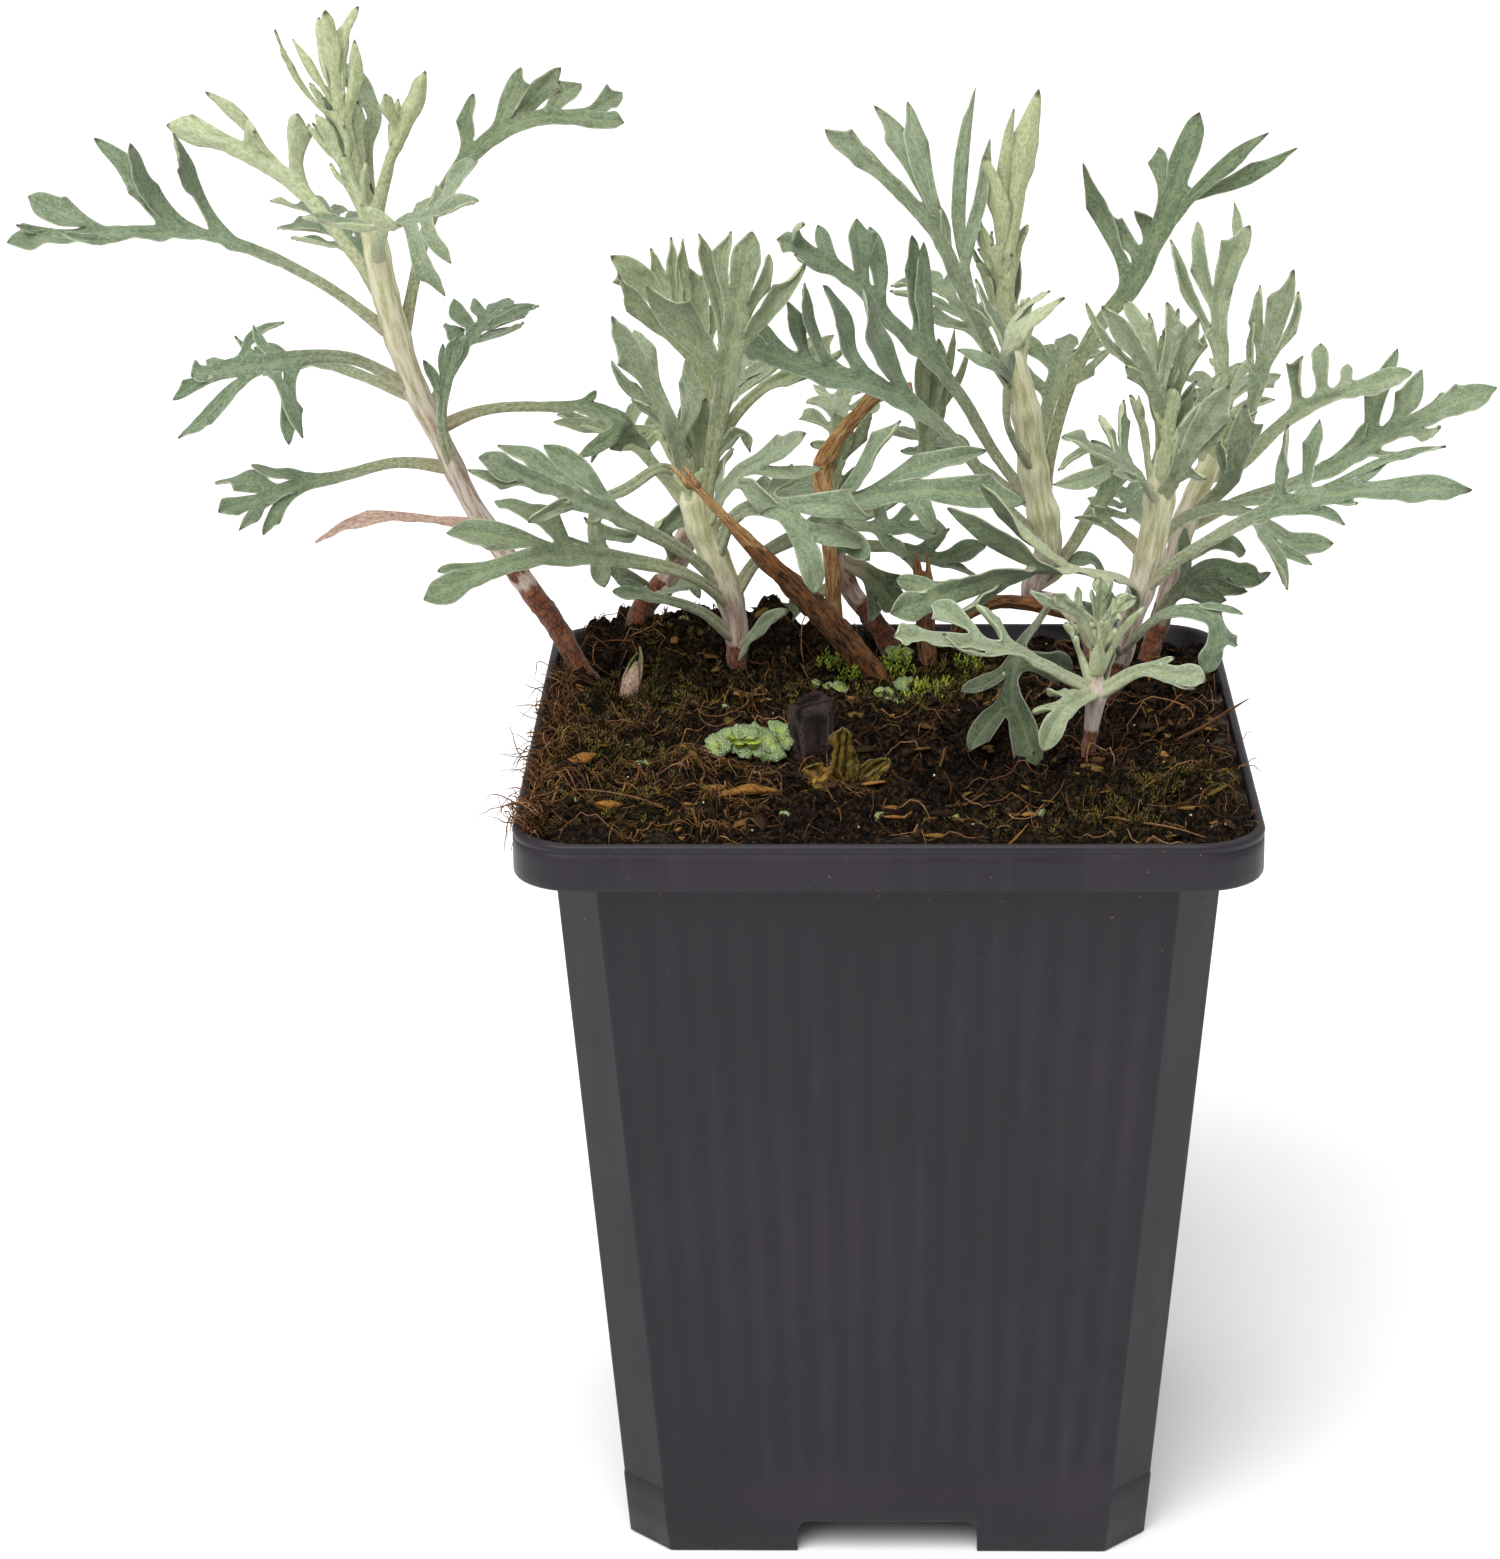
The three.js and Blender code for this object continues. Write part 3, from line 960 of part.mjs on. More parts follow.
// A dark lump of bark: a faceted stone shape with a flat foot.
function makeBark([x, y, reach]) {
  const lump = new THREE.IcosahedronGeometry(reach, 1);
  lump.scale(0.75, 0.6, 1.1);
  lump.rotateY(0.35);
  lump.translate(x, y, padHeight(x, y) + 0.45 * reach);
  const foot = new THREE.BoxGeometry(4 * reach, 4 * reach, 4 * reach);
  foot.translate(x, y, padHeight(x, y) - 2 * reach);
  return solidOf(lump).subtract(solidOf(foot));
}

// A clump of old olive leaves that stand up from one point.
function makeOldLeaves([x, y, reach]) {
  const root = new THREE.Vector3(x, y, padHeight(x, y) + 0.5);
  const solids = [cushion(x, y, 1.6, 2, 0.8, 8)];
  for (const [angle, rise, size] of OLD_BLADES) {
    const out = new THREE.Vector3(Math.cos(angle), Math.sin(angle), Math.tan(rise)).normalize();
    const rib = [0, 0.5, 1].map((share) => root.clone().addScaledVector(out, share * reach * size));
    solids.push(leafPlate(rib, new THREE.Vector3(0, -0.4, 1), [], 1.5));
  }
  return joined(solids);
}

// A thin chip of wood.
function makeChip([x, y, long, wide, turn]) {
  const chip = new THREE.BoxGeometry(long, wide, CHIP_THICKNESS);
  chip.rotateZ(turn);
  chip.translate(x, y, padHeight(x, y) + CHIP_THICKNESS / 2);
  return solidOf(chip);
}

// Level places in the soil under what lies on it: x, y, half width.
const PADS = [
  ...LIVERWORTS.map(([, x, y, reach]) => [x, y, 1.15 * reach]),
  MOSS,
  BARK,
  OLD_LEAVES,
  ...CHIPS.map(([x, y, long]) => [x, y, 0.55 * long]),
];

// The height of the underside of what lies at a place.
function padHeight(x, y) {
  return soilHeight(x, y) - SINK;
}

// What is cut from the soil to make a level place.
function padCut([x, y, reach]) {
  const cut = new THREE.CylinderGeometry(reach + GAP, reach + GAP, HEADROOM, 12);
  cut.rotateX(Math.PI / 2);
  cut.translate(x, y, padHeight(x, y) - GAP + HEADROOM / 2);
  return solidOf(cut);
}

// What else stands in the soil: x, z, depth y and radius as seen.
const LEANING_STICK = [
  [-1.3, 106.2, 31, 1.9], [-3.3, 109.1, 29.5, 1.9], [-9.6, 116.5, 24.5, 1.8],
  [-14.6, 121.4, 21, 1.4], [-19, 126.2, 18.5, 0.9], [-24.6, 132.5, 16.5, 0.5],
];
const DRY_STEM = [
  [-6.5, 108, 36, 1.3], [-6.7, 119.4, 35.5, 1.3], [-7.4, 127.2, 36, 1.4], [-7.9, 134.4, 36.5, 1.7],
  [-6, 138, 36.5, 1.3], [-3.5, 140.9, 36, 1.2], [-0.7, 143.6, 36, 1.1], [3.2, 144.4, 36, 0.8],
];
const SPLIT_STUB = [
  [5.3, 106, 35.5, 1.7], [5, 112, 35.5, 1.7], [4.6, 118, 35.5, 1.5], [4.4, 120.5, 35.5, 0.7],
];
const BUD = [[-33.8, 104, 23.5, 1.0], [-33.8, 107.5, 23.5, 1.1], [-33.3, 110.5, 23.5, 0.5]];

// A named mesh with its own material.
function meshOf(name, solid, color, roughness) {
  const material = new THREE.MeshStandardMaterial({ color, roughness, metalness: 0 });
  const mesh = new THREE.Mesh(geometryOf(solid), material);
  mesh.name = name;
  return mesh;
}

// The whole plant in its pot.
function assemble() {
  const shoots = [shootLeft(), shootFrontLeft(), shootBackLeft(), shootCentreBack(), shootCentre(),
    shootRight(), shootFrontRight(), shootBackRight()];
  const standing = [
    ...shoots.map((shoot) => [shoot, COLOURS.leaf]),
    [new Stem('leaning_stick', LEANING_STICK), COLOURS.wood],
    [new Stem('dry_stem', DRY_STEM), COLOURS.dryWood],
    [new Stem('split_stub', SPLIT_STUB), COLOURS.wood],
    [new Stem('bud', BUD), COLOURS.leaf],
  ];
  const holes = [...standing.map(([stem]) => stem.hole()), ...PADS.map(padCut)];
  const group = new THREE.Group();
  group.add(
    meshOf('pot', makePot(), COLOURS.pot, 0.45),
    meshOf('soil', makeSoil(holes), COLOURS.soil, 0.95),
    ...standing.map(([stem, colour]) => meshOf(stem.name, stem.solid(), colour, 0.8)),
    ...LIVERWORTS.map(([name, x, y, reach], i) => (
      meshOf(name, makeLiverwort(x, y, reach, 71 + i), COLOURS.liverwort, 0.6))),
    meshOf('moss_tuft', makeMoss(MOSS), COLOURS.moss, 0.8),
    meshOf('bark_lump', makeBark(BARK), COLOURS.bark, 0.9),
    meshOf('old_leaf_clump', makeOldLeaves(OLD_LEAVES), COLOURS.oldLeaf, 0.8),
    ...CHIPS.map((chip, i) => meshOf(`wood_chip_${i + 1}`, makeChip(chip), COLOURS.dryWood, 0.85)),
  );
  return centred(group);
}

// Moves the group so that the middle of its whole box stands over the origin.
function centred(group) {
  const middle = new THREE.Box3().setFromObject(group).getCenter(new THREE.Vector3());
  for (const mesh of group.children) mesh.geometry.translate(-middle.x, -middle.y, 0);
  return group;
}

export default assemble();
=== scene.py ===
"""The looks of a potted silver queen artemisia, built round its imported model."""

import itertools
import json
import math
import random

import bmesh
import bpy
import numpy as np
from mathutils import Matrix, Vector

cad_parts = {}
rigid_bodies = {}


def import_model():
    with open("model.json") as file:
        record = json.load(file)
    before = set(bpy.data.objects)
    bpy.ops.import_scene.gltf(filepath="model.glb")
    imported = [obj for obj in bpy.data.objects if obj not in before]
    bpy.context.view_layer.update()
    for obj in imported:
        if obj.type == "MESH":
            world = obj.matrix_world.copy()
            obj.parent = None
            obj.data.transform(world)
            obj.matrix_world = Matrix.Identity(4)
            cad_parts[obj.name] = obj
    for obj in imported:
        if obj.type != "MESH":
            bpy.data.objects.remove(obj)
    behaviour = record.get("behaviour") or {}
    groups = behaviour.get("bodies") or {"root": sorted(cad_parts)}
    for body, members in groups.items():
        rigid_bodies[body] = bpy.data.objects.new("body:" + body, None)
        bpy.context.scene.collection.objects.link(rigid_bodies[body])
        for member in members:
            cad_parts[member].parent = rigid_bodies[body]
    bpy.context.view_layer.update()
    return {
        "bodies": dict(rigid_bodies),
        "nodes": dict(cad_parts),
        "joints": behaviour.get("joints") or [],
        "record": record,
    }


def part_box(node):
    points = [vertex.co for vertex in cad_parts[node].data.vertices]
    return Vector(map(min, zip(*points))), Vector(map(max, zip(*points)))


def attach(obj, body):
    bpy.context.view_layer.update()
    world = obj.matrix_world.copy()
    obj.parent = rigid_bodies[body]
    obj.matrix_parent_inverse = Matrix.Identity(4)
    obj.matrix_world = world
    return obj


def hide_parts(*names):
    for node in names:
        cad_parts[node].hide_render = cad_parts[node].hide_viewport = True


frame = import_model()

# Every shape below is worked out in millimetres in the pot's own frame: the pot's axis is at x 0, y 0.
MM = 0.001
pot_low, pot_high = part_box("pot")
POT_MIDDLE = np.array([(pot_low.x + pot_high.x) / 2, (pot_low.y + pot_high.y) / 2, 0.0])

# Pot
POT_HEIGHT = 100
RIM_WIDTH = 90
RIM_CORNER = 8
RIM_BAND = 6
BODY_TOP_WIDTH = 80.6
BASE_WIDTH = 66
CHAMFER = 5.3
WALL = 1.1
FLOOR_HEIGHT = 4.6
FLOOR_THICKNESS = 1.2
NOTCH_WIDTH = 23
NOTCH_HEIGHT = 4.3
NOTCH_CORNER = 1.6
DRAIN_RADIUS = 3
DRAIN_SPACING = 18
FLUTE_PITCH = 3.6
FLUTE_DEPTH = 0.2
SIDE_POINTS = 89
FOOT_LINE = 9.0

# Soil
GAP = 0.3
SOIL_LEVEL = 95.6
STEM_DEPTH = 12
STEM_THIN = 0.9
FOOT_INWARD = 0.94

# Leaves: a petiole's half width, shares of a leaf's length, widths and the room between lobes
PETIOLE_HALF = 0.68
LAST_LOBE = 0.93
BLADE_LEAD = 0.08
LOBELESS_START = 0.3
BLADE_SHARE = 0.72
WIDEST_BLADE = 2.4
FOOT_LEAD = 1.1
FOOT_SPACING = 2.2
RIB_ROOM = 0.5
LEAST_HALF_WIDTH = 0.7
LOBE_WIDTH = 1.06
LOBE_GAP = 0.48
TOOTH_LENGTH = 6.5
TOOTH_CHANCE = 0.7

# A lobe leaves the midrib at a slant in radians, and bends to its tip at a share of the way
LEAST_SLANT = 0.45
MOST_SLANT = 1.25
KNEE = 0.4

# A leaf's thickness above and below its middle: at its margin, added further in, and at the midrib
MARGIN_THICKNESS = 0.06
INNER_THICKNESS = 0.13
RIB_DEPTH = 0.2
PUCKER = 0.16
WAVES = 0.35

# How strongly a line's up side is drawn to its hint at each step
HINT_PULL = 0.12

# Steps of a curve between two of its points
CURVE_STEPS = 24

# Radians from one to the next in a spiral that never repeats
SPIRAL = 2.4

# Rows of a lobe between its foot and its tip: share of its length, and width
LONG_LOBE = [(0.16, 0.66), (0.36, 0.9), (0.58, 1.0), (0.78, 0.84), (0.92, 0.44)]
SHORT_LOBE = [(0.28, 0.82), (0.6, 0.95), (0.86, 0.5)]
SHORT = 6

# Rows of the midrib's end: share of what is left after the last lobe, and width
END_ROWS = [(0.2, 0.9), (0.46, 1.0), (0.71, 0.84), (0.89, 0.44)]

# Which way a leaf's upper side faces
UPRIGHT = (0, 0, 1)
UP = (0, -0.7, 0.75)
CAM = (0, -1, 0.3)
BACK = (0, 1, 0.3)

# The viewer's eye, for points read off a front view at the pot's middle plane
EYE = np.array([-2.9, -539.8, 278.0])


def colour(red, green, blue):
    """A colour given as on a screen, 0 to 255, for a shader."""
    shares = [value / 255 for value in (red, green, blue)]
    linear = [s / 12.92 if s <= 0.04045 else ((s + 0.055) / 1.055) ** 2.4 for s in shares]
    return (*linear, 1.0)


def unit(vectors):
    """Vectors at length 1."""
    vectors = np.asarray(vectors, float)
    return vectors / np.maximum(np.linalg.norm(vectors, axis=-1, keepdims=True), 1e-12)


def smoothstep(value, low, high):
    """0 below low, 1 above high, smooth between them."""
    share = np.clip((value - low) / (high - low), 0, 1)
    return share * share * (3 - 2 * share)


# Large primes that stir whole numbers
STIR = np.array([73856093, 19349663, 83492791])
STIR_SEED = 2654435761
STIR_AGAIN = 1274126177


def lattice_noise(points, seed=0):
    """Smooth noise between -1 and 1 at an (n, 3) array of points."""
    cell = np.floor(points).astype(np.int64)
    part = points - cell
    part = part * part * (3 - 2 * part)
    total = np.zeros(len(points))
    for corner in itertools.product((0, 1), repeat=3):
        share = np.prod(np.where(np.array(corner, bool), part, 1 - part), axis=1)
        key = (cell + np.array(corner)) @ STIR + seed * STIR_SEED
        key = (key ^ (key >> 13)) * STIR_AGAIN
        key = (key ^ (key >> 16)) & 0xFFFFF
        total += share * (key / 0x7FFFF - 1)
    return total


def layered_noise(points, layers=3, seed=0):
    """Noise with finer and weaker layers on top."""
    points = np.asarray(points, float)
    return sum(lattice_noise(points * 2.03 ** i, seed + i) * 0.5 ** i for i in range(layers))


def nearest_cells(x, y, size, seed=0):
    """Distance to the nearest and second nearest of scattered spots in cells of a size."""
    best = np.full(x.shape, 9.0)
    second = np.full(x.shape, 9.0)
    column, row = np.floor(x / size).astype(np.int64), np.floor(y / size).astype(np.int64)
    for dx, dy in itertools.product((-1, 0, 1), repeat=2):
        cx, cy = column + dx, row + dy
        key = cx * STIR[0] ^ cy * STIR[1] ^ seed * STIR[2]
        key = (key ^ (key >> 13)) * STIR_AGAIN
        key = key ^ (key >> 16)
        spot_x = (cx + 0.5 + 0.42 * ((key & 0x3FF) / 511.5 - 1)) * size
        spot_y = (cy + 0.5 + 0.42 * (((key >> 10) & 0x3FF) / 511.5 - 1)) * size
        far = np.hypot(x - spot_x, y - spot_y) / size
        second = np.minimum(second, np.maximum(far, best))
        best = np.minimum(best, far)
    return best, second


def between(first, second, share):
    """The first at share 0, the second at share 1."""
    return first + (second - first) * share


def stacked(*parts):
    """Points from rows and columns of x, y and z."""
    return np.stack(np.broadcast_arrays(*parts), axis=2).reshape(-1, 3)


def squared(value):
    """Draws a round form's coordinates, -1 to 1, out towards a box."""
    return np.sign(value) * np.abs(value) ** 0.5


def middle_of(box):
    """The middle of a box of the model, in the pot's own frame."""
    low, high = box
    return (np.array(low + high) / 2 - POT_MIDDLE) / MM


def corners_of(box):
    """The low and high corners of a box of the model, in the pot's own frame."""
    return [np.array(corner) / MM - POT_MIDDLE / MM for corner in box]


class Body:
    """Points, faces and named values for each point, gathered for one mesh."""

    def __init__(self):
        self.points, self.faces, self.uses, self.marks = [], [], [], {}
        self.count = 0

    def add(self, points, faces, use=0, **marks):
        """Adds a part; each mark is one value, or one row for each point."""
        points = np.asarray(points, float).reshape(-1, 3)
        for name in sorted(set(self.marks) | set(marks)):
            value = np.asarray(marks.get(name, (0, 0, 0, 0)), float)
            rows = np.broadcast_to(value, (len(points), 4))
            self.marks.setdefault(name, [np.zeros((self.count, 4))] if self.count else []).append(rows)
        self.points.append(points)
        self.faces.extend([[i + self.count for i in face] for face in faces])
        self.uses.extend([use] * len(faces))
        self.count += len(points)

    def make(self, name, materials, slot, replaces=()):
        """Makes the object, which rides on the root body."""
        places = np.concatenate(self.points) * MM + POT_MIDDLE
        mesh = bpy.data.meshes.new(name)
        mesh.from_pydata(places.tolist(), [], self.faces)
        for mark, rows in self.marks.items():
            layer = mesh.attributes.new(mark, "FLOAT_COLOR", "POINT")
            layer.data.foreach_set("color", np.concatenate(rows).astype(np.float32).ravel())
        for material in materials:
            mesh.materials.append(material)
        mesh.polygons.foreach_set("material_index", self.uses)
        mesh.polygons.foreach_set("use_smooth", [True] * len(self.faces))
        mesh.update()
        made = bpy.data.objects.new(name, mesh)
        bpy.context.scene.collection.objects.link(made)
        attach(made, "root")
        if replaces:
            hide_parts(*replaces)
        return made


def grid_faces(rows, columns, closed=False):
    """Four-sided faces between the rows of a grid of points, closed round its columns if asked."""
    last = columns if closed else columns - 1
    return [
        [row * columns + i, row * columns + (i + 1) % columns,
         (row + 1) * columns + (i + 1) % columns, (row + 1) * columns + i]
        for row in range(rows - 1) for i in range(last)
    ]


def closed_faces(rows, columns):
    """The faces of a closed body of rings: its sides and its two ends."""
    first, last = range(columns), range((rows - 1) * columns, rows * columns)
    return [*grid_faces(rows, columns, closed=True), list(first)[::-1], list(last)]


def tubes(lines, radii, sides):
    """Closed round strands along an (n, steps, 3) array of lines, with a radius at each point."""
    lines = np.asarray(lines, float)
    count, steps, _ = lines.shape
    along = unit(np.gradient(lines, axis=1))
    across = unit(np.cross(along, (0.31, 0.2, 0.93)))
    other = np.cross(along, across)
    angles = np.arange(sides) / sides * 2 * np.pi
    radii = np.broadcast_to(np.asarray(radii, float), (count, steps))[:, :, None, None]
    rings = lines[:, :, None, :] + radii * (
        across[:, :, None, :] * np.cos(angles)[:, None] + other[:, :, None, :] * np.sin(angles)[:, None])
    each = closed_faces(steps, sides)
    faces = [[i + strand * steps * sides for i in face] for strand in range(count) for face in each]
    return rings.reshape(-1, 3), faces


class Look:
    """A material on the standard shader. Each step returns the socket that carries its result."""

    def __init__(self, name, roughness, **settings):
        self.material = bpy.data.materials.new(name)
        self.material.use_nodes = True
        self.tree = self.material.node_tree
        self.shader = self.tree.nodes["Principled BSDF"]
        self.shader.inputs["Roughness"].default_value = roughness
        for key, value in settings.items():
            self.shader.inputs[key.replace("_", " ")].default_value = value
        self.place = self.node("ShaderNodeTexCoord").outputs["Object"]

    def node(self, kind, inputs=(), **settings):
        """A new shader node with its inputs and settings."""
        made = self.tree.nodes.new(kind)
        for key, value in settings.items():
            setattr(made, key, value)
        for key, value in dict(inputs).items():
            self.feed(made.inputs[key], value)
        return made

    def feed(self, socket, value):
        """Links a result to an input, or sets the input's value."""
        if isinstance(value, bpy.types.NodeSocket):
            self.tree.links.new(value, socket)
        else:
            socket.default_value = value

    def mark(self, name):
        """The four values that the mesh holds for each point under a name."""
        made = self.node("ShaderNodeAttribute", attribute_name=name)
        parts = self.node("ShaderNodeSeparateColor", {0: made.outputs["Color"]}).outputs
        return parts[0], parts[1], parts[2], made.outputs["Alpha"]

    def painted(self, name):
        """The colour that the mesh holds for each point under a name."""
        return self.node("ShaderNodeAttribute", attribute_name=name).outputs["Color"]

    def stretched(self, place, *scale):
        """A place scaled by its own amount along each axis."""
        return self.node("ShaderNodeMapping", {"Vector": place, "Scale": scale}).outputs[0]

    def along(self, *scale):
        """Coordinates that run along and across the piece as it grew, stretched."""
        flow = self.node("ShaderNodeAttribute", attribute_name="flow").outputs["Vector"]
        return self.stretched(flow, *scale)

    def noise(self, place, scale=1.0, detail=4.0, roughness=0.6):
        """Noise between 0 and 1, mostly near a half."""
        settings = {"Vector": place, "Scale": scale, "Detail": detail, "Roughness": roughness}
        return self.node("ShaderNodeTexNoise", settings).outputs[0]

    def cells(self, place, scale):
        """The distance to the nearest of scattered spots."""
        return self.node("ShaderNodeTexVoronoi", {"Vector": place, "Scale": scale}).outputs["Distance"]

    def span(self, value, low, high, start=0.0, end=1.0):
        """Maps low to start and high to end, smooth and clamped."""
        settings = {"Value": value, "From Min": low, "From Max": high, "To Min": start, "To Max": end}
        return self.node("ShaderNodeMapRange", settings, interpolation_type="SMOOTHSTEP").outputs[0]

    def blend(self, value, low, high, first, second):
        """The first colour where the value is low, the second where it is high."""
        return self.mix(self.span(value, low, high), first, second)

    def over(self, base, above, value, low, high, most):
        """Lays a colour over the base, up to a share of most where the value is high."""
        return self.mix(self.span(value, low, high, 0, most), base, above)

    def times(self, a, b):
        """The product, held between 0 and 1."""
        return self.maths("MULTIPLY", a, b)

    def plus(self, a, b):
        """The sum, held between 0 and 1."""
        return self.maths("ADD", a, b)

    def maths(self, operation, a, b):
        """The result of an operation on two values, held between 0 and 1."""
        return self.node("ShaderNodeMath", {0: a, 1: b}, operation=operation, use_clamp=True).outputs[0]

    def mix(self, share, low, high, blend="MIX"):
        """Mixes two colours: sockets 6 and 7 of the node take colours, and output 2 gives one."""
        sides = {0: share, 6: low, 7: high}
        return self.node("ShaderNodeMix", sides, data_type="RGBA", blend_type=blend).outputs[2]

    def bump(self, height, distance, strength=1.0):
        """A relief for the light, as deep as the distance in metres."""
        settings = {"Height": height, "Distance": distance, "Strength": strength}
        return self.node("ShaderNodeBump", settings).outputs[0]

    def finish(self, base, roughness=None, normal=None):
        """Feeds the shader, and returns the material."""
        for key, value in (("Base Color", base), ("Roughness", roughness), ("Normal", normal)):
            if value is not None:
                self.feed(self.shader.inputs[key], value)
        return self.material


def leaf_look():
    """Silver felt over green: pale hairs run along each lobe, and the underside is paler."""
    look = Look("silver_leaf", 0.8, Sheen_Weight=0.2, Sheen_Roughness=0.5, Specular_IOR_Level=0.15)
    edge, tip, petiole, under = look.mark("form")
    age, chance, dry, near = look.mark("tone")
    streaks = look.noise(look.along(3.6, 1.5, 1), 1.0, 5, 0.7)
    hairs = look.noise(look.along(9, 3.4, 1), 1.0, 4, 0.7)
    patches = look.noise(look.along(0.45, 0.25, 1), 1.0, 3)
    # Leaves given an age above 1 are darkened further: painted shade for the low leaves under the upper
    # ones, over their older green
    oldest_and_shaded = look.span(age, 0.5, 1)
    green = look.blend(age, 0, 0.5, colour(100, 120, 82), colour(66, 87, 59))
    green = look.mix(oldest_and_shaded, green, colour(26, 38, 18))
    felt = look.blend(age, 0, 0.5, colour(171, 178, 152), colour(137, 151, 125))
    felt = look.mix(oldest_and_shaded, felt, colour(92, 104, 76))
    cover = look.span(look.plus(streaks, look.times(patches, 0.5)), 0.55, 1.0, 0.12, 0.75)
    cover = look.plus(cover, look.span(hairs, 0.48, 0.64, 0, 0.5))
    upper = look.mix(cover, green, felt)
    rib = look.mix(age, colour(168, 176, 126), colour(116, 130, 90))
    upper = look.over(upper, rib, edge, 0.8, 0.98, 0.3)
    margin = look.mix(oldest_and_shaded, colour(186, 190, 168), colour(132, 140, 118))
    upper = look.over(upper, margin, edge, 0.12, 0.02, 0.55)
    lower = look.blend(streaks, 0.35, 0.65, colour(138, 146, 120), colour(172, 177, 156))
    young = look.blend(streaks, 0.35, 0.65, colour(154, 166, 122), colour(192, 199, 164))
    lower = look.blend(age, 0.15, 0.7, young, lower)
    base = look.mix(under, upper, lower)
    stalk = look.blend(streaks, 0.38, 0.62, colour(132, 138, 98), colour(184, 186, 158))
    base = look.mix(look.times(petiole, 0.8), base, stalk)
    foot = look.blend(age, 0.1, 0.4, colour(176, 182, 146), colour(162, 144, 124))
    base = look.mix(look.times(near, 0.6), base, foot)
    base = look.over(base, colour(70, 54, 48), tip, 0.15, 0.7, 0.85)
    warm = look.mix(1.0, base, colour(236, 230, 202), "MULTIPLY")
    base = look.over(base, warm, chance, 0.5, 1, 0.35)
    withered = look.blend(streaks, 0.3, 0.7, colour(150, 118, 102), colour(206, 180, 164))
    base = look.mix(dry, base, withered)
    rough = look.plus(look.times(streaks, 0.6), look.times(hairs, 0.6))
    return look.finish(base, normal=look.bump(rough, 0.00018, 0.8))


def stem_look():
    """Pale felt with green and pink showing through it, over red-brown flaking wood at the foot."""
    look = Look("felted_stem", 0.82, Sheen_Weight=0.25, Sheen_Roughness=0.5, Specular_IOR_Level=0.15)
    wood, _, flakes, low = look.mark("form")
    long = look.noise(look.along(1.8, 1.8, 0.2), 1.0, 4, 0.6)
    fine = look.noise(look.along(6, 6, 1.4), 1.0, 4, 0.65)
    rings = look.noise(look.along(0.5, 0.5, 2.2), 1.0, 3, 0.6)
    green = look.blend(long, 0.36, 0.64, colour(162, 165, 116), colour(208, 204, 172))
    pink = look.blend(long, 0.36, 0.62, colour(142, 112, 98), colour(198, 184, 174))
    felt = look.mix(low, green, pink)
    felt = look.over(felt, colour(214, 208, 194), fine, 0.48, 0.72, 0.5)
    bark = look.blend(fine, 0.32, 0.7, colour(58, 32, 23), colour(142, 84, 55))
    bark = look.over(bark, colour(54, 36, 29), rings, 0.46, 0.62, 0.7)
    bark = look.over(bark, colour(140, 96, 70), flakes, 0.66, 0.9, 0.7)
    ragged = look.plus(wood, look.span(long, 0.25, 0.75, -0.3, 0.3))
    base = look.blend(ragged, 0.35, 0.65, felt, bark)
    relief = look.plus(look.times(long, 0.6), look.times(fine, 0.5))
    return look.finish(base, normal=look.bump(relief, 0.00028, 0.9))


def wood_look():
    """Old wood: dark rough bark, and paler torn wood where the bark is gone."""
    look = Look("old_wood", 0.85, Specular_IOR_Level=0.2)
    bare, _, flakes, _ = look.mark("form")
    grain = look.noise(look.along(3.2, 3.2, 0.5), 1.0, 6, 0.75)
    fine = look.noise(look.along(5, 5, 2.0), 1.0, 4, 0.7)
    patches = look.noise(look.along(0.7, 0.7, 0.3), 1.0, 3, 0.6)
    bark = look.blend(grain, 0.38, 0.62, colour(52, 34, 24), colour(160, 114, 78))
    bark = look.over(bark, colour(170, 108, 62), patches, 0.48, 0.64, 0.65)
    bark = look.over(bark, colour(74, 58, 48), fine, 0.5, 0.76, 0.55)
    torn = look.blend(grain, 0.36, 0.62, colour(142, 92, 50), colour(220, 180, 126))
    ragged = look.plus(bare, look.span(grain, 0.25, 0.75, -0.35, 0.35))
    base = look.blend(ragged, 0.4, 0.6, bark, torn)
    base = look.over(base, colour(140, 104, 74), flakes, 0.6, 0.9, 0.45)
    relief = look.plus(look.times(grain, 0.6), look.times(fine, 0.5))
    return look.finish(base, normal=look.bump(relief, 0.0006, 1.0))


def litter_look(name, roughness=0.85, shine=0.08):
    """Small things that each carry their own colour, with a fine grain over it."""
    look = Look(name, roughness, Specular_IOR_Level=shine)
    grain = look.noise(look.place, 2600, 4, 0.65)
    shade = look.blend(grain, 0.3, 0.7, (0.45, 0.42, 0.4, 1), (1.3, 1.25, 1.2, 1))
    base = look.mix(1.0, look.painted("tint"), shade, "MULTIPLY")
    return look.finish(base, normal=look.bump(grain, 0.0003, 0.6))


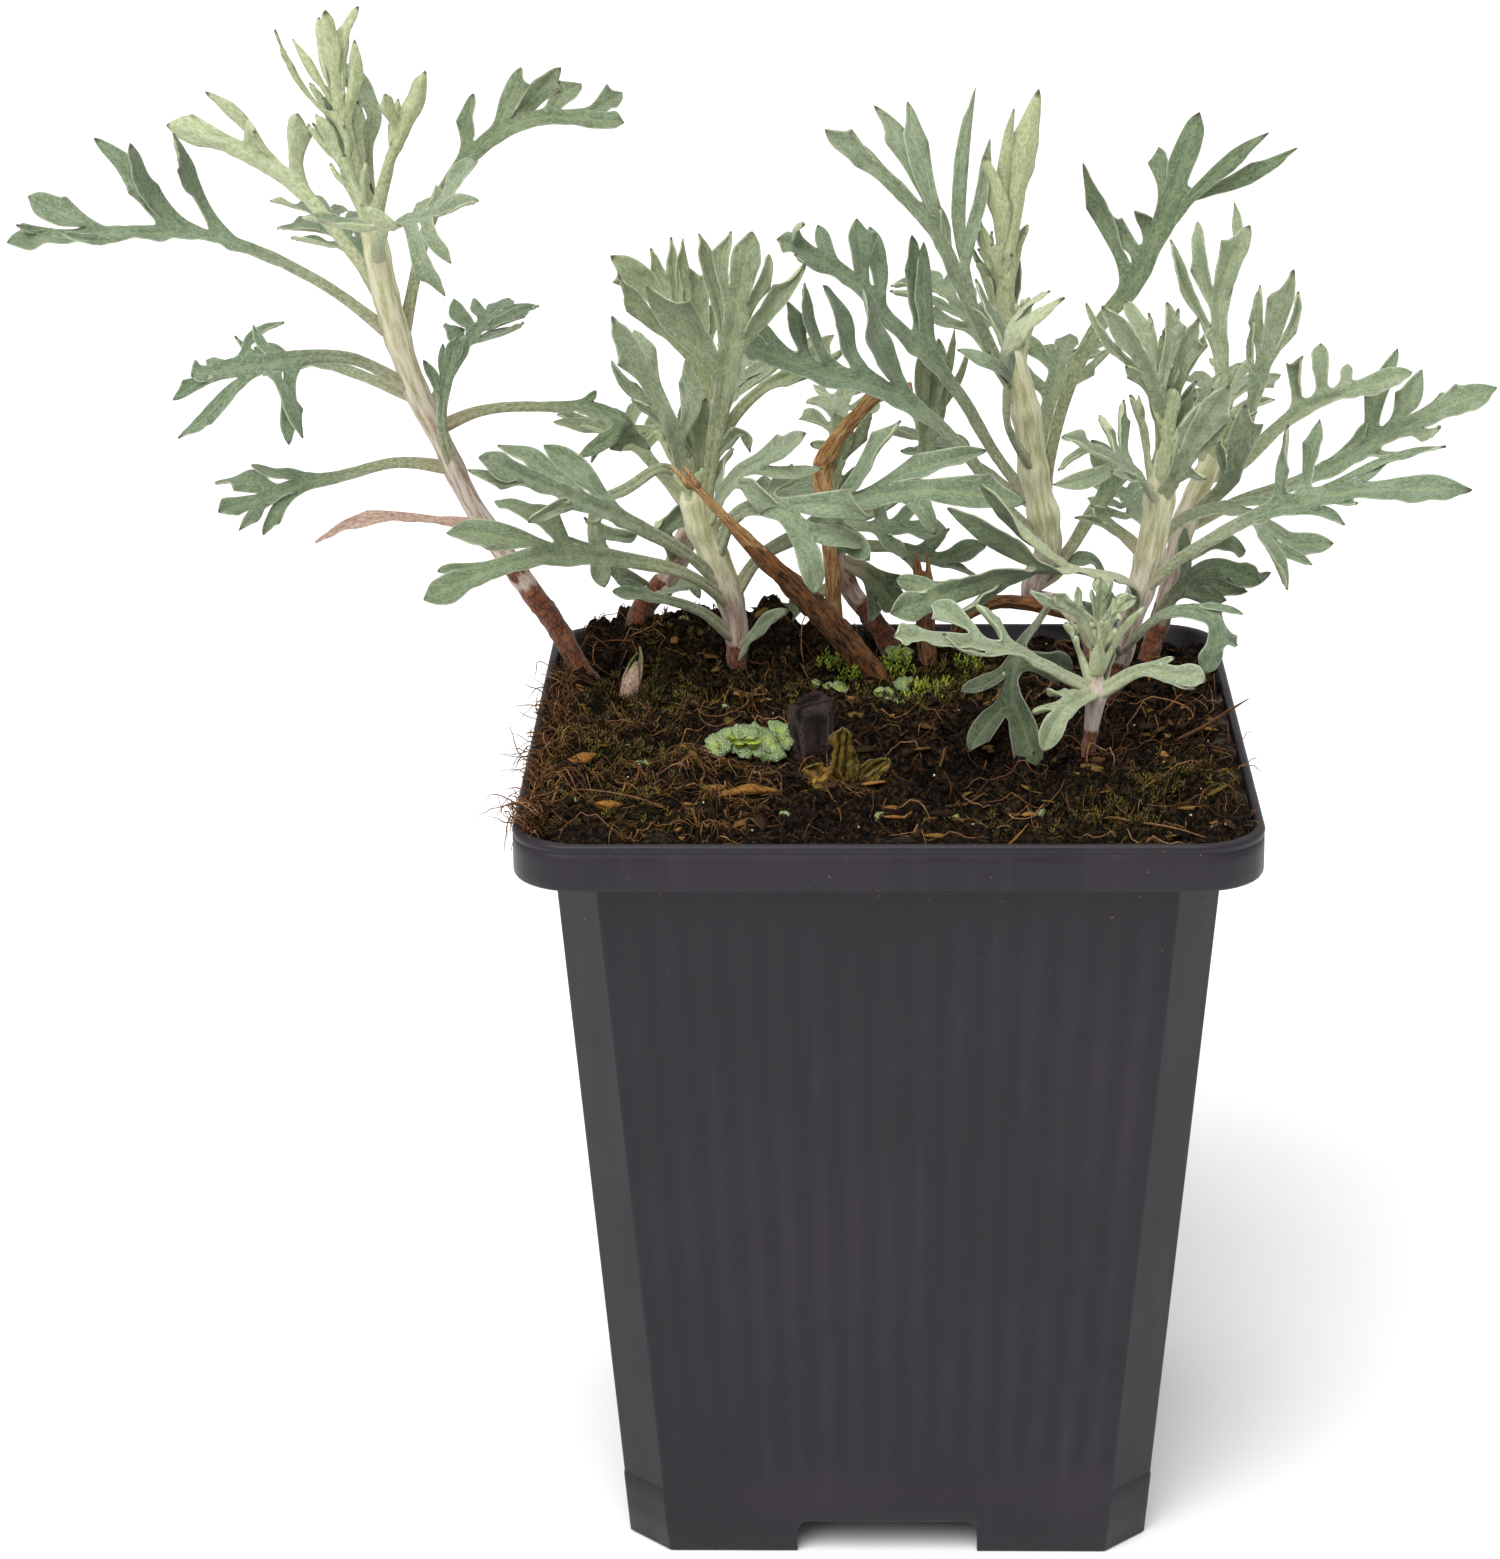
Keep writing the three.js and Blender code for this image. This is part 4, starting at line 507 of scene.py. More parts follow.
def soil_look():
    """Dark moist peat with brown crumbs on its heights and painted shade, nearly black, in its hollows; wet
    gleams and thin films of moss.
    """
    look = Look("potting_soil", 0.6, Specular_IOR_Level=0.1)
    lump, moss, _, _ = look.mark("ground")
    crumbs = look.noise(look.place, 1500, 6, 0.72)
    patches = look.noise(look.place, 210, 4, 0.6)
    threads = look.noise(look.stretched(look.place, 2600, 700, 900), 1, 4)
    # Painted shade: nearly black where the soil sinks between crumbs and lighter brown where it rises, over
    # the peat's own darker and lighter crumbs
    dark = look.blend(crumbs, 0.44, 0.7, colour(1, 1, 1), colour(22, 14, 9))
    light = look.blend(crumbs, 0.46, 0.66, colour(4, 3, 2), colour(80, 56, 36))
    base = look.blend(look.times(lump, look.plus(patches, 0.3)), 0.16, 0.72, dark, light)
    base = look.over(base, colour(106, 78, 48), threads, 0.61, 0.7, 0.5)
    green = look.blend(crumbs, 0.4, 0.68, colour(16, 14, 5), colour(78, 70, 24))
    base = look.mix(look.times(moss, look.span(crumbs, 0.32, 0.6)), base, green)
    rough = look.span(patches, 0.46, 0.6, 0.95, 0.32)
    return look.finish(base, rough, look.bump(crumbs, 0.0014, 1.0))


def liverwort_look():
    """A green skin with fine pale dots, brighter in the middle."""
    look = Look("liverwort", 0.42, Specular_IOR_Level=0.35)
    middle, _, _, _ = look.mark("form")
    dots = look.cells(look.place, 2300)
    patches = look.noise(look.place, 420, 3)
    skin = look.blend(patches, 0.3, 0.7, colour(88, 108, 62), colour(128, 146, 98))
    skin = look.mix(middle, skin, colour(150, 168, 28))
    base = look.mix(look.span(dots, 0.42, 0.16, 0, 0.75), skin, colour(200, 208, 176))
    return look.finish(base, normal=look.bump(look.span(dots, 0.5, 0.1), 0.00025, 0.8))


def pot_look():
    """Charcoal moulded plastic: a soft grain, faint scuffs, specks of soil near the rim, and painted shade
    in the flutes and on the cut corners.
    """
    look = Look("pot_plastic", 0.4, Specular_IOR_Level=0.3)
    rim, flute_shade, corner, _ = look.mark("form")
    grain = look.noise(look.place, 4200, 3, 0.6)
    clouds = look.noise(look.place, 34, 4, 0.6)
    streaks = look.noise(look.stretched(look.place, 340, 340, 14), 1, 3)
    specks = look.noise(look.place, 1300, 3, 0.55)
    base = look.blend(clouds, 0.3, 0.7, colour(27, 22, 29), colour(37, 32, 39))
    base = look.over(base, colour(52, 48, 56), streaks, 0.5, 0.8, 0.25)
    # Painted shade: the flutes' hollows are darkened
    base = look.mix(look.times(flute_shade, 0.6), base, colour(20, 17, 23))
    # Painted shade: the cut corners are darkened, as if less light fell on them
    base = look.mix(look.times(corner, 0.55), base, colour(14, 12, 16))
    spotted = look.span(look.plus(specks, look.times(rim, 0.05)), 0.76, 0.785)
    spotted = look.times(spotted, look.span(rim, 0.0, 0.6, 0.1, 0.9))
    base = look.mix(spotted, base, colour(104, 82, 64))
    rough = look.span(look.plus(look.times(streaks, 0.5), clouds), 0.5, 1.0, 0.36, 0.54)
    return look.finish(base, rough, look.bump(grain, 0.00005, 0.5))


LEAF = leaf_look()
STEM = stem_look()
WOOD = wood_look()
LITTER = litter_look("litter")
GREENERY = litter_look("greenery", 0.6, 0.35)
SOIL = soil_look()
LIVERWORT = liverwort_look()
POT = pot_look()


def seen(x, z, y):
    """Moves a point read at the middle plane along its sight line to the depth y."""
    share = (y - EYE[1]) / -EYE[1]
    return np.array([EYE[0] + (x - EYE[0]) * share, y, EYE[2] + (z - EYE[2]) * share])


def smooth_line(points, count):
    """A smooth curve through points, as count + 1 places at even distances, and its length."""
    points = np.asarray(points, float)
    full = np.vstack([2 * points[0] - points[1], points, 2 * points[-1] - points[-2]])
    places = []
    for p0, p1, p2, p3 in zip(full, full[1:], full[2:], full[3:]):
        t0, t1, t2 = (np.sqrt(max(np.linalg.norm(b - a), 1e-4)) for a, b in ((p0, p1), (p1, p2), (p2, p3)))
        leave = ((p1 - p0) / t0 - (p2 - p0) / (t0 + t1) + (p2 - p1) / t1) * t1
        arrive = ((p2 - p1) / t1 - (p3 - p1) / (t1 + t2) + (p3 - p2) / t2) * t1
        t = np.linspace(0, 1, CURVE_STEPS, endpoint=False)[:, None]
        places.append((2 * t ** 3 - 3 * t ** 2 + 1) * p1 + (t ** 3 - 2 * t ** 2 + t) * leave
                      + (3 * t ** 2 - 2 * t ** 3) * p2 + (t ** 3 - t ** 2) * arrive)
    places = np.vstack([*places, points[-1]])
    travelled = np.concatenate([[0], np.cumsum(np.linalg.norm(np.diff(places, axis=0), axis=1))])
    even = np.linspace(0, travelled[-1], count + 1)
    return np.stack([np.interp(even, travelled, places[:, k]) for k in range(3)], axis=1), travelled[-1]


class Path:
    """A smooth line with a frame along it: along, up and left. Up is carried on and drawn to its hint."""

    def __init__(self, points, up_hint, count=40):
        self.place, self.length = smooth_line(points, count)
        self.along = unit(np.gradient(self.place, axis=0))
        hint = unit(up_hint)
        up, ups = hint, []
        for along in self.along:
            up = up + HINT_PULL * hint
            up = unit(up - along * np.dot(up, along))
            ups.append(up)
        self.up = np.array(ups)
        self.left = np.cross(self.up, self.along)

    def at(self, share):
        """Place, along, up and left at a share of the way."""
        spot = min(max(share, 0), 1) * (len(self.place) - 1)
        low = min(int(spot), len(self.place) - 2)
        mix = spot - low
        place = self.place[low] * (1 - mix) + self.place[low + 1] * mix
        ways = (self.along, self.up, self.left)
        return (place, *(unit(rows[low] * (1 - mix) + rows[low + 1] * mix) for rows in ways))


class Lobe:
    """A lobe's middle line, which leaves the midrib at a slant and ends at its tip."""

    def __init__(self, midrib, share, tip, side, width, blade):
        place, along, up, left = midrib.at(share)
        reach = tip - place
        slant = min(max(math.atan2(abs(reach @ left), reach @ along), LEAST_SLANT), MOST_SLANT)
        start = along * math.cos(slant) + left * side * math.sin(slant)
        foot = place + left * side * blade * 0.5
        knee = foot + start * KNEE * np.linalg.norm(reach)
        t = np.linspace(0, 1, 9)[:, None]
        self.path = Path((1 - t) ** 2 * foot + 2 * t * (1 - t) * knee + t * t * tip, up, 16)
        self.share, self.side, self.width = share, side, width


def spread_shares(rows, blade_start, foot):
    """Spreads the lobes of one side along the midrib, so that each has room for its foot."""
    rows.sort(key=lambda row: row[0])
    least = blade_start + FOOT_LEAD * foot
    for row in rows:
        row[0] = max(row[0], least)
        least = row[0] + FOOT_SPACING * foot
    most = LAST_LOBE
    for row in reversed(rows):
        row[0] = min(row[0], most)
        most = row[0] - FOOT_SPACING * foot
    return rows


def narrow_lobes(lobes, midrib):
    """Narrows the lobes that stand close to another lobe or to the midrib."""
    middles = [lobe.path.at(0.45)[0] for lobe in lobes]
    for i, lobe in enumerate(lobes):
        rib = min(np.linalg.norm(midrib.place - middles[i], axis=1))
        others = [np.linalg.norm(other - middles[i]) for j, other in enumerate(middles) if j != i]
        room = min(RIB_ROOM * rib, LOBE_GAP * min(others, default=9))
        lobe.width = max(LEAST_HALF_WIDTH, min(lobe.width, room))


class Cage:
    """A coarse open sheet of leaves, which is subdivided and then thickened."""

    def __init__(self):
        self.points, self.faces, self.sharp = [], [], []
        self.flow, self.form, self.tone = [], [], []

    def point(self, place, flow, form, tone, sharp=0.0):
        """Adds a point with its marks, and returns its number."""
        self.points.append(place)
        self.flow.append((*flow, 1))
        self.form.append(form)
        self.tone.append(tone)
        self.sharp.append(sharp)
        return len(self.points) - 1

    def strip(self, low, high):
        """Faces between two rows of points that both run from right to left."""
        for i in range(len(low) - 1):
            self.faces.append((low[i], high[i], high[i + 1], low[i + 1]))

    def close(self, row, tip):
        """Two faces between the last row and the tip."""
        for i in range(len(row) - 1):
            self.faces.append((row[i], tip, row[i + 1]))

    def subdivided(self):
        """The sheet after two subdivisions: points, faces and marks."""
        mesh = bpy.data.meshes.new("cage")
        mesh.from_pydata([tuple(p) for p in self.points], [], self.faces)
        mesh.attributes.new("crease_vert", "FLOAT", "POINT").data.foreach_set("value", self.sharp)
        marks = {"flow": self.flow, "form": self.form, "tone": self.tone}
        for name, rows in marks.items():
            layer = mesh.attributes.new(name, "FLOAT_COLOR", "POINT")
            layer.data.foreach_set("color", np.asarray(rows, np.float32).ravel())
        made = bpy.data.objects.new("cage", mesh)
        bpy.context.scene.collection.objects.link(made)
        made.modifiers.new("finer", "SUBSURF").levels = 2
        fine = made.evaluated_get(bpy.context.evaluated_depsgraph_get()).to_mesh()
        points = np.empty(3 * len(fine.vertices), np.float32)
        fine.vertices.foreach_get("co", points)
        faces = np.empty(len(fine.loops), np.int32)
        fine.loops.foreach_get("vertex_index", faces)
        for name in marks:
            values = np.empty(4 * len(fine.vertices), np.float32)
            fine.attributes[name].data.foreach_get("color", values)
            marks[name] = values.reshape(-1, 4).astype(float)
        bpy.data.objects.remove(made)
        bpy.data.meshes.remove(mesh)
        return points.reshape(-1, 3).astype(float), faces.reshape(-1, 4), marks


def point_normals(points, faces):
    """A normal for each point of a sheet of four-sided faces."""
    corners = points[faces]
    across = np.cross(corners[:, 2] - corners[:, 0], corners[:, 3] - corners[:, 1])
    total = np.zeros_like(points)
    for k in range(4):
        np.add.at(total, faces[:, k], across)
    return unit(total)


def thickened(points, faces, above, below):
    """A closed body from an open sheet, with a thickness above and below it."""
    normals = point_normals(points, faces)
    count = len(points)
    both = np.vstack([points + normals * above[:, None], points - normals * below[:, None]])
    edges = np.vstack([faces[:, [k, (k + 1) % 4]] for k in range(4)])
    known = set(map(tuple, edges.tolist()))
    rim = [[b, a, a + count, b + count] for a, b in edges.tolist() if (b, a) not in known]
    return both, faces.tolist() + (faces[:, ::-1] + count).tolist() + rim


class Leaf:
    """A leaf's cage: petiole, midrib blade and lobes, with its own small irregularities."""

    def __init__(self, cage, rib_points, up_hint, lobe_rows, width, age, dry, rng):
        self.cage, self.rng = cage, rng
        self.tone = (age / 2, rng.random(), dry)
        self.closed = 0.3 + 0.42 * max(0, 1 - age)
        self.midrib = Path(rib_points, up_hint)
        self.blade = BLADE_SHARE * min(width, WIDEST_BLADE)
        shares = [row[0] for row in lobe_rows]
        self.blade_start = min(shares) - BLADE_LEAD if shares else LOBELESS_START
        feet, lobes = [], []
        for side in (1, -1):
            rows = [[share, tip] for share, tip in lobe_rows if self.side_of(share, tip) == side]
            room = (LAST_LOBE - self.blade_start) / (2.3 * len(rows) + 0.1)
            foot = min(1.1 * self.blade / self.midrib.length, room)
            feet.append(foot)
            lobes += [Lobe(self.midrib, share, tip, side, width * LOBE_WIDTH, self.blade)
                      for share, tip in spread_shares(rows, self.blade_start, foot)]
        narrow_lobes(lobes, self.midrib)
        self.build(lobes, min(feet), min(width, 2) * LOBE_WIDTH)

    def side_of(self, share, tip):
        """1 for a tip on the midrib's left, -1 for one on its right."""
        place, _, _, left = self.midrib.at(share)
        return 1 if (tip - place) @ left >= 0 else -1

    def row(self, frame, half, fold, turn, flow, petiole=0.0, near=0.0, waved=0.0, tooth=0):
        """A row of three points from right to left: edge, middle, edge. A tooth points out and forward."""
        place, along, up, left = frame
        cos, sin = math.cos(turn), math.sin(turn)
        left, up = left * cos + up * sin, up * cos - left * sin
        tone = (*self.tone, near)
        made = []
        for way in (-1, 0, 1):
            wide = half * (1 + waved * self.rng.uniform(-0.16, 0.16))
            lift = half * (math.sin(fold) + waved * self.rng.uniform(-0.3, 0.3))
            spot = place + left * way * wide * math.cos(fold)
            spot = spot + up * (abs(way) * lift - 0.3 * half * math.sin(fold))
            toothed = way != 0 and way == tooth
            if toothed:
                spot = spot + left * way * 0.5 * half + along * 0.9 * half
            form = (1.0 - abs(way), 0.5 * toothed, petiole, 0)
            spot_flow = (flow[0] + way * half, *flow[1:])
            made.append(self.cage.point(spot, spot_flow, form, tone, 0.85 * toothed))
        return made

    def tooth_at(self, length, rows):
        """Which of a lobe's rows carries a tooth, and on which side."""
        if length < TOOTH_LENGTH or self.rng.random() < 1 - TOOTH_CHANCE:
            return None, 0
        return self.rng.choice(rows), self.rng.choice((-1, 1))

    def tip(self, place, flow, dark):
        """The sharp point that ends the blade or a lobe, more or less dark."""
        return self.cage.point(place, flow, (0.3, dark, 0, 0), (*self.tone, 0), 1.0)

    def build(self, lobes, foot, width):
        """Builds the petiole, the blade along the midrib and the lobes at its edges."""
        rng, midrib, cage = self.rng, self.midrib, self.cage
        offset = rng.uniform(0, 40)
        flow = lambda share: (offset, share * midrib.length, self.tone[1] * 30)
        sway = rng.uniform(-0.3, 0.3)
        turn = lambda share: sway * math.sin(share * 3.1)
        fold = self.closed * rng.uniform(0.8, 1.3)
        rows, index_of = [], {}
        steps = max(4, round(self.blade_start * midrib.length / 3.0))
        for i in range(steps):
            share = i / steps * self.blade_start
            grown = math.exp(-((share * midrib.length - 1.5) / 3.2) ** 2)
            winged = max(0.0, 0.8 * self.blade - PETIOLE_HALF) * (i / steps) ** 1.6
            half = PETIOLE_HALF + winged + 0.35 * grown
            stalk = 1 - 0.75 * (i / steps) ** 1.4
            frame_here = midrib.at(share)
            rows.append(self.row(frame_here, half, 0.5 * grown, turn(share), flow(share), stalk, grown))
        place_of = lambda share: round((share - self.blade_start) / foot)
        last = max([place_of(lobe.share) for lobe in lobes], default=0) + 1
        for i in range(last + 1):
            share = self.blade_start + i * foot
            index_of[i] = len(rows)
            petiole = 0.25 * max(0.0, 1 - (i + 0.6) * foot * midrib.length / 4)
            grow = min(1.0, (i + 0.7) * foot * midrib.length / 3)
            half = max(0.8 * self.blade, PETIOLE_HALF + (self.blade - PETIOLE_HALF) * grow)
            rows.append(self.row(midrib.at(share), half, fold, turn(share), flow(share), petiole, 0, 0.5))
        end = self.blade_start + last * foot
        dark = rng.uniform(0.5, 1)
        toothed, side = self.tooth_at((1 - end) * midrib.length, (0, 1))
        for i, (part, wide) in enumerate(END_ROWS):
            share = end + part * (1 - end)
            tooth = side if i == toothed else 0
            half = wide * width
            rows.append(self.row(midrib.at(share), half, fold, turn(share), flow(share), 0, 0, 1, tooth))
        for low, high in zip(rows, rows[1:]):
            cage.strip(low, high)
        cage.close(rows[-1], self.tip(midrib.at(1)[0], flow(1), dark))
        for lobe in lobes:
            middle = index_of[place_of(lobe.share)]
            edge = 2 if lobe.side > 0 else 0
            base = [rows[middle + 1][edge], rows[middle][edge], rows[middle - 1][edge]]
            cage.form[rows[middle][edge]] = (0.9, 0, cage.form[rows[middle][edge]][2], 0)
            self.build_lobe(lobe, base if lobe.side > 0 else base[::-1], flow(lobe.share))

    def build_lobe(self, lobe, base, start):
        """Builds a lobe from three points of the blade's edge to its tip."""
        rng, cage, path = self.rng, self.cage, lobe.path
        fold = self.closed * rng.uniform(0.7, 1.7)
        twist = rng.uniform(-0.8, 0.8)
        bow, curl, bend = (rng.uniform(-reach, reach) * path.length for reach in (0.08, 0.12, 0.09))
        dark = rng.uniform(0.45, 1)

        def bent(share):
            """The lobe's middle line, with its own bow, curl and sideways bend."""
            place, along, up, left = path.at(share)
            place = place + up * (bow * 4 * share * (1 - share) + curl * share ** 2)
            return place + left * bend * math.sin(math.pi * share), along, up, left

        toothed, side = self.tooth_at(path.length, (1, 2))
        rows = [base]
        for i, (share, wide) in enumerate(SHORT_LOBE if path.length < SHORT else LONG_LOBE):
            flow = (start[0] + lobe.side * self.blade, start[1] + share * path.length, start[2])
            tooth = side if i == toothed else 0
            rows.append(self.row(bent(share), wide * lobe.width, fold, twist * share, flow, 0, 0, 1, tooth))
        for low, high in zip(rows, rows[1:]):
            cage.strip(low, high)
        flow = (start[0] + lobe.side * self.blade, start[1] + path.length, start[2])
        cage.close(rows[-1], self.tip(bent(1)[0], flow, dark))


# Each draw is the last one times a factor, cut down by a large prime
DRAW_FACTOR = 16807
DRAW_PRIME = 2147483647


def seeded_draws(seed):
    """Draws from a seed, always in the same order."""
    state = seed

    def draw(low, high):
        nonlocal state
        state = state * DRAW_FACTOR % DRAW_PRIME
        return low + (high - low) * state / DRAW_PRIME

    return draw


class Stem:
    """A round stem through points read as seen: x, z, depth y and radius."""

    def __init__(self, name, rows, wood=0, blush=22):
        self.name, self.rows, self.wood, self.blush = name, rows, wood, blush
        points = [seen(*row[:3]) for row in rows]
        foot = points[0] * (FOOT_INWARD, FOOT_INWARD, 1) - (0, 0, STEM_DEPTH)
        self.points = np.array([foot, *points])
        self.radii = np.array([rows[0][3], *(row[3] for row in rows)])
        self.seed = sum(map(ord, name))

    def at(self, height):
        """The stem's middle at a height as seen."""
        i = len(self.rows) - 2
        while i > 0 and self.rows[i][1] > height:
            i -= 1
        low, high = np.array(self.rows[i]), np.array(self.rows[i + 1])
        mix = min(max((height - low[1]) / (high[1] - low[1]), 0), 1)
        x, z, y, _ = low + (high - low) * mix
        return seen(x, z, y)

    def shape(self, joints=(), rough=0.05, step=0.7, sides=20, ending=0.0, thin=1.0, cracks=0.0):
        """Rings along the stem, swollen at its joints, with ridges and bark; and each point's marks."""
        count = round(smooth_line(self.points, 8)[1] / step)
        path = Path(self.points, (0.31, -0.92, 0.24), count)
        knots = np.concatenate([[0], np.cumsum(np.linalg.norm(np.diff(self.points, axis=0), axis=1))])
        travelled = np.linspace(0, knots[-1], count + 1)
        radii = thin * np.interp(travelled, knots, self.radii)
        for joint in joints:
            spot = travelled[np.argmin(np.linalg.norm(path.place - joint, axis=1))]
            radii += 0.14 * np.exp(-((travelled - spot - 0.6) / 1.1) ** 2)
        if ending:
            radii *= np.clip((knots[-1] - travelled) / ending, 0.01, 1) ** 0.7
        angles = np.arange(sides) / sides * 2 * np.pi
        height = path.place[:, 2]
        wood = 1 - smoothstep(height + 1.8 * np.sin(travelled * 0.9), self.wood - 2.5, self.wood + 2.5)
        round_way = np.stack([np.cos(angles), np.sin(angles)], axis=1)

        def pattern(around, onward, layers, seed):
            """Noise over the stem's skin, finer the larger the numbers for around it and onward."""
            spots = np.zeros((count + 1, sides, 3))
            spots[..., :2] = round_way * around
            spots[..., 2] = travelled[:, None] * onward
            return layered_noise(spots.reshape(-1, 3) + self.seed, layers, seed).reshape(count + 1, sides)

        ridges = pattern(1.7, 0.28, 3, self.seed)
        flakes = pattern(2.72, 0.9, 3, self.seed + 7)
        lines = pattern(2.6, 0.16, 2, self.seed + 3)
        bark = np.maximum(flakes, -0.1) * 0.3 * wood[:, None]
        bark = bark - cracks * (1 - smoothstep(np.abs(lines), 0.02, 0.16))
        reach = radii[:, None] * (1 + (rough + 0.07 * wood[:, None]) * ridges) + bark
        points = path.place[:, None, :] + reach[..., None] * (
            path.left[:, None, :] * round_way[None, :, :1] + path.up[:, None, :] * round_way[None, :, 1:])
        faces = closed_faces(count + 1, sides)
        flow = np.zeros((count + 1, sides, 4))
        flow[..., :2] = round_way * radii.mean()
        flow[..., 2] = travelled[:, None]
        form = np.zeros((count + 1, sides, 4))
        form[..., 0] = wood[:, None]
        form[..., 2] = np.clip(0.5 + 0.5 * flakes, 0, 1)
        form[..., 3] = smoothstep(height - self.wood, self.blush, 4)[:, None]
        return points.reshape(-1, 3), faces, flow.reshape(-1, 4), form.reshape(-1, 4)


class Shoot(Stem):
    """A leafy shoot: a stem and its leaves."""

    def __init__(self, name, rows, wood=0, blush=22):
        super().__init__(name, rows, wood, blush)
        self.leaves, self.joints = [], []

    def leaf(self, height, rib_rows, up_hint, lobe_rows, width, dry=0.0, old=0.0):
        """A leaf at a height, through points read as seen, with lobes at shares of its length."""
        rib = [self.at(height), *(seen(*row) for row in rib_rows)]
        line, _ = smooth_line(rib, 100)
        draw = seeded_draws(self.seed + 17 * len(self.leaves) + 1)
        lobes = [(share, seen(x, z, line[round(share * 100)][1] + deeper + draw(-1.8, 1.8)))
                 for share, x, z, deeper in lobe_rows]
        self.keep(height, rib, up_hint, lobes, width, dry, old)

    def keep(self, height, rib, up_hint, lobes, width, dry=0.0, old=0.0):
        """Keeps a leaf for the mesh: the lower it grows the older it is, or as old as given. A given age
        above 1 darkens the leaf as painted shade.
        """
        age = max(min((self.rows[-1][1] - height) / 30, 1), old)
        self.leaves.append((rib, up_hint, lobes, width, age, dry))
        self.joints.append(rib[0])

    def usual_leaf(self, height, azimuth, length, rise, seed):
        """A leaf of the usual form that grows at a height towards an azimuth and arches over."""
        draw = seeded_draws(seed)
        root = self.at(height)
        out = np.array([math.sin(azimuth), math.cos(azimuth), 0])
        left = np.array([-out[1], out[0], 0])
        up = np.array(UPRIGHT)

        def along(share):
            """A place on the arching midrib."""
            lift = math.sin(rise) * share - 0.22 * share * share
            return root + out * length * math.cos(rise) * share + up * length * lift

        lobes = []
        for share, reach in ((0.5, 0.24), (0.64, 0.22), (0.78, 0.17)):
            for side in (1, -1):
                size = length * reach * draw(0.85, 1.15)
                at = share + draw(-0.03, 0.03)
                lift = size * draw(0.05, 0.4)
                lobes.append((at, along(at) + left * side * size * 0.8 + out * size * 0.75 + up * lift))
        self.keep(height, [along(share) for share in (0, 0.25, 0.5, 0.75, 1)], UPRIGHT, lobes, 1.8)

    def tuft(self, count, spread, length, reach=5):
        """Young folded leaves that stand round the stem's tip, and clasp it down to a reach below it."""
        rng = random.Random(self.seed)
        tip, below = self.points[-1], self.points[-2]
        rise = unit(tip - below)
        for i in range(count):
            angle = i * SPIRAL + rng.uniform(-0.3, 0.3)
            out = unit(np.array([math.cos(angle), math.sin(angle), 0]))
            size = length * rng.uniform(0.6, 1.15)
            lean = spread * rng.uniform(0.4, 1.3)
            lower = rng.uniform(0.15, 1) * reach
            root = self.at(self.rows[-1][1] - lower)
            clasp = out * min(1.3, 0.2 * lower)
            ends = [root + clasp * min(1, 3 * share + 0.4) + rise * size * share
                    + out * size * lean * share ** 1.6 for share in (0, 0.35, 0.7, 1)]
            inward = tuple(-out + 0.3 * rise)
            side = np.cross(rise, out)
            lobes = []
            if i % 3:
                lobes = [(0.5, ends[2] + side * size * 0.2 + rise * size * 0.16),
                         (0.62, ends[2] - side * size * 0.18 + rise * size * 0.24)]
            self.leaves.append((ends, inward, lobes, 0.7 + 0.05 * length, 0.0, 0.0))

    def make(self):
        """The whole shoot as one object: its stem and its leaves."""
        rng = random.Random(self.seed)
        cage = Cage()
        for rib, up_hint, lobes, width, age, dry in self.leaves:
            Leaf(cage, rib, up_hint, lobes, width, age, dry, rng)
        points, faces, marks = cage.subdivided()
        edge, petiole = marks["form"][:, 0], marks["form"][:, 2]
        normals = point_normals(points, faces)
        flow = marks["flow"][:, :3]
        pucker = PUCKER * layered_noise(flow * (0.55, 0.45, 1), 2, self.seed)
        waves = WAVES * (1 - edge) * layered_noise(flow * (0.3, 0.4, 1), 2, self.seed + 5)
        points = points + normals * ((1 - petiole) * (pucker + waves))[:, None]
        middle = smoothstep(edge, 0.7, 1)
        full = np.minimum(1, 3 * edge)
        blade = MARGIN_THICKNESS + INNER_THICKNESS * full
        above = (1 - petiole) * (blade - INNER_THICKNESS * middle)
        above += petiole * (0.15 + 0.22 * full - 0.2 * middle)
        below = (1 - petiole) * (blade + RIB_DEPTH * middle)
        below += petiole * (0.2 + 0.62 * np.sqrt(np.clip(edge * (2 - edge), 0, 1)))
        both, all_faces = thickened(points, faces, above, below)
        doubled = {name: np.vstack([rows, rows]) for name, rows in marks.items()}
        doubled["form"][len(points):, 3] = 1
        body = Body()
        body.add(both, all_faces, 0, **doubled)
        stem_points, stem_faces, flow, form = self.shape(self.joints, ending=8.0, thin=STEM_THIN)
        body.add(stem_points, stem_faces, 1, flow=flow, form=form)
        return body.make(self.name + "_grown", [LEAF, STEM], "silver_leaf", [self.name])


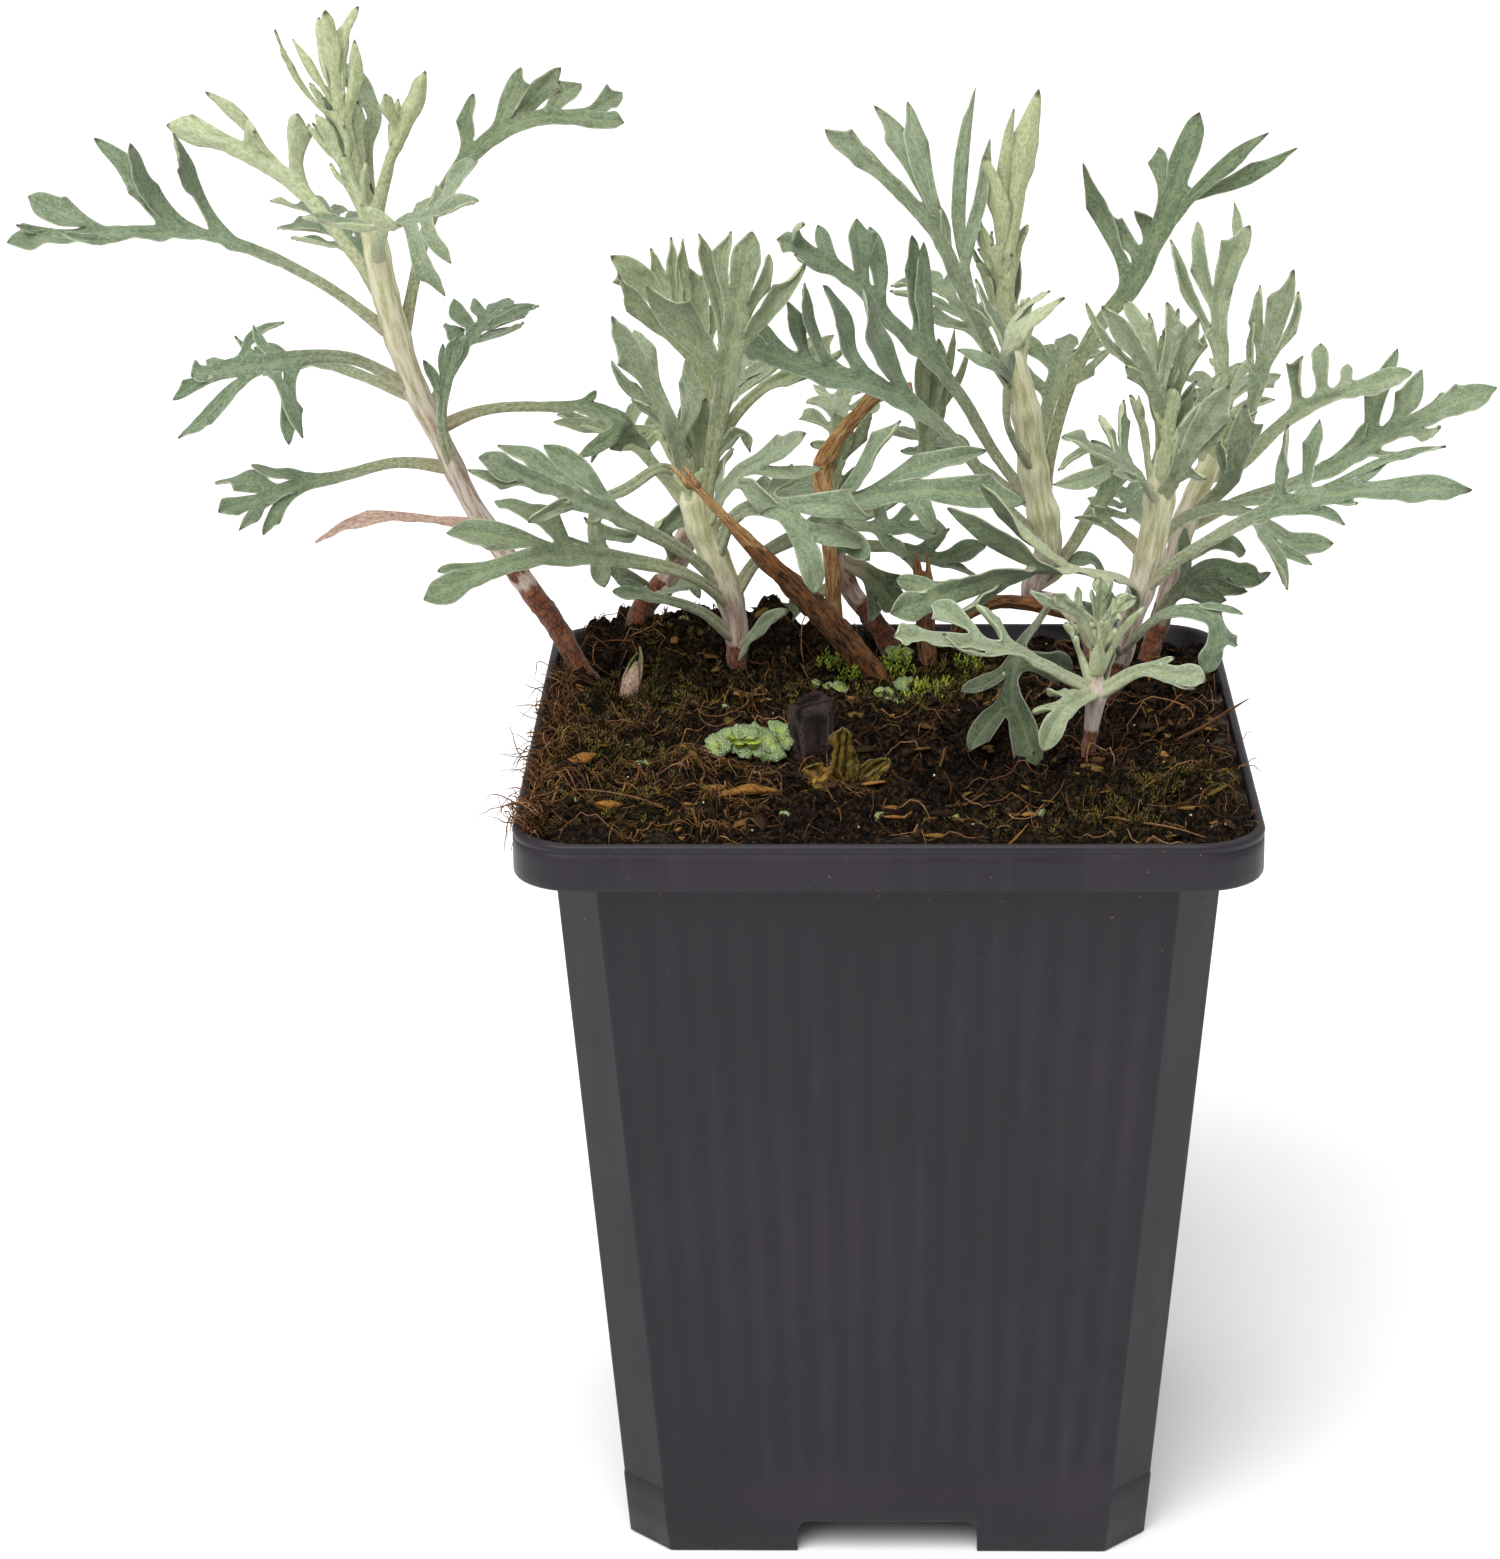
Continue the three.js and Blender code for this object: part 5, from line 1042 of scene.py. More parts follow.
def shoot_left():
    """The left shoot: it leans out over the rim."""
    shoot = Shoot("shoot_left", [
        [-36.8, 104.5, 27, 1.3], [-38.3, 107, 28.5, 1.4], [-41.5, 113, 30, 1.5], [-45.5, 119, 31, 1.6],
        [-50, 126, 31, 1.6], [-53, 131.5, 30, 1.5], [-55.5, 137.5, 29, 1.5], [-58.5, 144, 28, 1.7],
        [-60.5, 150.5, 27.5, 1.8], [-62, 157, 27, 1.9], [-63, 163.5, 27, 1.8], [-64, 169.5, 27, 1.3],
        [-65, 173, 27, 0.9],
    ], 111, 48)
    shoot.leaf(150.5, [[-68.5, 157, 26], [-76, 161, 24], [-84, 163.5, 22], [-95.5, 164, 18],
        [-108.5, 163, 14]],
        UP, [[0.5, -88.5, 177, -2], [0.62, -97, 176, 4], [0.57, -94, 175.5, -4], [0.8, -105.5, 169, 4],
            [0.74, -102, 164, -5], [0.9, -107.5, 165, -3]], 1.7)
    shoot.leaf(155.5, [[-66.5, 162.5, 29], [-72, 169.5, 33], [-79.5, 174.5, 36], [-88, 177.5, 38]],
        BACK, [[0.52, -72, 178.5, -3], [0.62, -82.5, 182, 2], [0.8, -85.5, 178.5, 3],
            [0.7, -76.5, 177, -5]], 1.8)
    shoot.leaf(166.5, [[-65.5, 174.5, 25], [-67, 181, 23], [-68, 191.5, 21]],
        BACK, [[0.45, -74, 189.5, -2], [0.55, -72, 188, 2], [0.62, -69, 191, 3], [0.6, -64, 192, 1],
            [0.5, -64.5, 188, -3]], 1.5)
    shoot.leaf(165.5, [[-63.5, 174.5, 31], [-62.5, 179, 33], [-66, 185, 35]],
        CAM, [[0.6, -67.5, 185, 2], [0.55, -65, 186.5, 3]], 1.5)
    shoot.leaf(164.5, [[-61, 172, 24], [-59, 176.5, 22], [-56, 184, 20]],
        BACK, [[0.6, -61, 181.5, -2], [0.5, -59.5, 180.5, 3]], 1.6)
    shoot.leaf(149.5, [[-58.5, 157, 29], [-56.5, 164.5, 30], [-53.5, 170.5, 32], [-48.5, 175.5, 34],
        [-43, 178, 36], [-32, 177.5, 38]],
        UP, [[0.56, -50.5, 181, 3], [0.66, -44.5, 184.5, 5], [0.72, -39.5, 184.5, 7],
            [0.8, -37, 182.5, 6], [0.9, -32, 181.5, 5]], 1.7)
    shoot.leaf(160.5, [[-62.5, 163, 19], [-60.5, 165, 14], [-56, 166, 9], [-50, 168, 5]],
        UP, [[0.45, -72, 166, 2], [0.5, -64.5, 167.5, -8], [0.55, -54.5, 156, -6],
            [0.7, -53.5, 160, -5], [0.62, -54.5, 169.5, 6], [0.74, -51, 173.5, 8]], 1.8)
    shoot.leaf(144, [[-65.5, 148, 24], [-70.5, 148.5, 19], [-74.5, 148, 15], [-80.5, 147, 12],
        [-86.5, 146, 10]],
        UP, [[0.68, -78.5, 152.5, 5], [0.72, -74.5, 153, 7], [0.66, -73, 138, -6],
            [0.7, -88.5, 138, -8], [0.76, -89, 143, -5], [0.62, -74.5, 137, -3],
            [0.88, -84.5, 148, 3]], 1.8)
    shoot.leaf(143, [[-64, 145.5, 33], [-69, 147.5, 37], [-74, 148, 41], [-78.5, 149.5, 44]],
        UP, [[0.7, -81, 151, 3], [0.8, -77.5, 146.5, -4]], 1.5)
    shoot.leaf(133, [[-55.5, 139, 26], [-55, 144, 25], [-53, 151, 24]],
        CAM, [[0.62, -57.5, 148, 0], [0.74, -55, 150, 1], [0.82, -52, 150.5, 1]], 1.2)
    shoot.leaf(139, [[-51, 141.5, 31], [-43, 142, 34], [-35.5, 141.5, 36], [-32, 139.5, 37],
        [-34.5, 136.5, 37]],
        UP, [[0.66, -36, 144, 3], [0.82, -38.5, 135.5, -2], [0.88, -37, 135, 1],
            [0.9, -29.5, 136.5, 2]], 1.5)
    shoot.leaf(134, [[-61, 135, 27], [-68.5, 133, 23], [-73.5, 132, 20], [-78.5, 130, 17],
        [-84, 128.5, 14]],
        UP, [[0.62, -79.5, 134.5, 4], [0.76, -83.5, 131.5, 5], [0.66, -78.5, 125.5, -5],
            [0.84, -81.5, 126, -4]], 1.7)
    shoot.leaf(126.5, [[-57.5, 127.5, 28], [-63.5, 127.5, 25], [-68.5, 126.5, 23], [-72, 124.5, 22]],
        UP, [], 1.0, dry=1)
    shoot.usual_leaf(141, 0.3, 34, 0.5, 11)
    shoot.usual_leaf(152, -0.5, 36, 0.6, 12)
    shoot.tuft(8, 0.18, 13, 10)
    return shoot


def shoot_front_left():
    """The front left shoot: broad pale leaves on both sides."""
    shoot = Shoot("shoot_front_left", [
        [-18.5, 103, 29, 1.1], [-18.5, 105, 29, 1.1], [-19, 109, 29, 1.3], [-19, 113.5, 29, 1.7],
        [-20.5, 119.5, 28.5, 2.1], [-23.5, 127.5, 28, 2.2], [-24.5, 134, 28, 1.8],
        [-25.5, 137.5, 28, 1.2],
    ], 102, 13)
    shoot.leaf(118, [[-24.5, 122.5, 24], [-28.5, 125, 20], [-34.5, 128, 15], [-41, 131, 10],
        [-51, 135.5, 4]],
        UP, [[0.55, -42.5, 137.5, 5], [0.68, -48.5, 137.5, 5], [0.66, -45, 127, -5],
            [0.84, -52.5, 133.5, -3]], 2.0)
    shoot.leaf(116, [[-24.5, 120, 22], [-32, 122, 17], [-40, 122.5, 12], [-46, 122, 8],
        [-58.5, 117, 3]],
        UP, [[0.52, -42, 125.5, 3], [0.56, -49, 131, 7], [0.66, -55.5, 126.5, 3],
            [0.86, -56.5, 120.5, 3]], 2.0)
    shoot.leaf(111.5, [[-23.5, 115.5, 24], [-28.5, 117, 20], [-34.5, 118, 17]],
        UP, [[0.8, -34, 119.5, 3]], 1.1)
    shoot.leaf(130, [[-26, 135.5, 25], [-27, 140, 23], [-30.5, 146.5, 21], [-34, 153.5, 19]],
        CAM, [[0.35, -25, 148, 1], [0.42, -31.5, 142.5, -2], [0.55, -34, 147.5, -2],
            [0.62, -31.5, 152, 3]], 2.0)
    shoot.leaf(126, [[-22, 134, 26], [-21, 140, 24], [-19.5, 147, 22], [-18.5, 154, 21],
        [-16.5, 164, 20]],
        CAM, [[0.56, -29.5, 156.5, -3], [0.67, -23, 164, 1], [0.78, -19, 164, 3],
            [0.64, -10, 159.5, -3], [0.76, -14.5, 161, 1]], 2.4)
    shoot.leaf(129, [[-23, 137.5, 27], [-22.5, 143, 26]], CAM, [[0.5, -25.5, 142, 0]], 1.5)
    shoot.leaf(126, [[-19, 132.5, 23], [-15.5, 135, 20], [-12.5, 136.5, 17], [-10, 138.5, 14]],
        UP, [[0.6, -8, 134, -2], [0.45, -13.5, 129, -6], [0.3, -19, 136.5, 4]], 1.8)
    shoot.leaf(122, [[-19, 128, 23], [-15, 129, 19], [-12, 127.5, 16], [-9.5, 122, 14],
        [-9, 117.5, 13]],
        UP, [[0.55, -2, 127.5, -2], [0.62, -2.5, 124, -1], [0.5, -11, 132.5, 5]], 2.1)
    shoot.leaf(116.5, [[-16, 122.5, 27], [-11.5, 125, 23], [-4.5, 129, 20], [3, 131, 18],
        [17.5, 129.5, 16]],
        UP, [[0.5, 1.5, 140, 2], [0.58, 12.5, 137, 3], [0.46, -2, 122, -4], [0.7, 6, 125.5, -3]], 2.2)
    shoot.leaf(109, [[-17, 112, 26], [-14.5, 114.5, 24], [-12.5, 115.5, 22]], UP, [], 1.0)
    shoot.tuft(9, 0.3, 8, 9)
    return shoot


def shoot_back_left():
    """The back left shoot: it stands on the mound behind the front left one."""
    shoot = Shoot("shoot_back_left", [
        [-31.5, 112.5, 37.5, 1.7], [-30.5, 116, 39, 1.7], [-27.5, 119.5, 40, 1.7],
        [-25.5, 124, 40, 1.6], [-23.5, 130, 40, 1.5], [-22, 136.5, 40, 1.4], [-21, 141.5, 40, 1.2],
    ], 107)
    shoot.leaf(139, [[-23, 146.5, 40], [-26.5, 153, 40], [-30.5, 158.5, 40], [-34, 161, 40]],
        CAM, [[0.45, -33, 158.5, -2], [0.55, -29, 162, 2], [0.5, -26.5, 163, 3],
            [0.4, -25, 163, 2]], 2.0)
    shoot.leaf(139, [[-22.5, 147, 42], [-23, 155.5, 43], [-25, 160, 44]],
        CAM, [[0.5, -20.5, 156.5, 3], [0.6, -27, 160, 2]], 1.7)
    shoot.leaf(135.5, [[-17.5, 142.5, 43], [-14, 145, 44], [-10.5, 146.5, 44], [-6.5, 151, 44]],
        UP, [[0.6, -4.5, 149, -3], [0.7, -9, 150.5, 3]], 1.6)
    shoot.leaf(130, [[-28, 134.5, 36], [-32, 131.5, 34], [-36, 129.5, 33], [-36.5, 124, 32],
        [-35.5, 118.5, 31]],
        UP, [[0.66, -38, 127.5, -3], [0.74, -31.5, 125.5, 4], [0.8, -30, 119, 3]], 1.5)
    shoot.leaf(122, [[-27, 124, 36], [-28, 126, 35], [-24, 129, 36]], CAM, [[0.6, -29, 126, 0]], 1.9)
    shoot.leaf(118, [[-27.5, 118, 36], [-24.5, 119, 34], [-23.5, 117, 33]], UP, [], 1.1)
    shoot.leaf(134, [[-19.5, 137.5, 37], [-17.5, 139, 36], [-17, 136, 35]], UP, [], 1.5)
    shoot.leaf(134, [[-27.5, 139, 42], [-30.5, 137.5, 42], [-34.5, 136.5, 42]],
        UP, [[0.6, -32, 139.5, 2]], 1.4)
    shoot.usual_leaf(128, -0.6, 34, 0.5, 21)
    shoot.usual_leaf(133, 0.2, 36, 0.55, 22)
    shoot.usual_leaf(124, 0.9, 30, 0.4, 23)
    shoot.tuft(4, 0.3, 6)
    return shoot


def shoot_centre_back():
    """The low shoot in the middle at the back."""
    shoot = Shoot("shoot_centre_back", [
        [1.2, 108, 37.5, 1.5], [0, 111.5, 38.5, 1.5], [-1.5, 114, 39, 1.5], [-4.5, 118, 40, 1.4],
        [-6.5, 123.5, 41, 1.3], [-7.5, 128.5, 41, 1.2], [-7, 132.5, 41, 1.0],
    ], 106)
    shoot.leaf(127, [[-1, 128.5, 41], [4, 133.5, 42], [5.5, 140, 43], [6.5, 150.5, 44]],
        CAM, [[0.55, 8.5, 152, 2], [0.62, 4.5, 149, -2], [0.7, 10, 148.5, 2]], 1.8)
    shoot.leaf(131, [[-6, 135, 42], [-5, 137.5, 42], [-6.5, 141, 42]],
        CAM, [[0.5, -2, 141, 1], [0.4, -9.5, 137, -1]], 1.6)
    shoot.leaf(128.5, [[-4.5, 127, 37], [-1, 126, 34], [3.5, 126, 32], [7.5, 126, 31]],
        UP, [[0.5, -2, 130, 3], [0.6, 5.5, 129, 3], [0.55, 2.5, 122, -4]], 1.9, old=1.2)
    shoot.leaf(122, [[-2.5, 120.5, 38], [0, 117.5, 35], [2, 115, 32]],
        CAM, [[0.5, -2, 113.5, -2], [0.6, 3, 118.5, 2]], 2.4, old=1.8)
    shoot.leaf(119, [[-8, 118, 42], [-11, 116, 41], [-14.5, 114, 40]],
        UP, [[0.6, -12, 118, 2]], 1.6, old=1.6)
    shoot.leaf(124, [[-3.5, 124, 43], [1.5, 123.5, 44], [6.5, 122, 45], [12.5, 124, 46]],
        UP, [[0.5, 5, 118, -2], [0.6, 8, 126, 2], [0.7, 12, 119.5, -2]], 1.7, old=1.5)
    shoot.usual_leaf(130, 0.1, 30, 0.6, 31)
    shoot.tuft(4, 0.35, 6)
    return shoot


def shoot_centre():
    """The tall centre shoot: it rises from a woody runner that arches over the soil."""
    shoot = Shoot("shoot_centre", [
        [26, 108, 36.5, 1.3], [25.8, 111.5, 38.5, 1.3], [24, 114.5, 40, 1.3], [21, 116.5, 40.5, 1.3],
        [18.3, 117.2, 41, 1.4], [18.8, 120, 41, 1.7], [20.2, 123, 40, 2.0], [19.8, 127, 39.5, 2.2],
        [18.5, 132.5, 39, 2.2], [17.5, 140, 38.5, 2.1], [16, 146.5, 38, 1.9], [15, 151, 38, 1.5],
        [14.5, 155.5, 38, 1.0],
    ], 103.5, 12)
    shoot.leaf(128, [[14, 135, 39], [9, 143.5, 38], [5.5, 147.5, 37], [0.5, 152.5, 36], [-4.5, 158, 35],
        [-13.5, 163, 34]],
        UP, [[0.5, 5, 162.5, 4], [0.56, 3, 163.5, 3], [0.7, -1.5, 165, 5], [0.76, -4, 165.5, 3],
            [0.88, -8.5, 164.5, 4], [0.9, -10.5, 165, -4], [0.86, -11.5, 161, -4]], 1.8)
    shoot.leaf(124, [[14, 130, 35], [9, 137, 32], [3.5, 141.5, 30], [-0.5, 144, 29], [-7, 145.5, 28],
        [-18, 150, 27]],
        UP, [[0.58, -4, 157.5, 0], [0.7, -8, 157.5, 1], [0.76, -11, 158, -1], [0.84, -16.5, 153, 2],
            [0.78, -12, 155, -2]], 2.2)
    shoot.leaf(140, [[13, 149, 35], [11, 153.5, 33], [7.5, 160.5, 31], [6, 164, 30], [0, 170.5, 28],
        [-7.5, 176.5, 26]],
        CAM, [[0.42, 11, 181.5, 2], [0.46, 12, 175, 4], [0.6, 2.5, 180, 3], [0.66, -1.5, 179.5, 3],
            [0.84, -4, 175, 2], [0.55, 6.5, 167, -3]], 1.6)
    shoot.leaf(147.5, [[15, 159, 36], [16, 167.5, 35], [18.5, 181.5, 34]],
        BACK, [[0.45, 15.5, 178.5, -2], [0.4, 12, 173.5, -2], [0.55, 17, 178.5, 3],
            [0.3, 11.5, 165, -3]], 1.7)
    shoot.leaf(133.5, [[15, 140, 30], [15, 146.5, 24], [14.5, 149.5, 20], [17.5, 153, 17],
        [22, 155.5, 15]],
        UP, [[0.55, 9, 149.5, -2], [0.5, 10.5, 155, 3], [0.6, 11, 158, 5], [0.68, 19.5, 157, 5],
            [0.5, 13, 149, -5]], 1.9)
    shoot.leaf(126.5, [[20, 132.5, 42], [22, 142.5, 45], [24.5, 149, 47], [27.5, 154, 48],
        [29.5, 156, 49], [32.5, 161.5, 50], [38, 178.5, 52]],
        UP, [[0.6, 24, 171.5, 2], [0.64, 27, 166, 4], [0.8, 33, 174.5, 3], [0.74, 47, 176, -3],
            [0.8, 50, 174, -2], [0.7, 30.5, 166, -3]], 2.0)
    shoot.leaf(120, [[22.5, 122.5, 43], [25, 127, 45], [28, 132.5, 47], [25.5, 137.5, 49]],
        UP, [[0.7, 30.5, 133.5, 2]], 1.9)
    shoot.leaf(118.5, [[26, 122, 44], [27.5, 118.5, 45]], UP, [], 1.0)
    shoot.usual_leaf(133, 0.2, 36, 0.6, 41)
    shoot.usual_leaf(141, -0.7, 32, 0.8, 42)
    shoot.usual_leaf(128, -0.9, 30, 0.5, 43)
    shoot.tuft(9, 0.3, 11, 9)
    return shoot


def shoot_right():
    """The main right shoot: the youngest leaves stand in a tuft at its top."""
    shoot = Shoot("shoot_right", [
        [28.5, 100.5, 21, 1.6], [28.5, 104, 21, 1.6], [29.5, 109, 21, 1.7], [30.5, 113.5, 20.5, 1.8],
        [32, 118, 20, 2.0], [33, 123, 20, 2.1], [34, 129, 20, 2.2], [34.5, 135.5, 20, 2.0],
        [35, 140, 20, 1.4],
    ], 102)
    shoot.leaf(136, [[34, 141.5, 17], [32, 147.5, 14], [26.5, 154.5, 11]],
        CAM, [[0.4, 29.5, 147, -2], [0.55, 24.5, 155, -2], [0.5, 29.5, 155, 2],
            [0.45, 34.5, 155, 1]], 2.0)
    shoot.leaf(136, [[35.5, 142.5, 18], [36.5, 148.5, 16], [38.5, 153, 14]],
        CAM, [[0.5, 36, 154.5, -1], [0.5, 40, 152, 1]], 1.8)
    shoot.leaf(129.5, [[31.5, 132.5, 14], [28.5, 134.5, 10], [25.5, 136, 7], [22, 138, 5]],
        UP, [[0.4, 28, 133.5, -4], [0.45, 27, 141, 4], [0.4, 30, 142.5, 3], [0.62, 21, 131.5, -2],
            [0.7, 21.5, 133.5, -1]], 2.1)
    shoot.leaf(129.5, [[36.5, 133.5, 14], [38.5, 137.5, 11], [42.5, 144.5, 8]],
        CAM, [[0.5, 42.5, 140.5, -1], [0.4, 40, 132.5, -3], [0.45, 39, 142.5, 2]], 2.0)
    shoot.leaf(117.5, [[36, 121.5, 17], [40.5, 124.5, 13], [47.5, 128, 10], [51.5, 129, 8],
        [57, 130.5, 7], [73, 131, 4]],
        UP, [[0.5, 50, 139.5, 1], [0.53, 53.5, 140, 4], [0.6, 69.5, 136.5, 3], [0.62, 64, 135.5, 5],
            [0.58, 57.5, 126.5, -3], [0.66, 59, 129, -2]], 2.0)
    shoot.leaf(122, [[36.5, 127, 26], [41.5, 128.5, 29], [46.5, 127, 31], [50.5, 124, 33],
        [56, 124, 34]],
        UP, [[0.6, 51, 118.5, -3], [0.66, 53.5, 121.5, -1], [0.5, 49, 129.5, 3]], 2.0)
    shoot.leaf(113, [[31.5, 118, 15], [28.5, 120, 11], [24.5, 120.5, 7], [19.5, 120.5, 4],
        [14.5, 120, 2], [0.5, 115, -2]],
        UP, [[0.36, 27, 118, -5], [0.43, 13, 132.5, 2], [0.56, 8.5, 129.5, 0], [0.66, 9.5, 114.5, -3],
            [0.86, 1.5, 119.5, 2]], 2.8, old=0.6)
    shoot.leaf(110, [[32, 112.5, 16], [35, 115, 13], [39, 115, 11], [41.5, 113.5, 10], [40.5, 107, 9]],
        UP, [[0.6, 45, 115, 2], [0.64, 43, 115.5, 3], [0.72, 44.5, 110.5, 0]], 1.6)
    shoot.leaf(122, [[30, 125, 20], [27.5, 127, 20], [25.5, 129, 20]],
        UP, [[0.6, 23.5, 127.5, -1]], 1.2)
    shoot.leaf(109, [[28, 111.5, 14], [26.5, 114.5, 10], [24.5, 116.5, 7]],
        CAM, [[0.5, 22, 117.5, 0], [0.5, 28, 118, 2]], 1.5)
    shoot.tuft(12, 0.3, 16, 11)
    return shoot


def shoot_front_right():
    """The small front right shoot."""
    shoot = Shoot("shoot_front_right", [
        [25.5, 90, -9, 0.8], [25.5, 94, -9, 0.8], [26, 99, -9, 0.95], [26.5, 103.5, -9, 1.4],
        [26.5, 108, -9, 1.4], [27, 112, -9, 1.0],
    ], 103)
    shoot.leaf(104.5, [[22, 107, -12], [18.5, 109, -14], [12, 110.5, -17], [5.5, 111.5, -20],
        [1, 112, -22]],
        UP, [[0.48, 11, 116, 4], [0.56, 7.5, 112.5, -4], [0.62, 5.5, 116, 4], [0.88, 2, 113, 2]], 1.9)
    shoot.leaf(104.5, [[24.5, 103.5, -14], [22.5, 102, -18], [21, 99.5, -20], [20, 96.5, -21]],
        UP, [[0.45, 18.5, 102, -2], [0.4, 20.5, 104.5, 3]], 1.9)
    shoot.leaf(104, [[29.5, 106, -11], [32, 107.5, -12], [35.5, 107, -13], [40.5, 106, -14]],
        UP, [[0.6, 36.5, 109, 2], [0.7, 39, 105, -2]], 1.7)
    shoot.leaf(111, [[25, 114.5, -10], [22.5, 116.5, -11], [21, 117.5, -12]],
        CAM, [[0.6, 18, 118, -1], [0.6, 24, 118.5, 1]], 1.4)
    shoot.leaf(111, [[28.5, 115, -10], [30, 116.5, -10], [31.5, 117, -10]],
        CAM, [[0.5, 29, 114, -1]], 1.3)
    shoot.leaf(110, [[22, 116.5, -4], [20.5, 116.5, 0], [19, 113.5, 2], [17, 110, 2], [16, 105.5, 0],
        [19.5, 94.5, -8]],
        (-0.4, -1, 0.5), [[0.62, 9.5, 105, -2], [0.7, 10.5, 97, -5],
            [0.58, 23.5, 107.5, 2]], 3.4, old=1.8)
    shoot.tuft(7, 0.4, 8, 8)
    return shoot


def shoot_back_right():
    """The back right shoot: it reaches furthest to the right."""
    shoot = Shoot("shoot_back_right", [
        [33, 108.5, 35, 1.5], [34.5, 114, 37.5, 1.5], [36, 120, 38, 1.6], [37.5, 127.5, 38, 1.7],
        [39.5, 132.5, 38, 1.6], [41.5, 137.5, 38, 1.5], [42, 142.5, 38, 1.2],
    ], 104)
    shoot.leaf(139.5, [[41.5, 146.5, 39], [41, 151.5, 40], [41, 156.5, 41], [44.5, 164.5, 42]],
        CAM, [[0.45, 35, 162.5, 0], [0.52, 38, 165, 3], [0.6, 42.5, 167.5, 3]], 1.9)
    shoot.leaf(136, [[44, 137.5, 35], [45.5, 142.5, 33], [47, 149, 31], [50, 159, 29]],
        CAM, [[0.42, 45, 152.5, -2], [0.5, 46, 157, -2], [0.6, 50.5, 156, 2],
            [0.48, 44.5, 149.5, 1]], 1.6)
    shoot.leaf(132.5, [[44, 134, 41], [47.5, 138, 43], [51.5, 141, 44], [55, 142.5, 45], [65, 146, 46]],
        UP, [[0.52, 51.5, 148.5, 2], [0.56, 53.5, 149.5, 4], [0.66, 57, 147, 4]], 2.0)
    shoot.leaf(126, [[45, 130, 43], [50.5, 131.5, 45], [55, 133.5, 46], [61.5, 137.5, 48],
        [67.5, 140.5, 49], [75.5, 144, 50]],
        UP, [[0.48, 59.5, 140, 3], [0.62, 63, 149, 4], [0.7, 66, 146.5, 5], [0.8, 71.5, 143.5, 3],
            [0.74, 68.5, 139, -4], [0.6, 64, 135.5, -5]], 2.0)
    shoot.leaf(127, [[43, 132.5, 33], [44, 136, 31], [44.5, 142, 29]],
        CAM, [[0.45, 41.5, 137.5, -1], [0.55, 46, 141, 1]], 1.9)
    shoot.leaf(112.5, [[35, 116, 35], [38, 119, 33], [41, 121, 31], [47, 119, 29]],
        UP, [[0.5, 37, 126, 3], [0.62, 47.5, 120, 3], [0.6, 45.5, 117.5, -3],
            [0.45, 42.5, 116.5, -4]], 1.8, old=1.5)
    shoot.leaf(122, [[38, 122.5, 42], [41, 124, 44], [45, 123, 46]],
        UP, [[0.6, 43.5, 126.5, 2]], 1.8, old=1.3)
    shoot.usual_leaf(130, 0.3, 34, 0.6, 51)
    shoot.usual_leaf(120, -0.3, 28, 0.45, 52)
    shoot.tuft(9, 0.3, 9, 9)
    return shoot


# Old wood that stands in the soil: x, z, depth y and radius, as seen
LEANING_STICK = [
    [-1.3, 106.2, 31, 1.9], [-3.3, 109.1, 29.5, 1.9], [-9.6, 116.5, 24.5, 1.8],
    [-14.6, 121.4, 21, 1.4], [-19, 126.2, 18.5, 0.9], [-24.6, 132.5, 16.5, 0.5],
]
DRY_STEM = [
    [-6.5, 108, 36, 1.3], [-6.7, 119.4, 35.5, 1.3], [-7.4, 127.2, 36, 1.4],
    [-7.9, 134.4, 36.5, 1.7], [-6, 138, 36.5, 1.3], [-3.5, 140.9, 36, 1.2], [-0.7, 143.6, 36, 1.1],
    [3.2, 144.4, 36, 0.8],
]
RUNNER = [
    [30, 106, 36, 1.3], [28.5, 111, 37.5, 1.3], [25, 114.3, 38.5, 1.2], [19.5, 116, 39.5, 1.1],
    [14, 116.4, 40.5, 1.0], [9.5, 114, 41, 0.9], [8.3, 108, 41, 0.9],
]
SPLIT_STUB = [[5.3, 106, 35.5, 1.7], [5, 112, 35.5, 1.7], [4.6, 118, 35.5, 1.5], [4.4, 120.5, 35.5, 0.7]]


def spread(low, high, count):
    """Even values from low to high."""
    return [low + (high - low) * i / (count - 1) for i in range(count)]


# Half the straight part of the pot's side at its foot
BASE_HALF = BASE_WIDTH / 2 - CHAMFER


def side_shares():
    """Where a ring has its points along a side, -1 to 1: even ones, and closer ones at a notch."""
    edge, bend = NOTCH_WIDTH / 2 / BASE_HALF, NOTCH_CORNER / BASE_HALF
    even = [share for share in np.linspace(-0.985, 0.985, SIDE_POINTS) if abs(abs(share) - edge) > 0.01]
    notch = [edge + 0.002, edge, *(edge - bend * (1 - math.cos(math.radians(a))) for a in (30, 60, 90))]
    return np.array(sorted([-1, 1, *even, *notch, *(-share for share in notch)]))


# A ring's points along a side and round a corner, and how deep the flutes are at those of the side
SIDE_SHARES = side_shares()
CORNER_STEPS = np.array([0.04, 0.15, 0.27, 0.38, 0.5, 0.62, 0.73, 0.85, 0.96])
FLUTES = 0.5 - 0.5 * np.cos(2 * np.pi * SIDE_SHARES * BASE_HALF / FLUTE_PITCH)


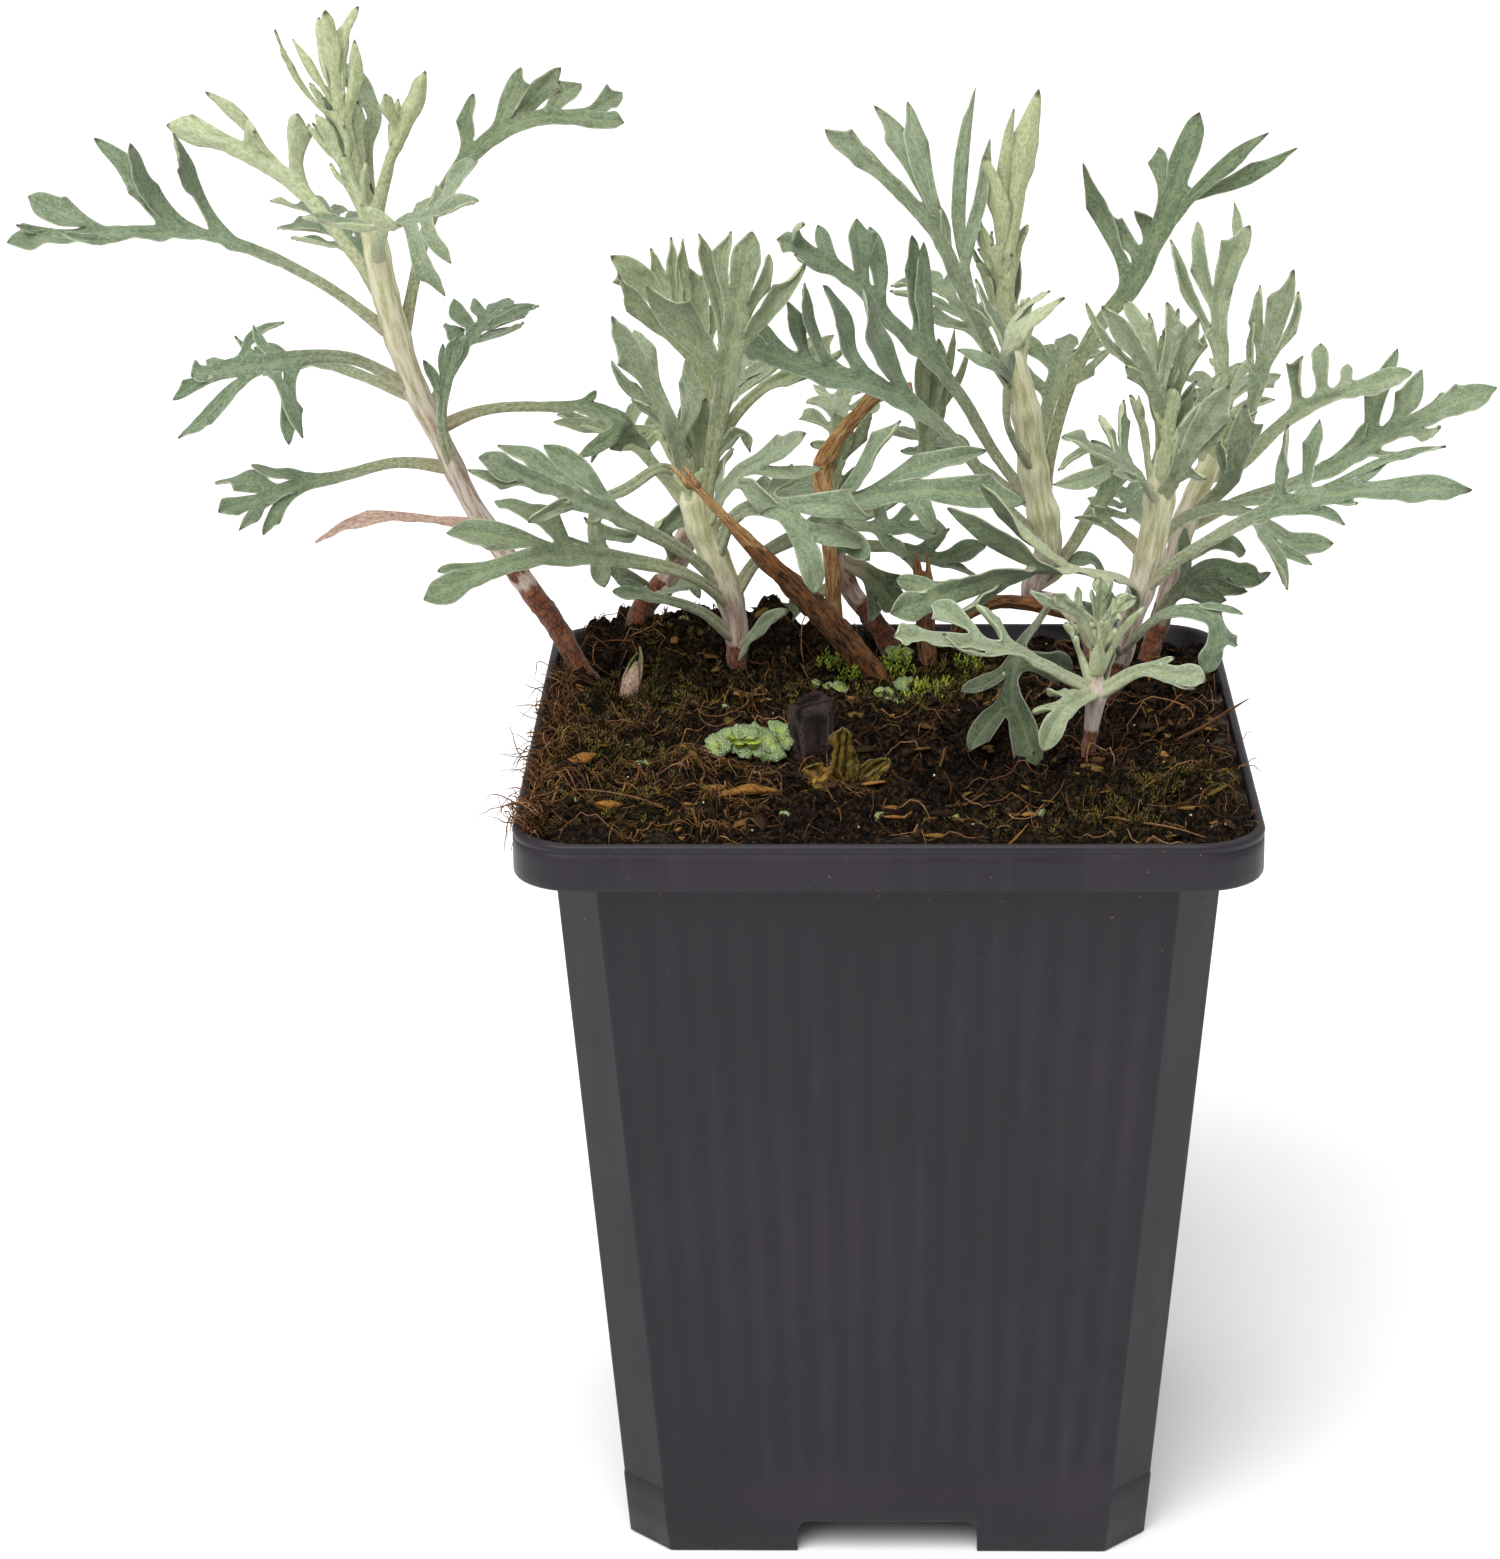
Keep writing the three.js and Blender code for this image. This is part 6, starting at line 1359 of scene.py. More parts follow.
def pot_ring(width, corner, height, rounded, fluted=0.0, notched=False):
    """A square ring with round or cut corners, waved by the flutes, and raised at the notches."""
    half = width / 2
    straight = half - corner
    x = SIDE_SHARES * straight
    fade = 1 - smoothstep(np.abs(SIDE_SHARES), 0.86, 0.94)
    y = -half + fluted * FLUTE_DEPTH * FLUTES * fade
    z = np.full(len(x), float(height))
    if notched:
        inward = NOTCH_WIDTH / 2 - np.abs(SIDE_SHARES * BASE_HALF)
        round_part = np.clip(1 - inward / NOTCH_CORNER, 0, 1)
        top = NOTCH_HEIGHT - NOTCH_CORNER * (1 - np.sqrt(1 - round_part ** 2))
        z = np.where(inward >= -1e-6, np.maximum(top, height), height)
    side = np.stack([x, y, z], axis=1)
    angles = CORNER_STEPS * np.pi / 2
    across = np.sin(angles) if rounded else CORNER_STEPS
    down = np.cos(angles) if rounded else 1 - CORNER_STEPS
    level = np.full(len(CORNER_STEPS), float(height))
    bend = np.stack([straight + corner * across, -straight - corner * down, level], axis=1)
    quarter = np.vstack([side, bend])
    rings = []
    for turn in range(4):
        cos, sin = (1, 0, -1, 0)[turn], (0, 1, 0, -1)[turn]
        rings.append(quarter @ np.array([[cos, sin, 0], [-sin, cos, 0], [0, 0, 1]]))
    return np.vstack(rings)


def body_width(height):
    """The body's outer width at a height below the rim."""
    return BASE_WIDTH + (BODY_TOP_WIDTH - BASE_WIDTH) * height / (POT_HEIGHT - RIM_BAND)


# Rings of the rim band: how far they stand in, both sides together, and how far below the top
RIM_PROFILE = [
    (0.1, 4.2), (0.1, 2.6), (0.12, 1.4), (0.36, 1.25), (0.4, 1.1), (0.1, 0.95), (0, 0.6),
    (0.12, 0.25), (0.5, 0.04), (1.0, 0), (1.7, 0.05), (2 * WALL, 0.3),
]

# Heights between which the flutes rise out of the body and sink into it again
FLUTES_FULL = 14
FLUTES_FADE = 88
FLUTES_END = 93


def make_pot():
    """The pot: a skirt round a low floor, a fluted body with cut corners, a ledge and a rim band."""
    ledge = POT_HEIGHT - RIM_BAND
    floor_top = FLOOR_HEIGHT + FLOOR_THICKNESS
    inside = lambda height: body_width(height) - 2 * WALL
    cut = CHAMFER - 0.6
    rings = [
        pot_ring(inside(FLOOR_HEIGHT), cut, FLOOR_HEIGHT, False),
        pot_ring(inside(0) + 0.4, cut, 0, False, notched=True),
        pot_ring(body_width(0) - 0.5, CHAMFER, 0, False, notched=True),
        pot_ring(body_width(0), CHAMFER, 0.3, False, notched=True),
        pot_ring(body_width(NOTCH_HEIGHT + 0.3), CHAMFER, NOTCH_HEIGHT + 0.3, False),
    ]
    foot = [6.5, FOOT_LINE - 0.25, FOOT_LINE, FOOT_LINE + 0.25, 11, FLUTES_FULL]
    for height in [*foot, *spread(20, 84, 11), 89, 92, ledge - 0.6]:
        rise = smoothstep(height, FOOT_LINE, FLUTES_FULL)
        flutes = rise * (1 - smoothstep(height, FLUTES_FADE, FLUTES_END))
        step = -0.22 if height >= FOOT_LINE else 0
        rings.append(pot_ring(body_width(height) + step, CHAMFER, height, False, flutes))
    rings += [
        pot_ring(body_width(ledge) + 0.1, CHAMFER, ledge - 0.15, False),
        pot_ring(body_width(ledge) + 0.6, CHAMFER, ledge, False),
        pot_ring(RIM_WIDTH - 1.2, RIM_CORNER, ledge, True),
        pot_ring(RIM_WIDTH - 0.4, RIM_CORNER, ledge + 0.15, True),
        pot_ring(RIM_WIDTH - 0.1, RIM_CORNER, ledge + 0.5, True),
    ]
    for inset, drop in RIM_PROFILE:
        rings.append(pot_ring(RIM_WIDTH - inset, RIM_CORNER, POT_HEIGHT - drop, True))
    rings += [
        pot_ring(RIM_WIDTH - 2 * WALL, RIM_CORNER - WALL, ledge + WALL + 0.3, True),
        pot_ring(RIM_WIDTH - 2 * WALL - 0.6, RIM_CORNER - WALL, ledge + WALL, True),
        pot_ring(inside(ledge) + 0.5, cut, ledge + WALL, False),
        pot_ring(inside(ledge), cut, ledge + WALL - 0.4, False),
        pot_ring(inside(floor_top), cut, floor_top, False),
    ]
    points = np.vstack(rings)
    faces = closed_faces(len(rings), len(rings[0]))
    height = points[:, 2]
    below = 1 - smoothstep(height, ledge - 6, ledge - 1)
    corner = np.repeat([0.0, 1.0], [len(SIDE_SHARES), len(CORNER_STEPS)])
    hollow = np.concatenate([FLUTES, np.zeros(len(CORNER_STEPS))])
    sides = 4 * len(rings)
    form = np.zeros((len(points), 4))
    form[:, 0] = smoothstep(height, ledge - 22, POT_HEIGHT)
    # The flutes' hollows and the cut corners are marked for painted shade in the pot's material
    form[:, 1] = np.tile(hollow, sides) * below * smoothstep(height, FOOT_LINE, FLUTES_FULL)
    form[:, 2] = np.tile(corner, sides) * below
    body = Body()
    body.add(points, faces, form=form)
    return bored(body.make("pot_moulded", [POT], "pot_plastic", ["pot"]))


def bored(pot):
    """Cuts the drain holes through the pot's floor."""
    rows = (-DRAIN_SPACING, 0, DRAIN_SPACING)
    heights = spread(FLOOR_HEIGHT - 2, FLOOR_HEIGHT + 3, 4)
    lines = [[(x, y, z) for z in heights] for x, y in itertools.product(rows, rows)]
    points, faces = tubes(lines, DRAIN_RADIUS, 24)
    mesh = bpy.data.meshes.new("drains")
    mesh.from_pydata((points * MM + POT_MIDDLE).tolist(), [], faces)
    drills = bpy.data.objects.new("drains", mesh)
    bpy.context.scene.collection.objects.link(drills)
    cut = pot.modifiers.new("drains", "BOOLEAN")
    cut.object, cut.solver = drills, "EXACT"
    finished = bpy.data.meshes.new_from_object(pot.evaluated_get(bpy.context.evaluated_depsgraph_get()))
    pot.modifiers.clear()
    pot.data = finished
    bpy.data.objects.remove(drills)
    return pot


# Mounds and hollows of the soil: x, y, how wide and how high
MOUNDS = [
    (-32, 38, 8, 5.5),
    (-15, 40, 7, 4.6),
    (31, -20, 12, 2),
    (-24, -22, 14, 1.6),
    (14, 6, 9, 0.9),
    (4, 26, 7, -0.8),
    (-10, -3.5, 4, -1.4),
    (8, -8, 6, -1.2),
]

# Places where moss grows in the soil: x, y, reach, strength
MOSS_PATCHES = [
    (-30, 18, 9, 0.9), (-36, -2, 9, 0.8), (-31, -26, 12, 0.55), (-12, 24, 9, 0.5), (5, 22, 9, 0.9),
    (-28, 38, 8, 0.5), (24, -33, 12, 0.8), (38, -22, 8, 0.7), (-4, -14, 7, 0.5), (12, 34, 8, 0.5),
]

# Squares of the soil's top along each side
SOIL_ROWS = 208

# The soil rises towards the wall, less at the back, and ends under the rim
EDGE_RISE = 2.4
BACK_STARTS = 20
BACK_SHARE = 0.4
UNDER_RIM = 0.3
UNDER_BACK_RIM = 1.6

# Crumbs of the soil: size, height and a seed
CRUMB_SIZES = [(9.0, 2.2, 9), (4.6, 2.2, 10), (2.6, 1.5, 11), (1.4, 0.85, 12), (0.8, 0.36, 13)]

# Places where the soil is calmer, under what lies on it: x, y and reach
CALM_PLACES = [
    (-17.6, -2.8, 6), (-31, -8, 3), (0, 24, 5), (8, -27, 3), (7, 27.5, 5), (-5.8, -12.5, 5),
    (-9.8, 4.3, 4), (-38, -11, 4), (-35, -24, 4), (-17, -21, 5),
]


def soil_height(x, y):
    """The height of the soil's broad form."""
    edge = np.maximum(np.abs(x), np.abs(y)) / (RIM_WIDTH / 2)
    rise = EDGE_RISE * smoothstep(edge, 0.72, 0.97)
    height = SOIL_LEVEL + rise * np.where(y < BACK_STARTS, 1, BACK_SHARE)
    for mx, my, wide, high in MOUNDS:
        height = height + high * np.exp(-((x - mx) ** 2 + (y - my) ** 2) / (2 * wide * wide))
    height = height + 0.35 * np.sin(0.61 * x + 1.3) * np.cos(0.53 * y + 0.4)
    height = height + 0.3 * np.sin(1.07 * x - 0.83 * y + 2.1)
    return height + 0.22 * np.sin(1.51 * x + 1.37 * y)


def crumbled(x, y):
    """How far crumbs of several sizes stand above or below the soil's broad form."""
    flat = np.stack([x, y, np.zeros_like(x)], axis=1)
    bend = 1.1 * lattice_noise(flat * 0.35, 3)
    total = 0
    for size, high, seed in CRUMB_SIZES:
        near, next_near = nearest_cells(x + bend, y - bend, size, seed)
        dome = np.sqrt(np.clip(1 - near ** 2 / 0.5, 0, 1)) - 0.5
        total = total + high * dome * smoothstep(next_near - near, 0, 0.3)
    total = total + 0.9 * layered_noise(flat * 0.21, 2, 5) + 0.32 * layered_noise(flat * 1.7, 3, 6)
    for cx, cy, reach in CALM_PLACES:
        total = total * (1 - 0.7 * np.exp(-((x - cx) ** 2 + (y - cy) ** 2) / (reach * reach)))
    return total


def moss_at(x, y):
    """How mossy a place is, 0 to 1."""
    total = sum(s * np.exp(-((x - mx) ** 2 + (y - my) ** 2) / (r * r)) for mx, my, r, s in MOSS_PATCHES)
    flat = np.stack([x, y, np.zeros_like(x)], axis=1)
    return np.clip(total * (1 + 0.9 * layered_noise(flat * 0.35, 3, 21)), 0, 1)


def surface(x, y):
    """The soil's finished height; it stays under the rim at the pot's wall."""
    x, y = np.atleast_1d(np.asarray(x, float)), np.atleast_1d(np.asarray(y, float))
    edge = np.maximum(np.abs(x), np.abs(y)) / (RIM_WIDTH / 2)
    height = soil_height(x, y) + crumbled(x, y)
    low_rim = POT_HEIGHT - np.where(y < BACK_STARTS, UNDER_RIM, UNDER_BACK_RIM)
    return np.where(edge > 0.9, np.minimum(height, low_rim + 7 * (1 - edge)), height)


def on_soil(x, y, lift=0.0):
    """A place on the soil, or a lift above it."""
    return np.array([x, y, surface(x, y)[0] + lift])


def make_soil():
    """The soil: a crumbled top over a block that fills the pot."""
    half = RIM_WIDTH / 2 - WALL - GAP
    corner = RIM_CORNER - WALL
    spots = np.linspace(-half, half, SOIL_ROWS + 1)
    x, y = (rows.ravel() for rows in np.meshgrid(spots, spots))
    over_x = np.clip((np.abs(x) - half + corner) / corner, 0, 1)
    over_y = np.clip((np.abs(y) - half + corner) / corner, 0, 1)
    x = x - np.sign(x) * corner * over_x * (1 - np.sqrt(1 - over_y ** 2 / 2))
    y = y - np.sign(y) * corner * over_y * (1 - np.sqrt(1 - over_x ** 2 / 2))
    z = surface(x, y)
    count = SOIL_ROWS + 1
    top = np.stack([x, y, z], axis=1)
    ids = np.arange(count * count).reshape(count, count)
    border = np.concatenate([ids[0, :-1], ids[:-1, -1], ids[-1, :0:-1], ids[:0:-1, 0]])
    ledge = POT_HEIGHT - RIM_BAND + WALL + GAP
    floor_top = FLOOR_HEIGHT + FLOOR_THICKNESS + GAP
    inside = lambda height: (body_width(height) / 2 - WALL - GAP) / half
    layers = [top]
    for share, height in ((1, ledge), (inside(ledge), ledge), (inside(floor_top), floor_top)):
        ring = top[border] * (share, share, 0) + (0, 0, height)
        layers.append(ring)
    faces = grid_faces(count, count)
    last = border
    start = len(top)
    for _ in layers[1:]:
        ring = np.arange(start, start + len(border))
        faces += np.stack([last, ring, np.roll(ring, -1), np.roll(last, -1)], axis=1).tolist()
        last, start = ring, start + len(border)
    faces.append(last.tolist()[::-1])
    points = np.vstack(layers)
    ground = np.zeros((len(points), 4))
    # How high the crumbs stand: the soil's material paints the low places nearly black, as painted shade
    ground[:len(top), 0] = np.clip(0.38 + 0.3 * crumbled(x, y), 0, 1)
    ground[:len(top), 1] = moss_at(x, y)
    body = Body()
    body.add(points, faces, ground=ground)
    return body.make("soil_crumbled", [SOIL], "potting_soil", ["soil"])


def tinted(rng, choice, spread_of=0.3):
    """A colour drawn between two of a list of shades, lighter or darker by chance."""
    a, b = rng.sample(choice, 2) if len(choice) > 1 else (choice[0], choice[0])
    mix, light = rng.random(), 1 + rng.uniform(-spread_of, spread_of)
    return [light * (p * mix + q * (1 - mix)) for p, q in zip(a[:3], b[:3])] + [1.0]


def shades(*colours):
    """Colours given as on a screen, for a shader."""
    return [colour(*each) for each in colours]


FIBRE_SHADES = shades((84, 60, 36), (36, 25, 17), (124, 92, 54), (22, 16, 11), (58, 42, 26))
ROOT_SHADES = shades((112, 76, 48), (148, 114, 80), (74, 48, 32))
STRAW_SHADES = shades((134, 100, 70), (96, 70, 48))
MOSS_SHADES = shades((78, 68, 20), (106, 94, 28), (46, 40, 15), (84, 62, 24))
FRESH_SHADES = shades((130, 154, 42), (92, 116, 32), (158, 170, 58))
CRUMB_SHADES = shades((16, 11, 8), (36, 25, 17), (8, 6, 4), (56, 39, 26))
CHIP_SHADES = shades((96, 70, 42), (46, 33, 22), (26, 19, 14), (140, 102, 54), (84, 72, 32))
OCHRE_SHADES = shades((146, 106, 56), (112, 88, 44), (92, 80, 36))
# Pale grains on the soil, which also stand in for wet glints as painted highlights
GRAIN_AND_GLINT_SHADES = shades((200, 192, 176))

# How far from the axis things are scattered over the soil, and how far lines that lie on it may reach
SCATTER = 42.5
CRUMB_SCATTER = 41.5
MOSS_SCATTER = 42
LINE_REACH = 43


def scattered(rng, half=SCATTER):
    """A place drawn at random, up to half a width from the axis."""
    return rng.uniform(-half, half), rng.uniform(-half, half)


def within(value, reach=LINE_REACH):
    """A value held between -reach and reach."""
    return min(max(value, -reach), reach)


def lying_line(rng, x, y, length, steps, bend, lift):
    """A curved line that lies on the soil, with its middle or an end lifted a little."""
    heading = rng.uniform(0, 2 * math.pi)
    turn = rng.uniform(-bend, bend)
    x, y = within(x), within(y)
    line = [(x, y)]
    for _ in range(steps - 1):
        heading += turn / steps + rng.uniform(-0.5, 0.5) * bend / steps
        x = within(x + math.cos(heading) * length / steps)
        y = within(y + math.sin(heading) * length / steps)
        line.append((x, y))
    line = np.array(line)
    rise = lift * rng.uniform(0, 1) * np.sin(np.linspace(0, math.pi * rng.choice((0.5, 1)), steps))
    heights = surface(line[:, 0], line[:, 1])
    smoother = np.convolve(np.pad(heights, 2, mode="edge"), [0.15, 0.2, 0.3, 0.2, 0.15], mode="valid")
    return np.column_stack([line, np.maximum(heights, smoother) - 0.08 + rise])


def add_strands(body, rng, lines, radius, choice, sides=3):
    """Gives each line a tapered round strand in its own colour."""
    lines = np.array(lines)
    steps = lines.shape[1]
    taper = np.interp(np.linspace(0, 1, steps), [0, 0.15, 0.7, 1], [0.5, 1, 0.85, 0.25])
    radii = np.array([radius * rng.uniform(0.6, 1.5) for _ in lines])[:, None] * taper
    points, faces = tubes(lines, radii, sides)
    tint = np.repeat([tinted(rng, choice) for _ in lines], steps * sides, axis=0)
    body.add(points, faces, tint=tint)


def make_fibres():
    """Fibres, straws and rootlets that lie on the soil and stick out of it; most of them on the left."""
    rng = random.Random(5)
    body = Body()
    short = [lying_line(rng, *scattered(rng), rng.uniform(2, 6), 6, 2.6, 1.1) for _ in range(1100)]
    add_strands(body, rng, short, 0.09, FIBRE_SHADES)
    starts = [(rng.uniform(-42.5, -14), rng.uniform(-42, 20)) for _ in range(1500)]
    matted = layered_noise(np.array(starts + [(0, 0)])[:, [0, 1, 1]] * (0.16, 0.16, 0), 2, 7)
    left = [lying_line(rng, x, y, rng.uniform(2, 6.5), 7, 3.4, 1.5)
            for (x, y), thick in zip(starts, matted) if thick > 0.02]
    add_strands(body, rng, left, 0.08, FIBRE_SHADES[:3] + ROOT_SHADES[:2] + MOSS_SHADES[:1])
    mossy = [lying_line(rng, rng.gauss(x, r * 0.6), rng.gauss(y, r * 0.6), rng.uniform(1.5, 4), 6, 3.6, 1.4)
             for x, y, r, s in MOSS_PATCHES for _ in range(round(55 * s))]
    add_strands(body, rng, mossy, 0.1, MOSS_SHADES)
    curled = [lying_line(rng, *scattered(rng), rng.uniform(7, 15), 14, 5.0, 3.0) for _ in range(120)]
    add_strands(body, rng, curled, 0.09, ROOT_SHADES)
    straws = [lying_line(rng, *scattered(rng), rng.uniform(5, 12), 5, 0.5, 0.8) for _ in range(50)]
    add_strands(body, rng, straws, 0.2, CHIP_SHADES, 5)
    return body.make("soil_fibres", [LITTER], "potting_soil")


# How far forward a rootlet at the wall may reach, and how close to the rim it is lifted over it
MOST_FORWARD = -43.5
RIM_INSIDE = RIM_WIDTH / 2 - 1.6
RIM_OUTSIDE = RIM_WIDTH / 2 + 0.4
OVER_RIM = POT_HEIGHT + 0.3


def edge_root(rng, side, length, steps):
    """A rootlet that starts in the soil by a side wall, leans over the rim and curls outside it."""
    y = rng.uniform(-40, 22) if side < 0 else rng.uniform(-38, 10)
    place = np.array([side * rng.uniform(40.5, 43.3), y, rng.uniform(98, 100.6)])
    heading = np.array([side * rng.uniform(0.3, 1.1), rng.uniform(-0.6, 0.6), rng.uniform(0.3, 1.3)])
    curl = np.array([rng.uniform(-0.7, 0.3) * side, rng.uniform(-0.9, 0.9), rng.uniform(-0.8, 0.3)])
    line = [place]
    for _ in range(steps - 1):
        heading = unit(heading + curl * 3.6 / steps + np.array([rng.uniform(-0.4, 0.4) for _ in range(3)]))
        place = place + heading * length / steps
        if RIM_INSIDE < abs(place[0]) < RIM_OUTSIDE:
            place[2] = max(place[2], OVER_RIM)
        place[1] = max(place[1], MOST_FORWARD)
        line.append(place)
    return line


def hung(share, phase, drop):
    """How far a rootlet that hangs outside the rim is from its start, at a share of its length."""
    out = -1.1 * min(1, 3 * share) - 0.6 * math.sin(5 * share + phase)
    return np.array([out, 1.2 * math.sin(4 * share), 0.9 * share - drop * share * share])


def make_edge_roots():
    """Rootlets round the rim, most of them on the left, and a few long straws."""
    rng = random.Random(8)
    body = Body()
    for count, side, low, high, steps, radius, choice in (
        (290, -1, 2, 9, 12, 0.075, ROOT_SHADES + FIBRE_SHADES[:1]),
        (180, -1, 1.5, 4, 8, 0.1, FIBRE_SHADES),
        (20, 1, 3, 6, 12, 0.075, ROOT_SHADES),
    ):
        lines = [edge_root(rng, side, rng.uniform(low, high), steps) for _ in range(count)]
        add_strands(body, rng, lines, radius, choice)
    hanging = []
    for _ in range(16):
        y = rng.uniform(-41, -28)
        start = np.array([-44.0 + rng.uniform(-0.3, 0.5), y, POT_HEIGHT + 0.2])
        drop = rng.uniform(3, 9)
        hanging.append([start + hung(t, y, drop) for t in spread(0, 1, 12)])
    add_strands(body, rng, hanging, 0.075, ROOT_SHADES)
    straws = [
        [(26.5, -33, 99.4), (30, -37, 100.1), (34, -40.5, 100.6), (37.5, -43.6, 100.5)],
        [(36.5, -2, 98.6), (40, -4, 101.2), (43, -6, 104), (45.2, -8, 106.2)],
        [(-38, -22, 99.2), (-34, -25, 99.8), (-30, -28, 100.0), (-26.5, -31, 99.6)],
    ]
    lines = [smooth_line(points, 11)[0] for points in straws]
    add_strands(body, rng, lines, 0.2, STRAW_SHADES, 5)
    return body.make("rim_roots", [LITTER], "potting_soil")


def ball(fineness):
    """An even ball: its points and its faces."""
    made = bmesh.new()
    bmesh.ops.create_icosphere(made, subdivisions=fineness, radius=1)
    points = np.array([point.co for point in made.verts])
    faces = [[point.index for point in face.verts] for face in made.faces]
    made.free()
    return points, faces


BALL_POINTS, BALL_FACES = ball(2)
GRAIN_POINTS, GRAIN_FACES = ball(1)

# A lump below this size has fewer faces
SMALL_LUMP = 0.9


def turned(points, yaw, pitch=0.0, roll=0.0):
    """Points turned round X by the roll, then round Y by the pitch and round Z by the yaw."""
    turn = Matrix.Rotation(yaw, 3, "Z") @ Matrix.Rotation(pitch, 3, "Y") @ Matrix.Rotation(roll, 3, "X")
    return points @ np.array(turn).T


def lump(rng, size, flat=(1, 1, 1), rough=0.35):
    """A ball pushed out of shape, and its faces; a small one has fewer."""
    points, faces = (BALL_POINTS, BALL_FACES) if size > SMALL_LUMP else (GRAIN_POINTS, GRAIN_FACES)
    wrinkles = np.round(3 * layered_noise(points * 1.5 + rng.uniform(0, 50), 2, 9)) / 3
    return turned(points * (1 + rough * wrinkles[:, None]) * np.array(flat) * size, rng.uniform(0, 6.28),
                  rng.uniform(-0.3, 0.3), rng.uniform(-0.3, 0.3)), faces


def make_crumbs():
    """Crumbs of peat, flakes of bark and chips of wood on the soil, and a few white grains, which also
    serve as painted highlights for wet glints.
    """
    rng = random.Random(13)
    body = Body()
    kinds = [
        (620, (0.25, 0.8), (1, 0.85, 0.7), CRUMB_SHADES),
        (190, (0.6, 2.0), (1, 0.4, 0.14), CHIP_SHADES),
        (90, (1.0, 2.4), (1, 0.5, 0.13), CRUMB_SHADES),
        (60, (0.7, 1.8), (1, 0.4, 0.1), OCHRE_SHADES),
        # White grains: also painted highlights for wet glints
        (110, (0.09, 0.2), (1, 1, 1), GRAIN_AND_GLINT_SHADES),
    ]
    for count, (low, high), flat, choice in kinds:
        for _ in range(count):
            x, y = scattered(rng, CRUMB_SCATTER)
            size = rng.uniform(low, high)
            points, faces = lump(rng, size, flat)
            spot = on_soil(x, y, 0.35 * size * flat[2])
            body.add(points + spot, faces, tint=tinted(rng, choice))
    return body.make("soil_crumbs", [LITTER], "potting_soil")


def leaflet(length, width, fold=0.3):
    """A tiny closed leaflet along +X: a keel under two sides that meet at the tip."""
    points = [(0, 0, -0.06), (length * 0.45, width / 2, fold * width), (length, 0, 0.12 * length),
              (length * 0.45, -width / 2, fold * width), (length * 0.5, 0, -0.08)]
    return np.array(points), [[0, 1, 3], [1, 2, 3], [0, 4, 1], [1, 4, 2], [2, 4, 3], [3, 4, 0]]


def add_moss_stalk(body, rng, foot, height, choice, size=1.0):
    """A moss stalk: leaflets in a spiral round a short stem, closer and steeper at its tip."""
    lean = np.array([rng.uniform(-0.35, 0.35), rng.uniform(-0.45, 0.2), 1])
    count = max(5, round(height * 5))
    tint = tinted(rng, choice, 0.2)
    points, faces = tubes([[foot, foot + lean * height * 0.5, foot + lean * height]], 0.09 * size, 4)
    body.add(points, faces, tint=tint)
    for i in range(count):
        share = (i + 0.5) / count
        blade, blade_faces = leaflet(size * rng.uniform(0.9, 1.3), 0.42 * size)
        spot = turned(blade, i * SPIRAL + rng.uniform(-0.3, 0.3), -0.35 - 0.85 * share)
        brighter = [part * (0.75 + 0.45 * share) for part in tint[:3]] + [1]
        body.add(spot + foot + lean * height * share, blade_faces, tint=brighter)


# Fresh green tufts of moss: x, y, reach and number of stalks
FRESH_TUFTS = [(-5.5, 30, 3.2, 26), (1.5, 32.5, 2.4, 14), (11.5, 33, 2.2, 14)]
SHORT_STALKS = 700
BRIGHT_STALKS = 60


def make_moss():
    """Films of short moss in the soil, in olive shades."""
    rng = random.Random(17)
    body = Body()
    placed = 0
    while placed < SHORT_STALKS:
        x, y = scattered(rng, MOSS_SCATTER)
        if moss_at(np.array([x]), np.array([y]))[0] < rng.uniform(0.25, 1.1):
            continue
        add_moss_stalk(body, rng, on_soil(x, y, -0.1), rng.uniform(0.5, 1.3), MOSS_SHADES, 0.75)
        placed += 1
    for x, y, reach, count in FRESH_TUFTS:
        for i in range(count):
            out = reach * math.sqrt((i + 0.5) / count)
            spot_x, spot_y = x + out * math.cos(i * SPIRAL), y + out * math.sin(i * SPIRAL)
            foot = on_soil(spot_x, spot_y, -0.1)
            add_moss_stalk(body, rng, foot, rng.uniform(0.8, 2), FRESH_SHADES, 0.9)
    return body.make("soil_moss", [GREENERY], "moss")


def make_moss_tuft():
    """The bright moss tuft behind the middle."""
    rng = random.Random(61)
    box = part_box("moss_tuft")
    middle, low = middle_of(box), corners_of(box)[0]
    body = Body()
    for i in range(BRIGHT_STALKS):
        angle, out = i * SPIRAL, 5.2 * math.sqrt(i / BRIGHT_STALKS)
        foot = (middle[0] + out * math.cos(angle), middle[1] + out * math.sin(angle), low[2] + 0.1)
        tall = rng.uniform(0.5, 1) * (3.2 - 0.35 * out)
        add_moss_stalk(body, rng, np.array(foot), tall, FRESH_SHADES, rng.uniform(0.8, 1.4))
    return body.make("moss_tuft_leaves", [GREENERY], "moss", ["moss_tuft"])


